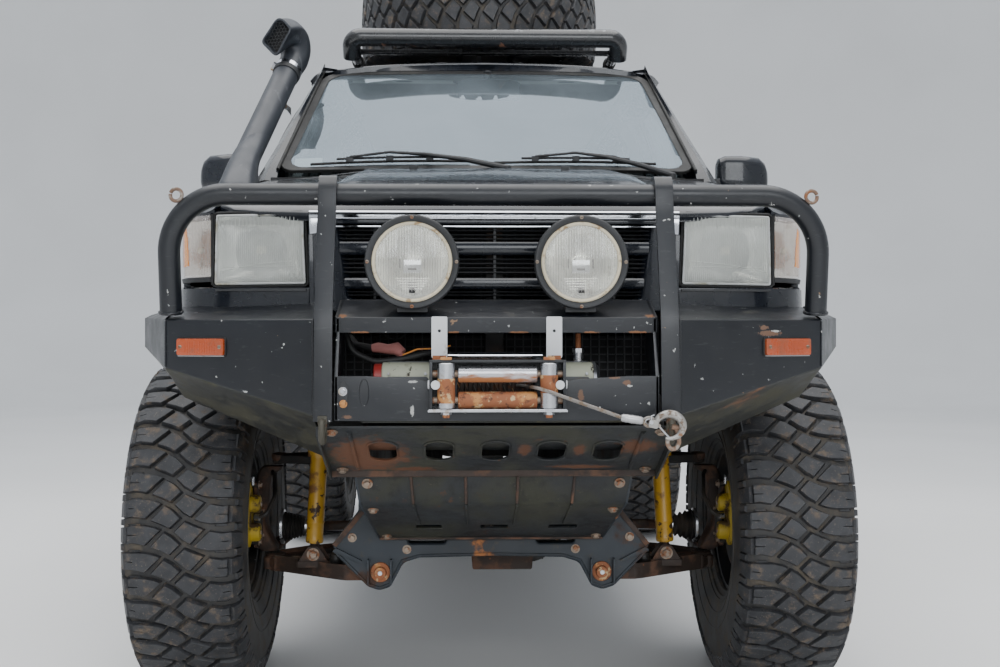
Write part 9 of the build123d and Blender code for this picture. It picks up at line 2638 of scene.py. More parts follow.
for y in (0.960, 0.972):
    EX.prism(round_poly([(xe - 0.052, ze - 0.018), (xe + 0.052, ze - 0.018), (xe + 0.052, ze + 0.018), (xe - 0.052, ze + 0.018)], 0.017, 5), y, y + 0.010, "Y", M_ARM, 0.001)
for s in (-1, 1):
    EX.rod((xe + s * 0.040, 0.948, ze), (xe + s * 0.040, 0.994, ze), 0.005, M_AMBER_TRIM, 12)
EX.done("Exhaust", "root", "rusty_steel", ("exhaust",), 34)

# ------------------------------------------------------------------ rear axle and leaf springs
RA = Mesh()
for s in (-1, 1):
    RA.lathe([(0, 0), (0, 0.047), (0.012, 0.0475), (0.030, 0.0425), (0.540, 0.0415), (0.550, 0.048), (0.562, 0.052), (0.570, 0.052), (0.570, 0)], (s * 0.130, 2.800, 0.480), (s, 0, 0), M_CHASSIS, 36)
    RA.lathe([(0, 0), (0, 0.060), (0.003, 0.114), (0.010, 0.120), (0.028, 0.120), (0.034, 0.117), (0.034, 0)], (s * 0.700, 2.800, 0.480), (s, 0, 0), M_CHASSIS, 48)
    for k in range(4):
        a = PI / 4 + k * PI / 2
        RA.hexbolt((s * 0.700, 2.800 + 0.075 * math.cos(a), 0.480 + 0.075 * math.sin(a)), (-s, 0, 0), 0.008, 0.007, M_AMBER_TRIM)
    # five leaves, shorter downwards, with clips and centre bolt
    for k, (l0, l1) in enumerate(((2.140, 3.460), (2.230, 3.370), (2.340, 3.260), (2.460, 3.140), (2.580, 3.020))):
        rows = []
        n = 16
        for i in range(n + 1):
            y = l0 + (l1 - l0) * i / n
            z = 0.585 - 0.0102 * k + 0.073 * (abs(y - 2.800) / 0.660) ** 2 - 0.0101
            if k == 0:
                z = 0.5852 - 0.0101 + 0.073 * (abs(y - 2.800) / 0.660) ** 2
            rows.append([(s * 0.4815, y, z), (s * 0.5385, y, z), (s * 0.5385, y, z + 0.0096), (s * 0.4815, y, z + 0.0096)])
        RA.loft(rows, M_CHASSIS, bevel=0.0015)
    for y in (2.140, 3.460):
        RA.lathe([(0, 0.010), (0, 0.0205), (0.058, 0.0205), (0.058, 0.010)], (s * 0.510 - 0.029, y, 0.660), (1, 0, 0), M_CHASSIS, 28, closed=True)
        RA.rod((s * 0.510 - 0.030, y, 0.660), (s * 0.510 + 0.030, y, 0.660), 0.0105, M_BOOT, 20)
    for y in (2.480, 3.120):
        zc = 0.585 + 0.073 * (abs(y - 2.8) / 0.660) ** 2
        RA.box(min(s * 0.4775, s * 0.5425), max(s * 0.4775, s * 0.5425), y - 0.012, y + 0.012, zc - 0.043, zc + 0.003, M_CHASSIS, 0.002)
    RA.prism(round_poly([(s * 0.476, 2.732), (s * 0.544, 2.732), (s * 0.544, 2.868), (s * 0.476, 2.868)], 0.010, 3), 0.505, 0.516, "Z", M_CHASSIS, 0.002)
    RA.prism(round_poly([(s * 0.480, 2.745), (s * 0.540, 2.745), (s * 0.540, 2.855), (s * 0.480, 2.855)], 0.010, 3), 0.514, 0.536, "Z", M_CHASSIS, 0.002)
    RA.prism(round_poly([(s * 0.476, 2.732), (s * 0.544, 2.732), (s * 0.544, 2.868), (s * 0.476, 2.868)], 0.010, 3), 0.4245, 0.4360, "Z", M_CHASSIS, 0.002)
    for y in (2.748, 2.852):
        for x in (0.4765, 0.5435):
            RA.rod((s * x, y, 0.415), (s * x, y, 0.586), 0.0062, M_AMBER_TRIM, 12)
            RA.hexbolt((s * x, y, 0.4245), (0, 0, -1), 0.010, 0.009, M_AMBER_TRIM)
        RA.tube(arc_path([(s * 0.4765, y, 0.584), (s * 0.4765, y, 0.5935), (s * 0.5435, y, 0.5935), (s * 0.5435, y, 0.584)], [0.008, 0.008], 4), 0.0062, M_AMBER_TRIM, 12)
RA.lathe([(-0.105, 0), (-0.105, 0.086), (-0.098, 0.092), (-0.050, 0.142), (-0.042, 0.150), (0.022, 0.150), (0.026, 0.143), (0.034, 0.143), (0.038, 0.150), (0.052, 0.150), (0.060, 0.142), (0.088, 0.112), (0.106, 0.070), (0.110, 0.040), (0.110, 0)], (0, 2.800, 0.480), (0, 1, 0), M_CHASSIS, 56)
for k in range(10):
    a = 2 * PI * k / 10 + 0.15
    RA.hexbolt((0.128 * math.cos(a), 2.858, 0.480 + 0.128 * math.sin(a)), (0, 1, 0), 0.007, 0.007, M_AMBER_TRIM)
RA.lathe([(0, 0), (0, 0.045), (0.006, 0.052), (0.014, 0.052), (0.020, 0.046), (0.060, 0.055), (0.122, 0.075), (0.122, 0)], (0, 2.590, 0.517), (0, 0.990, -0.140), M_CHASSIS, 40)
RA.tube([(-0.700, 2.762, 0.500), (-0.560, 2.764, 0.535), (-0.200, 2.764, 0.530), (-0.060, 2.740, 0.628), (0.060, 2.740, 0.628), (0.200, 2.764, 0.530), (0.560, 2.764, 0.535), (0.700, 2.762, 0.500)], 0.0038, M_AMBER_TRIM, 8)
RA.done("Rear_axle", "root", "chassis_paint", ("rear_axle",), 34)

# ------------------------------------------------------------------ tailgate, its glass, lamps
def gate_half(z):
    return min(0.688, bx(3.62, min(z, 1.985)) - 0.052)
def gate_pt(a, b, o=0.0):
    return (a, back_y(b) - 0.003 - 0.010 * (abs(a) / 0.69) ** 3 - o, b)
TG = Mesh()
gz = [0.888, 1.20, 1.50, 1.60, 1.70, 1.80, 1.90, 1.985, 2.034]
poly = [(-gate_half(z), z) for z in gz] + [(gate_half(z), z) for z in reversed(gz)]
poly = [(a, b) for a, b in poly]
ghole = round_poly([(-0.572, 1.578), (0.572, 1.578), (0.512, 1.962), (-0.512, 1.962)], 0.05, 6)
recess = round_poly([(-0.285, 1.000), (0.285, 1.000), (0.285, 1.146), (-0.285, 1.146)], 0.014, 4)
panel(TG, round_poly(poly, [0.03] + [0.0] * 7 + [0.05] * 2 + [0.0] * 7 + [0.03], 4), [ghole, recess], lambda a, b: gate_pt(a, b), (0, 1, 0), M_BODY, 0.034, 0.055, 0.003, M_PLAST)
rim_seal(TG, dense(ghole, 0.05), lambda a, b: gate_pt(a, b, 0.001), 0.0065, M_RUBBER)
panel(TG, grow(recess, 0.004), [], lambda a, b: gate_pt(a, b, 0.024), (0, 1, 0), M_BODY, 0.006, 0.06, 0.001)
pl = round_poly([(-0.260, 1.018), (0.260, 1.018), (0.260, 1.128), (-0.260, 1.128)], 0.010, 4)
panel(TG, pl, [], lambda a, b: gate_pt(a, b, 0.0195), (0, 1, 0), M_WHITE, 0.002, 0.08, 0.0006)
for s in (-1, 1):
    TG.lathe([(0, 0), (0, 0.006), (0.002, 0.005), (0.002, 0)], (s * 0.200, back_y(1.073) - 0.022, 1.073), (0, 1, 0), M_ZINC, 14)
TG.loft([[gate_pt(x, 1.150, -0.001), gate_pt(x, 1.150, -0.026), gate_pt(x, 1.166, -0.030), gate_pt(x, 1.196, -0.022), gate_pt(x, 1.204, -0.001)] for x in [-0.34 + 0.068 * k for k in range(11)]], M_BODY, bevel=0.003)
TG.box(-0.075, 0.075, back_y(1.16) + 0.006, back_y(1.16) + 0.020, 1.1445, 1.150, M_BLACKP, 0.002)
TG.loft([[gate_pt(x, 1.245, 0.0), gate_pt(x, 1.247, -0.011), gate_pt(x, 1.290, -0.011), gate_pt(x, 1.292, 0.0)] for x in [-0.660 + 0.132 * k for k in range(11)]], M_BLACKP, bevel=0.003)
for s in (-1, 1):
    TG.box(s * 0.36 - 0.045, s * 0.36 + 0.045, 3.470, 3.492, 2.018, 2.032, M_BODY, 0.004)
# high brake lamp and wiper with its motor cap
TG.prism(round_poly([(-0.16, 1.982), (0.16, 1.982), (0.16, 2.004), (-0.16, 2.004)], 0.008, 4), back_y(1.993) - 0.010, back_y(1.993) + 0.010, "Y", M_REDLENS, 0.002)
TG.lathe([(0, 0), (0, 0.026), (0.012, 0.024), (0.020, 0.016), (0.022, 0)], (0.0, back_y(1.545) - 0.004, 1.545), (0, 1, 0.45), M_BLACKP, 28)
TG.loft([[(x + 0.0, back_y(z) + 0.016 + w, z - 0.006), (x + 0.0, back_y(z) + 0.024 + w, z), (x + 0.0, back_y(z) + 0.016 + w, z + 0.006)] for x, z, w in ((0.0, 1.545, 0.0), (-0.12, 1.585, 0.004), (-0.26, 1.628, 0.002), (-0.34, 1.640, 0.0))], M_BLACKP, bevel=0.0015)
TG.loft([[(x, back_y(z) - 0.006, z - 0.005), (x, back_y(z) + 0.012, z), (x, back_y(z) - 0.006, z + 0.005)] for x, z in ((-0.130, 1.616), (-0.30, 1.632), (-0.480, 1.644))], M_BOOT, bevel=0.001)
card_g = round_poly([(-0.60, 0.93), (0.60, 0.93), (0.60, 1.53), (-0.60, 1.53)], 0.05, 4)
panel(TG, card_g, [], lambda a, b: gate_pt(a, b, 0.046), (0, -1, 0), M_PLAST, 0.008, 0.10, 0.004)
TG.box(-0.10, 0.10, back_y(1.0) - 0.066, back_y(1.0) - 0.046, 0.985, 1.012, M_BLACKP, 0.005)
TG.done("Tailgate", "tailgate", "body_paint", ("tailgate",), 34)
GG = Mesh()
panel(GG, round_poly([(-0.566, 1.583), (0.566, 1.583), (0.506, 1.957), (-0.506, 1.957)], 0.045, 6), [], lambda a, b: gate_pt(a, b, 0.013), (0, 1, 0), M_SIDEGLASS, 0.0045, 0.12, 0.0005)
for k in range(9):          # heater wires
    z = 1.625 + 0.036 * k
    h = 0.545 - (z - 1.590) * 0.165
    GG.loft([[(x, back_y(z) - 0.0195 - 0.010 * (abs(x) / 0.69) ** 3, z - 0.0007), (x, back_y(z) - 0.0190 - 0.010 * (abs(x) / 0.69) ** 3, z), (x, back_y(z) - 0.0195 - 0.010 * (abs(x) / 0.69) ** 3, z + 0.0007)] for x in (-h, -h / 2, 0, h / 2, h)], M_ARM)
GG.done("Tailgate_glass", "tailgate", "window_glass", ("tailgate_window",), 34)

TLp = Mesh()
def tl_ring(z, o=0.0):
    yb = back_y(z) - 0.012
    xs = bx(3.640, z)
    pts = [(0.7035, yb - 0.050), (0.7035, yb + o), (0.740, yb - 0.002 + o), (xs - 0.050, yb - 0.012 + o), (xs - 0.020, yb - 0.034 + o * 0.6), (xs - 0.004 + o * 0.5, yb - 0.072), (xs - 0.001 + o, 3.6035), (xs - 0.040, 3.6035), (xs - 0.046, yb - 0.090)]
    return [(a, b, z) for a, b in round_poly(pts, [0, 0.004, 0.05, 0.03, 0.03, 0.03, 0.004, 0, 0.02], 3)]
for z0, z1, m, o in ((1.1345, 1.190, M_REDLENS, 0.004), (1.1925, 1.268, M_LAMPCLEAR, 0.003), (1.2705, 1.360, M_AMBER, 0.004), (1.3625, 1.4755, M_REDLENS, 0.004)):
    n = 4
    TLp.loft([tl_ring(z0 + (z1 - z0) * i / n, o) for i in range(n + 1)], m, bevel=0.0016)
# reflector behind the clear window, thin black frame round the lot
TLp.loft([tl_ring(z, -0.010) for z in (1.1925, 1.23, 1.268)], M_REFLECT)
for z in (1.1325, 1.1912, 1.2692, 1.3612, 1.4775):
    TLp.loft([tl_ring(z - 0.0010, 0.0045), tl_ring(z + 0.0010, 0.0045)], M_BLACKP)
both(TLp).done("Tail_lamps", "root", "tail_lens", ("tail_lamps",), 34)

# ------------------------------------------------------------------ rear bumper
RB = Mesh()
sec_rb = round_poly([(3.757, 0.662), (3.757, 0.799), (3.800, 0.797), (3.842, 0.792), (3.851, 0.770), (3.851, 0.700), (3.843, 0.672), (3.820, 0.664)], [0.004, 0.006, 0.02, 0.010, 0.012, 0.012, 0.010, 0.02], 4)
RB.prism(sec_rb, -0.762, 0.762, "X", M_BUMPER)
for s in (-1, 1):
    rings = []
    for t in (0.0, 0.25, 0.5, 0.75, 1.0):
        x0 = 0.760 + 0.085 * (1 - (1 - t) ** 2)
        y0 = 3.757 - 0.112 * t ** 1.5
        y1 = 3.851 - 0.195 * t ** 1.6
        z0, z1 = 0.663 + 0.020 * t, 0.798 - 0.006 * t
        rings.append([(s * (x0 - 0.030 * t), y0, z0), (s * (x0 - 0.030 * t), y0, z1), (s * (x0 + 0.004 * t), y1 - 0.006, z1 - 0.004), (s * (x0 + 0.006 * t), y1, z1 - 0.020), (s * (x0 + 0.006 * t), y1, z0 + 0.016), (s * (x0 + 0.004 * t), y1 - 0.008, z0 + 0.004)])
    RB.loft(rings, M_BUMPER, bevel=0.004)
    RB.prism(round_poly([(s * 0.50, 0.700), (s * 0.64, 0.700), (s * 0.64, 0.758), (s * 0.50, 0.758)], 0.008, 4), 3.8495, 3.8555, "Y", M_REDLENS, 0.0015)
    RB.box(min(s * 0.340, s * 0.400), max(s * 0.340, s * 0.400), 3.736, 3.760, 0.632, 0.750, M_CHASSIS, 0.003)
    plate_bolts(RB, [(s * 0.370, 3.7365, z) for z in (0.650, 0.730)], (0, -1, 0), 0.010, 0.006)
    plate_bolts(RB, [(s * x, 3.8505, 0.680) for x in (0.30, 0.72)], (0, 1, 0), 0.008, 0.006)
    # recovery eye
    RB.tube([Vector((s * 0.240, 3.846 + 0.030 * math.sin(t), 0.652 - 0.026 * math.cos(t) + 0.010)) for t in [PI * k / 12 for k in range(13)]], 0.0075, M_ARM, 12)
    for k in range(9):     # rubber step cleats
        x = s * (0.12 + 0.075 * k)
        RB.box(x - 0.028, x + 0.028, 3.768, 3.830, 0.7955, 0.8030, M_RUBBER, 0.002)
rc_o = round_poly([(-0.032, 0.560), (0.032, 0.560), (0.032, 0.624), (-0.032, 0.624)], 0.006, 3)
rc_i = round_poly([(-0.0255, 0.5665), (0.0255, 0.5665), (0.0255, 0.6175), (-0.0255, 0.6175)], 0.003, 3)
n = len(rc_o)
V = [(x, y, z) for y in (3.600, 3.856) for x, z in rc_o] + [(x, y, z) for y in (3.612, 3.856) for x, z in rc_i]
Fq = [(i, (i + 1) % n, n + (i + 1) % n, n + i) for i in range(n)] + [(2 * n + i, 3 * n + i, 3 * n + (i + 1) % n, 2 * n + (i + 1) % n) for i in range(n)]
Fq += [(n + i, n + (i + 1) % n, 3 * n + (i + 1) % n, 3 * n + i) for i in range(n)] + [list(range(n)), list(range(3 * n - 1, 2 * n - 1, -1))]
RB.solid(V, Fq, M_CHASSIS)
for s in (-1, 1):
    RB.lathe([(0, 0.0082), (0, 0.0140), (0.0015, 0.0140), (0.0015, 0.0082)], (s * 0.032, 3.806, 0.592), (s, 0, 0), M_DARK, 20, closed=True)
RB.prism([(3.756, 0.620), (3.790, 0.620), (3.790, 0.664), (3.756, 0.664)], -0.060, 0.060, "X", M_CHASSIS, 0.002)
RB.done("Rear_bumper", "root", "bumper_paint", ("rear_bumper",), 34)

# ------------------------------------------------------------------ dashboard, wheel, console, pedals
DB = Mesh()
dsec = round_poly([(0.330, 1.548), (0.330, 1.190), (0.552, 1.190), (0.628, 1.262), (0.634, 1.330), (0.628, 1.345), (0.640, 1.380), (0.648, 1.480), (0.625, 1.535), (0.560, 1.560), (0.350, 1.574)], [0.004, 0.01, 0.04, 0.03, 0.008, 0.006, 0.02, 0.03, 0.03, 0.03, 0.01], 5)
DB.prism(dsec, -0.665, 0.665, "X", M_PLAST, 0.010, 3)
# pad over the instruments, with its face and dials
rings = []
for x, h, d in ((0.165, 0.0, 0.0), (0.185, 0.030, 0.016), (0.230, 0.048, 0.026), (0.365, 0.054, 0.030), (0.500, 0.048, 0.026), (0.545, 0.030, 0.016), (0.565, 0.0, 0.0)):
    rings.append([(x, 0.470, 1.556), (x, 0.500, 1.558 + h), (x, 0.600, 1.548 + h), (x, 0.640 + d, 1.532 + h), (x, 0.650 + d, 1.520 + h), (x, 0.642 + d, 1.516 + h * 0.8), (x, 0.620, 1.520), (x, 0.560, 1.540)])
DB.loft(rings, M_PLAST, bevel=0.002)
DB.prism(round_poly([(0.195, 1.408), (0.535, 1.408), (0.535, 1.548), (0.195, 1.548)], 0.020, 4), 0.640, 0.6525, "Y", M_BLACKP, 0.002)
for x, r in ((0.290, 0.052), (0.440, 0.052), (0.222, 0.020), (0.508, 0.020)):
    DB.lathe([(0, r - 0.005), (0, r), (0.005, r), (0.006, r - 0.004)], (x, 0.6515, 1.478), (0, 1, 0), M_ZINC if r > 0.03 else M_PLAST, 36, closed=True)
    for k in range(9):
        a = -0.7 + k * 0.57
        DB.box(-0.0012, 0.0012, 0.0, 0.0012, r * 0.66, r * 0.84, M_WHITE, 0.0, at=Matrix.Translation((x, 0.6522, 1.478)) @ Quaternion((0, 1, 0), a - PI / 2 - 0.9).to_matrix().to_4x4())
    DB.box(-0.0014, 0.0014, 0.0, 0.0020, -0.006, r * 0.74, M_AMBER, 0.0, at=Matrix.Translation((x, 0.6530, 1.478)) @ Quaternion((0, 1, 0), -1.0).to_matrix().to_4x4())
# vents: a frame, flat blades and a thumb wheel
for x in (-0.585, -0.085, 0.085, 0.610):
    w = 0.062 if abs(x) > 0.3 else 0.072
    fr = round_poly([(x - w, 1.418), (x + w, 1.418), (x + w, 1.496), (x - w, 1.496)], 0.012, 4)
    if x > 0.5:
        fr = [(min(p, 0.662), q) for p, q in fr]
    panel(DB, fr, [inset(fr, 0.009)], lambda a, b: (a, 0.6545, b), (0, 1, 0), M_BLACKP, 0.012, 0.05, 0.002)
    for k in range(5):
        z = 1.432 + 0.0125 * k
        DB.box(x - w + 0.009, min(x + w - 0.009, 0.655), 0.6440, 0.6530, z, z + 0.0022, M_BLACKP, 0.0006)
    DB.rod((x - 0.008, 0.6520, 1.457), (x + 0.008, 0.6520, 1.457), 0.009, M_PLAST, 20, cap=0.001)
# centre stack: blank radio, three knobs, row of switches, tray
DB.prism(round_poly([(-0.118, 1.215), (0.118, 1.215), (0.124, 1.405), (-0.124, 1.405)], 0.012, 4), 0.628, 0.6485, "Y", M_BLACKP, 0.003)
DB.box(-0.092, 0.092, 0.646, 0.6545, 1.345, 1.398, M_PLAST, 0.003)
DB.box(-0.058, 0.058, 0.6535, 0.6555, 1.370, 1.390, M_DARK, 0.001)
for k in range(6):
    DB.box(-0.056 + 0.0195 * k, -0.042 + 0.0195 * k, 0.6535, 0.6560, 1.352, 1.362, M_BLACKP, 0.001)
for s in (-1, 1):
    DB.lathe([(0, 0), (0, 0.011), (0.010, 0.0095), (0.012, 0.008), (0.012, 0)], (s * 0.076, 0.654, 1.372), (0, 1, 0), M_BLACKP, 24)
for x in (-0.072, 0.0, 0.072):
    DB.lathe([(0, 0), (0, 0.022), (0.004, 0.022), (0.005, 0.017), (0.020, 0.015), (0.022, 0.013), (0.022, 0)], (x, 0.648, 1.300), (0, 1, 0), M_PLAST, 32)
    DB.box(x - 0.0012, x + 0.0012, 0.668, 0.6708, 1.300, 1.313, M_WHITE, 0.0)
for k in range(5):
    DB.box(-0.092 + 0.038 * k, -0.062 + 0.038 * k, 0.647, 0.6525, 1.238, 1.256, M_PLAST, 0.003)
# glove box lid, its latch, ledge on the passenger side, knee panel under the column
gb = round_poly([(-0.600, 1.215), (-0.180, 1.215), (-0.180, 1.335), (-0.600, 1.335)], 0.018, 4)
panel(DB, gb, [], lambda a, b: (a, 0.632 + (0.010 if b > 1.26 else 0.010 - (1.26 - b) * 0.9) - 0.004, b), (0, 1, 0), M_PLAST, 0.012, 0.05, 0.003)
DB.box(-0.425, -0.355, 0.636, 0.650, 1.305, 1.322, M_BLACKP, 0.004)
DB.prism(round_poly([(0.170, 1.200), (0.560, 1.200), (0.560, 1.395), (0.170, 1.395)], 0.02, 4), 0.618, 0.6430, "Y", M_PLAST, 0.005)
DB.box(-0.600, -0.180, 0.640, 0.662, 1.352, 1.372, M_PLAST, 0.006)
# steering column: shroud, two stalks, key
cdir = Vector((0, 0.165, 0.043)).normalized()
rings = []
for t, r in ((0.0, 0.038), (0.04, 0.044), (0.10, 0.042), (0.148, 0.036)):
    c = Vector((0.365, 0.608, 1.442)) + cdir * t
    rings.append([tuple(c + Vector((r * 1.1 * math.cos(a), -0.26 * r * math.sin(a), 0.966 * r * math.sin(a)))) for a in [2 * PI * k / 28 for k in range(28)]])
DB.loft(rings, M_BLACKP, bevel=0.002)
for s in (-1, 1):
    DB.tube([(0.365 + s * 0.040, 0.715, 1.472), (0.365 + s * 0.090, 0.722, 1.482), (0.365 + s * 0.140, 0.730, 1.494)], 0.006, M_BLACKP, 12, rr=[0.007, 0.0055, 0.0075])
DB.lathe([(0, 0), (0, 0.014), (0.008, 0.013), (0.008, 0)], (0.320, 0.700, 1.448), (-0.8, 0.5, -0.2), M_ZINC, 20)
DB.done("Dashboard", "root", "black_plastic", ("dashboard",), 32)

SW = Mesh()
ax = Vector((0, 0.9272, 0.3746))
cw = Vector((0.365, 0.790, 1.490))
u_, w_ = Vector((1, 0, 0)), Vector((0, 0.3746, -0.9272))
N = 72
rings = []
for k in range(N):
    a = 2 * PI * k / N
    rd = u_ * math.cos(a) + w_ * math.sin(a)
    grip = 0.0140 + 0.0010 * max(0.0, math.cos(2 * a)) ** 2 + (0.0004 if k % 2 else 0.0)
    rings.append([cw + rd * (0.1880 + grip * math.cos(b)) + ax * (grip * math.sin(b)) for b in [2 * PI * q / 16 for q in range(16)]])
V = [p for r in rings for p in r]
SW.solid(V, [(k * 16 + i, k * 16 + (i + 1) % 16, ((k + 1) % N) * 16 + (i + 1) % 16, ((k + 1) % N) * 16 + i) for k in range(N) for i in range(16)], M_BLACKP)
for a in (0.52, 2.62, 4.71):
    rd = u_ * math.cos(-a) + w_ * math.sin(-a)
    td = ax.cross(rd).normalized()
    rings = []
    for t, hw, ht, dep in ((0.030, 0.030, 0.008, -0.022), (0.080, 0.022, 0.007, -0.020), (0.140, 0.015, 0.006, -0.010), (0.181, 0.017, 0.007, -0.001)):
        c = cw + rd * t + ax * dep
        rings.append([c + td * hw - ax * ht, c + td * hw + ax * ht, c - td * hw + ax * ht, c - td * hw - ax * ht])
    SW.loft(rings, M_BLACKP, bevel=0.004)
rings = []
for dep, r in ((-0.034, 0.040), (-0.030, 0.058), (-0.012, 0.074), (0.004, 0.074), (0.014, 0.064), (0.018, 0.048)):
    rings.append([cw + u_ * (r * 1.08 * math.copysign(abs(math.cos(a)) ** 0.75, math.cos(a))) + w_ * (r * 0.92 * math.copysign(abs(math.sin(a)) ** 0.75, math.sin(a))) + ax * dep for a in [2 * PI * k / 36 for k in range(36)]])
SW.loft(rings, M_PLAST)
SW.lathe([(0, 0.0), (0, 0.036), (0.0012, 0.037), (0.0026, 0.034), (0.003, 0.0)], cw + ax * 0.0165, ax, M_BLACKP, 36)
SW.done("Steering_wheel", "root", "black_plastic", ("steering_wheel",), 40)

CN = Mesh()
CN.prism(round_poly([(0.655, 0.882), (0.655, 1.020), (0.700, 1.045), (0.860, 1.030), (1.020, 1.040), (1.100, 1.120), (1.440, 1.120), (1.470, 1.100), (1.470, 0.882)], [0.01, 0.03, 0.03, 0.05, 0.05, 0.04, 0.02, 0.02, 0.01], 5), -0.096, 0.096, "X", M_PLAST, 0.012, 3)
for x, y, h, lean in ((0.0, 0.760, 0.260, 0.050), (-0.052, 0.900, 0.175, -0.020)):
    rings = []
    for k in range(6):      # gathered gaiter
        t = k / 5
        w = 0.052 * (1 - t) + 0.012 * t + (0.003 if k % 2 else 0.0)
        rings.append([(x + (0.6 if x else 1.0) * a, y + lean * t * 0.4 + b, 1.030 + 0.072 * t) for a, b in round_poly([(-w, -w), (w, -w), (w, w), (-w, w)], w * 0.5, 4)])
    CN.loft(rings, M_BOOT)
    CN.tube([(x, y + lean * 0.3, 1.090), (x, y + lean * 0.6, 1.090 + h * 0.5), (x, y + lean, 1.060 + h)], 0.0065, M_ZINC, 12)
    CN.lathe([(0, 0), (0, 0.014), (0.010, 0.021), (0.030, 0.024), (0.044, 0.019), (0.050, 0.008), (0.050, 0)], (x, y + lean, 1.050 + h), (0, 0.1, 1), M_BLACKP, 28)
CN.box(0.040, 0.075, 0.860, 1.060, 1.045, 1.058, M_PLAST, 0.004)
CN.tube([(0.058, 1.060, 1.060), (0.058, 0.960, 1.085), (0.058, 0.840, 1.130)], 0.011, M_BLACKP, 14, rr=[0.010, 0.011, 0.014])
CN.lathe([(0, 0), (0, 0.006), (0.010, 0.005), (0.010, 0)], (0.058, 0.836, 1.132), (0, -0.9, 0.4), M_ZINC, 16)
for x in (-0.035, 0.035):
    CN.lathe([(0, 0.034), (0, 0.040), (0.006, 0.040), (0.006, 0.034)], (x, 1.395, 1.118), (0, 0, 1), M_BLACKP, 32, closed=True)
CN.done("Centre_console", "root", "black_plastic")

PD = Mesh()
for x, w, z in ((0.250, 0.030, 1.020), (0.350, 0.034, 1.035), (0.470, 0.022, 0.985)):
    PD.tube([(x, 0.345, 1.220), (x, 0.420, 1.140), (x, 0.500, z + 0.010)], 0.007, M_CHASSIS, 12)
    hh = 0.030 if w > 0.025 else 0.065
    q = Matrix.Translation((x, 0.506, z)) @ Quaternion((1, 0, 0), math.radians(-28)).to_matrix().to_4x4()
    PD.box(-w, w, -0.004, 0.004, -hh, hh, M_CHASSIS, 0.002, at=q)
    PD.box(-w - 0.002, w + 0.002, 0.003, 0.010, -hh - 0.002, hh + 0.002, M_RUBBER, 0.003, at=q)
    for k in range(5):
        zz = -hh * 0.75 + hh * 0.375 * k
        PD.box(-w * 0.8, w * 0.8, 0.009, 0.0125, zz - 0.002, zz + 0.002, M_RUBBER, 0.0008, at=q)
# ribbed rubber mats with turned-up edges
for x0, x1, y0, y1 in ((0.135, 0.640, 0.520, 0.985), (-0.640, -0.135, 0.520, 0.985), (0.100, 0.600, 1.520, 1.870), (-0.600, -0.100, 1.520, 1.870)):
    PD.prism(round_poly([(x0, y0), (x1, y0), (x1, y1), (x0, y1)], 0.03, 5), 0.8835, 0.8890, "Z", M_RUBBER, 0.002)
    e = round_poly([(x0 + 0.008, y0 + 0.008), (x1 - 0.008, y0 + 0.008), (x1 - 0.008, y1 - 0.008), (x0 + 0.008, y1 - 0.008)], 0.03, 5)
    PD.tube([(a, b, 0.892) for a, b in e + e[:2]], 0.0055, M_RUBBER, 8)
    for k in range(12):
        y = y0 + 0.04 + (y1 - y0 - 0.08) * k / 11
        PD.box(x0 + 0.035, x1 - 0.035, y - 0.004, y + 0.004, 0.8882, 0.8925, M_RUBBER, 0.0015)
PD.done("Pedals_and_mats", "root", "black_plastic")

# inner mirror, visors, roof lining, blank label inside the screen
IM = Mesh()
mir = round_poly([(-0.103, 1.910), (0.128, 1.905), (0.126, 1.972), (0.090, 1.984), (-0.070, 1.984), (-0.105, 1.974)], 0.016, 5)
IM.prism(mir, 0.742, 0.766, "Y", M_BLACKP, 0.007, 3)
IM.prism(inset(mir, 0.007) if area2(mir) > 0 else inset(mir[::-1], 0.007), 0.7655, 0.7672, "Y", M_CHROME, 0.0004)
IM.tube([(0.010, 0.748, 1.960), (0.008, 0.760, 1.990), (0.008, 0.776, 2.005)], 0.006, M_BLACKP, 12, rr=[0.005, 0.006, 0.009])
IM.lathe([(0, 0), (0, 0.022), (0.006, 0.018), (0.008, 0)], (0.008, 0.782, 2.008), (0, -0.5, -0.85), M_BLACKP, 24)
for s in (-1, 1):
    v = round_poly([(s * 0.110, 0.812), (s * 0.490, 0.812), (s * 0.510, 0.830), (s * 0.510, 0.930), (s * 0.480, 0.955), (s * 0.110, 0.955)], 0.018, 4)
    IM.prism(v, 1.978, 1.992, "Z", M_HEADLINER, 0.005, 3)
    IM.tube([(s * 0.100, 0.818, 1.985), (s * 0.300, 0.816, 1.986), (s * 0.520, 0.818, 1.985)], 0.0045, M_BLACKP, 10)
IM.done("Mirror_and_visors", "root", "black_plastic")
lb = Mesh()
def lab(a, b):
    return Vector(screen_pt(a, (b - 1.590) / 0.426, -0.0075))
panel(lb, [(-0.645, 1.612), (-0.552, 1.612), (-0.552, 1.646), (-0.645, 1.646)], [], lambda a, b: tuple(lab(a, b)), (0, -0.64, 0.77), M_HEADLINER, 0.0008, 0.03, 0.0002)
lb.done("Blank_label", "root")

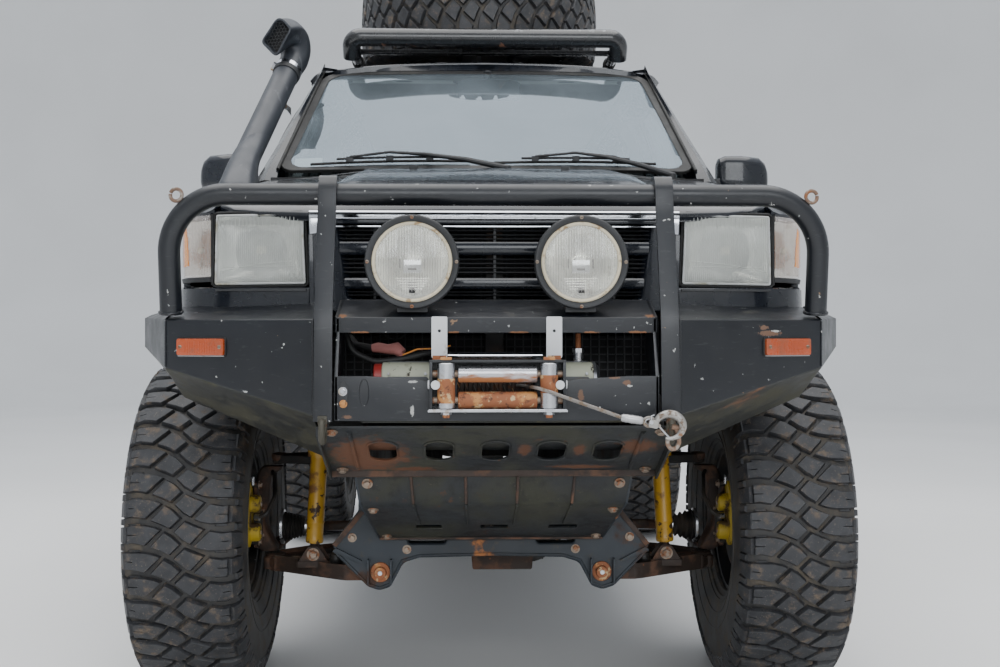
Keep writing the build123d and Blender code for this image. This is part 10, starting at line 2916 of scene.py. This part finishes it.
# ------------------------------------------------------------------ seats: padded cushions blown up as cloth, then sewn channels
def seat_fabric():
    n = Nodes("seat_cloth_woven")
    p = n.p
    base = n.mix(n.ramp(n.noise(6.0, 5), 0.3, 0.7), (0.045, 0.047, 0.052), (0.075, 0.078, 0.084))
    fleck = n.ramp(n.noise(230.0, 3, 0.6), 0.50, 0.62)
    col = n.mix(n.math("MULTIPLY", fleck, 0.6), base, (0.135, 0.138, 0.145))
    worn = n.ramp(n.noise(4.0, 6, 0.65), 0.52, 0.72)
    col = n.mix(n.math("MULTIPLY", n.math("MULTIPLY", worn, n.up(0.1, 0.9)), 0.45), col, (0.13, 0.12, 0.105))
    n.link(col, p.inputs["Base Color"])
    p.inputs["Roughness"].default_value = 0.92
    p.inputs["Sheen Weight"].default_value = 0.35
    p.inputs["Specular IOR Level"].default_value = 0.25
    h = n.math("ADD", n.math("MULTIPLY", n.voronoi(520.0), 0.35), n.math("MULTIPLY", n.noise(45.0, 4), 0.25))
    n.link(n.bump(h, 0.5, 0.0025), p.inputs["Normal"])
    return n.m


M_SEAT = seat_fabric()
PADS = []


def pad(name, w, d, h, place, cap, lines, voxel=0.012, round_=0.034, turn=None, flat=True):
    """Start form of one cushion: width, depth, height, placing matrix, how far the cloth may swell, sewn lines."""
    m = Mesh()
    b = min(h * 0.36, round_)
    m.box(-w / 2, w / 2, -d / 2, d / 2, -h / 2, h / 2, M_SEAT, bevel=b, seg=4)
    me = bpy.data.meshes.new(name + "_start")
    me.from_pydata(m.v, [], m.f)
    ob = bpy.data.objects.new(name + "_start", me)
    bpy.context.scene.collection.objects.link(ob)
    r = ob.modifiers.new("even", "REMESH")
    r.mode = "VOXEL"
    r.voxel_size = voxel
    dg = bpy.context.evaluated_depsgraph_get()
    even = bpy.data.meshes.new_from_object(ob.evaluated_get(dg))
    ob.modifiers.clear()
    ob.data = even
    PADS.append(dict(name=name, ob=ob, w=w, d=d, h=h, place=place, cap=cap, lines=lines, flat=flat, rest=[v.co.copy() for v in even.vertices]))


def lean(x, y, z, deg):
    return Matrix.Translation((x, y, z)) @ Matrix.Rotation(math.radians(deg), 4, "X")


def cross_lines(w, d, n, side):
    out = [("x", -side, -d / 2 + 0.03, d / 2 - 0.03), ("x", side, -d / 2 + 0.03, d / 2 - 0.03)]
    for k in range(n):
        out.append(("y", -d / 2 + d * (k + 1) / (n + 1), -side, side))
    return out


FW = 0.470
pad("Front_seat_base", FW, 0.440, 0.112, lean(0.365, 1.240, 1.056, 3), 0.024, cross_lines(FW, 0.44, 4, 0.150))
pad("Front_seat_back", FW, 0.600, 0.086, lean(0.365, 1.533, 1.395, 90 - 9.6), 0.024, cross_lines(FW, 0.60, 5, 0.145))
pad("Front_headrest", 0.205, 0.160, 0.072, lean(0.365, 1.590, 1.770, 90 - 8), 0.014, [("y", 0.020, -0.08, 0.08)], 0.010, 0.026)
pad("Rear_seat_base", 1.225, 0.440, 0.112, lean(0.0, 2.120, 1.056, 3), 0.024, cross_lines(1.225, 0.44, 3, 0.200) + [("x", -0.405, -0.2, 0.2), ("x", 0.405, -0.2, 0.2)], 0.014)
pad("Rear_seat_back", 1.225, 0.600, 0.086, lean(0.0, 2.413, 1.395, 90 - 9.6), 0.024, cross_lines(1.225, 0.60, 4, 0.200) + [("x", -0.405, -0.27, 0.27), ("x", 0.405, -0.27, 0.27)], 0.014)
pad("Rear_headrest", 0.205, 0.160, 0.072, lean(0.380, 2.470, 1.770, 90 - 8), 0.014, [("y", 0.020, -0.08, 0.08)], 0.010, 0.026)

for q in PADS:
    c = q["ob"].modifiers.new("cloth", "CLOTH")
    c.settings.quality = 4
    c.settings.mass = 0.3
    c.settings.use_pressure = True
    c.settings.uniform_pressure_force = 4.0
    c.settings.effector_weights.gravity = 0.0
    c.point_cache.frame_start = 1
    c.point_cache.frame_end = 20
for f in range(1, 21):
    bpy.context.scene.frame_set(f)
dg = bpy.context.evaluated_depsgraph_get()
for q in PADS:
    ev = q["ob"].evaluated_get(dg)
    q["sim"] = [v.co.copy() for v in ev.data.vertices]
bpy.context.scene.frame_set(1)


def crown(p, q):
    """How far the plain form swells when the cloth is not run."""
    a = max(0.0, 1 - (2 * p.x / q["w"]) ** 2) * max(0.0, 1 - (2 * p.y / q["d"]) ** 2)
    b = max(0.0, 1 - (2 * p.z / q["h"]) ** 2)
    s = Vector((0.0, 0.0, 0.016 * a ** 0.6 * (1 if p.z > 0 else -0.6)))
    s.x = -0.006 * b * math.copysign(1, p.x) * (1 if abs(p.x) > q["w"] * 0.40 else 0)
    return s


FINISHED = {}
for q in PADS:
    ob = q["ob"]
    ob.modifiers.clear()
    me = ob.data
    moves = [(s - r) for s, r in zip(q["sim"], q["rest"])] if "sim" in q else [crown(r, q) for r in q["rest"]]
    mean = sum(moves, Vector()) / max(1, len(moves))
    for v, r, mv in zip(me.vertices, q["rest"], moves):
        mv = mv - mean
        if mv.length > q["cap"]:
            mv = mv * (q["cap"] / mv.length)
        v.co = r + mv
        if q["flat"]:
            v.co.z = max(v.co.z, -q["h"] / 2 - 0.004)
    sub = ob.modifiers.new("smooth", "SUBSURF")
    sub.levels = 1
    dg = bpy.context.evaluated_depsgraph_get()
    fine = bpy.data.meshes.new_from_object(ob.evaluated_get(dg))
    bpy.data.objects.remove(ob)
    # sewn channels across the top, welted seam round the side
    nor = [v.normal.copy() for v in fine.vertices]
    hs = q["h"] * 0.16
    for v, n in zip(fine.vertices, nor):
        p = v.co
        dep = 0.0
        if n.z > 0.15:
            for axis, at, lo, hi in q["lines"]:
                a, b = (p.x, p.y) if axis == "x" else (p.y, p.x)
                if lo - 0.012 < b < hi + 0.012 and abs(a - at) < 0.03:
                    end = min(1.0, max(0.0, (b - lo + 0.012) / 0.024), max(0.0, (hi + 0.012 - b) / 0.024))
                    dep += 0.0085 * end * math.exp(-((a - at) / 0.0065) ** 2)
        if abs(n.z) < 0.75:
            dz = p.z - hs
            dep += 0.0050 * math.exp(-(dz / 0.0050) ** 2) - 0.0022 * math.exp(-((dz - 0.011) / 0.0050) ** 2)
        # slack creases running from the corners
        fold = math.sin(38 * (p.x + 0.4 * p.y)) * math.sin(21 * (p.y - 0.3 * p.x) + 1.3)
        dep += 0.0012 * fold * (0.35 if abs(n.z) > 0.8 else 1.0)
        v.co = p - n * min(dep, 0.010)
    FINISHED[q["name"]] = (q, [v.co.copy() for v in fine.vertices], [list(p.vertices) for p in fine.polygons])
    bpy.data.meshes.remove(fine)


def seat_piece(src, name, shift=(0.0, 0.0, 0.0), flip=False):
    q, V, Fq = FINISHED[src]
    m = Mesh()
    pts = [q["place"] @ p for p in V]
    pts = [Vector((-p.x if flip else p.x, p.y, p.z)) + Vector(shift) for p in pts]
    m.add(pts, [f[::-1] for f in Fq] if flip else Fq, M_SEAT)
    ob = m.done(name, "root", "seat_cloth", ("seats",), 60)
    return ob


for nm, fl in (("left", False), ("right", True)):
    seat_piece("Front_seat_base", "Front_seat_base_" + nm, flip=fl)
    seat_piece("Front_seat_back", "Front_seat_back_" + nm, flip=fl)
    seat_piece("Front_headrest", "Front_headrest_" + nm, flip=fl)
    seat_piece("Rear_headrest", "Rear_headrest_" + nm, flip=fl)
seat_piece("Rear_seat_base", "Rear_seat_base")
seat_piece("Rear_seat_back", "Rear_seat_back")

# hard parts: runners, recliner covers, moulded back shell, headrest stalks, belt buckles
SF = Mesh()
for sx in (-1, 1):
    for x in (0.175, 0.555):
        SF.box(min(sx * (x - 0.016), sx * (x + 0.016)), max(sx * (x - 0.016), sx * (x + 0.016)), 1.030, 1.450, 0.8815, 0.900, M_CHASSIS, 0.002)
        SF.box(min(sx * (x - 0.011), sx * (x + 0.011)), max(sx * (x - 0.011), sx * (x + 0.011)), 1.050, 1.440, 0.898, 0.922, M_ZINC, 0.002)
        for y in (1.090, 1.400):
            SF.prism([(y - 0.030, 0.920), (y + 0.030, 0.920), (y + 0.018, 0.998), (y - 0.018, 0.998)], min(sx * (x - 0.010), sx * (x + 0.010)), max(sx * (x - 0.010), sx * (x + 0.010)), "X", M_CHASSIS, 0.002)
    SF.prism(round_poly([(sx * 0.150, 1.035), (sx * 0.580, 1.035), (sx * 0.580, 1.450), (sx * 0.150, 1.450)], 0.03, 4), 0.984, 0.999, "Z", M_CHASSIS, 0.004)
    SF.prism(round_poly([(1.395, 0.955), (1.500, 0.955), (1.515, 1.080), (1.480, 1.110), (1.430, 1.085)], 0.022, 5), min(sx * 0.606, sx * 0.622), max(sx * 0.606, sx * 0.622), "X", M_PLAST, 0.005)
    SF.lathe([(0, 0), (0, 0.030), (0.006, 0.028), (0.014, 0.024), (0.014, 0)], (sx * 0.618, 1.455, 1.020), (sx, 0, 0), M_BLACKP, 32)
    for x in (0.315, 0.415):
        SF.tube([(sx * x, 1.583, 1.655), (sx * x, 1.590, 1.715)], 0.0055, M_CHROME, 12)
        SF.lathe([(0, 0), (0, 0.014), (0.006, 0.012), (0.006, 0)], (sx * x, 1.584, 1.694), (0, 0.1, 1), M_BLACKP, 20)
        SF.tube([(sx * (x + 0.015), 2.463, 1.655), (sx * (x + 0.015), 2.470, 1.715)], 0.0055, M_CHROME, 12)
    # map pocket shell on the back
    c = lean(0.365, 1.533, 1.395, 90 - 9.6)
    sh = [c @ Vector((a, b, -0.052)) for a, b in round_poly([(-0.190, -0.250), (0.190, -0.250), (0.190, 0.250), (-0.190, 0.250)], 0.05, 5)]
    sh2 = [c @ Vector((a, b, -0.064)) for a, b in round_poly([(-0.175, -0.235), (0.175, -0.235), (0.175, 0.235), (-0.175, 0.235)], 0.05, 5)]
    SF.loft([[(sx * p.x, p.y, p.z) for p in sh], [(sx * p.x, p.y, p.z) for p in sh2]], M_PLAST)
    SF.tube([(sx * 0.122, 1.440, 1.000), (sx * 0.118, 1.405, 1.090), (sx * 0.117, 1.395, 1.135)], 0.0085, M_BLACKP, 10)
    SF.box(sx * 0.117 - 0.010, sx * 0.117 + 0.010, 1.378, 1.408, 1.130, 1.180, M_RED, 0.004)
SF.prism(round_poly([(-0.600, 1.910), (0.600, 1.910), (0.600, 2.330), (-0.600, 2.330)], 0.03, 4), 0.885, 0.998, "Z", M_PLAST, 0.010)
SF.done("Seat_frames", "root", "chassis_paint", ("seats",), 34)

# ------------------------------------------------------------------ CAD nodes that stay: their own surface materials
NODE_MATS = {
    "ladder_frame": M_CHASSIS, "engine": M_CAST, "driveline": M_CAST, "fuel_tank": M_BLACKP, "exhaust": M_ARM, "rear_axle": M_CHASSIS, "front_arms": M_ARM,
    "shock_absorbers": M_SHOCK, "front_differential": M_CAST, "front_crossmember": M_CROSS, "skid_plates": M_SKID, "winch": M_WINCHB, "fairlead": M_CROSS,
    "winch_cable": M_CABLE, "winch_hook": M_ZINC, "bumper_wings": M_BUMPER, "bumper_centre": M_BUMPER, "bull_bar": M_BUMPER, "driving_lamps": M_BLACKP,
    "front_lamps": M_LAMPGLASS, "grille": M_BODY, "front_fenders": M_BODY, "hood": M_BODY, "tailgate": M_BODY, "tailgate_window": M_SIDEGLASS, "roof_panel": M_BODY,
    "rear_quarters": M_BODY, "tail_lamps": M_REDLENS, "body_pillars": M_BODY, "fixed_windows": M_SCREEN, "cabin_tub": M_CARPET, "dashboard": M_PLAST,
    "steering_wheel": M_BLACKP, "seats": M_CLOTH, "snorkel": M_SNORK, "roof_rack": M_TUBE, "knuckle_left": M_ARM, "knuckle_right": M_ARM, "steering_rods": M_ARM,
    "rear_bumper": M_BUMPER,
}
for nm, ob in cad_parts.items():
    m = NODE_MATS.get(nm)
    if m is None:
        m = M_BODY if nm.startswith("door") else M_SIDEGLASS if nm.startswith("window") else M_RIM if ("rim" in nm) else M_WALL
    ob.data.materials.clear()
    ob.data.materials.append(m)

# ------------------------------------------------------------------ stage, light, camera
def stage_mesh(name, verts, faces, mat):
    me = bpy.data.meshes.new(name)
    me.from_pydata(verts, [], faces)
    me.materials.append(mat)
    me.polygons.foreach_set("use_smooth", [True] * len(me.polygons))
    ob = bpy.data.objects.new(name, me)
    bpy.context.scene.collection.objects.link(ob)
    return ob


def studio_material():
    n = Nodes("studio_floor_pale")
    p = n.p
    g = n.mix(n.ramp(n.noise(0.35, 3, 0.5), 0.3, 0.7), (0.74, 0.74, 0.735), (0.79, 0.79, 0.785))
    n.link(g, p.inputs["Base Color"])
    p.inputs["Roughness"].default_value = 0.9
    p.inputs["Specular IOR Level"].default_value = 0.15
    return n.m


# a round pale floor whose edge curves up into a wall, the same in every direction
BOWL = [(0.0, 0.0), (2.5, 0.0), (6.0, 0.0), (10.0, 0.0), (14.0, 0.0)]
BOWL += [(14.0 + 6.0 * math.sin(a * PI / 24), 6.0 - 6.0 * math.cos(a * PI / 24)) for a in range(1, 13)] + [(20.0, 9.0), (20.0, 12.0), (20.0, 15.0)]
V, Fc = [], []
NB = 72
for r, z in BOWL[1:]:
    for k in range(NB):
        t = 2 * PI * k / NB
        V.append((r * math.cos(t), r * math.sin(t), z - 0.002))
V.append((0.0, 0.0, -0.002))
for i in range(len(BOWL) - 2):
    for k in range(NB):
        j = (k + 1) % NB
        Fc.append((i * NB + k, i * NB + j, (i + 1) * NB + j, (i + 1) * NB + k))
for k in range(NB):
    Fc.append((len(V) - 1, (k + 1) % NB, k))
stage_mesh("Stage_floor", V, Fc, studio_material())

world = bpy.data.worlds.new("Studio")
bpy.context.scene.world = world
world.use_nodes = True
bg = world.node_tree.nodes["Background"]
bg.inputs["Color"].default_value = (0.88, 0.93, 1.0, 1.0)
bg.inputs["Strength"].default_value = 1.15


def softbox(name, loc, turn, size, energy, colour):
    d = bpy.data.lights.new(name, "AREA")
    d.shape = "RECTANGLE"
    d.size, d.size_y = size
    d.energy = energy
    d.color = colour
    ob = bpy.data.objects.new(name, d)
    ob.location = loc
    ob.rotation_euler = [math.radians(a) for a in turn]
    bpy.context.scene.collection.objects.link(ob)
    return ob


softbox("Soft_top", (0.0, -1.5, 7.5), (0, 0, 0), (8.0, 8.0), 620, (1.0, 0.985, 0.96))
softbox("Soft_front", (0.6, -9.5, 3.6), (72, 0, 4), (6.0, 3.2), 260, (0.94, 0.97, 1.0))

cam_d = bpy.data.cameras.new("Camera")
cam = bpy.data.objects.new("Camera", cam_d)
cam_d.sensor_width = 36.0
cam_d.lens = 44.64
cam_d.clip_start = 0.05
cam_d.clip_end = 200.0
cam.location = (-0.072, SH - 3.8, 1.05)
cam.rotation_euler = (math.radians(90.0), math.radians(0.0), math.radians(-1.57))
bpy.context.scene.collection.objects.link(cam)
bpy.context.scene.camera = cam
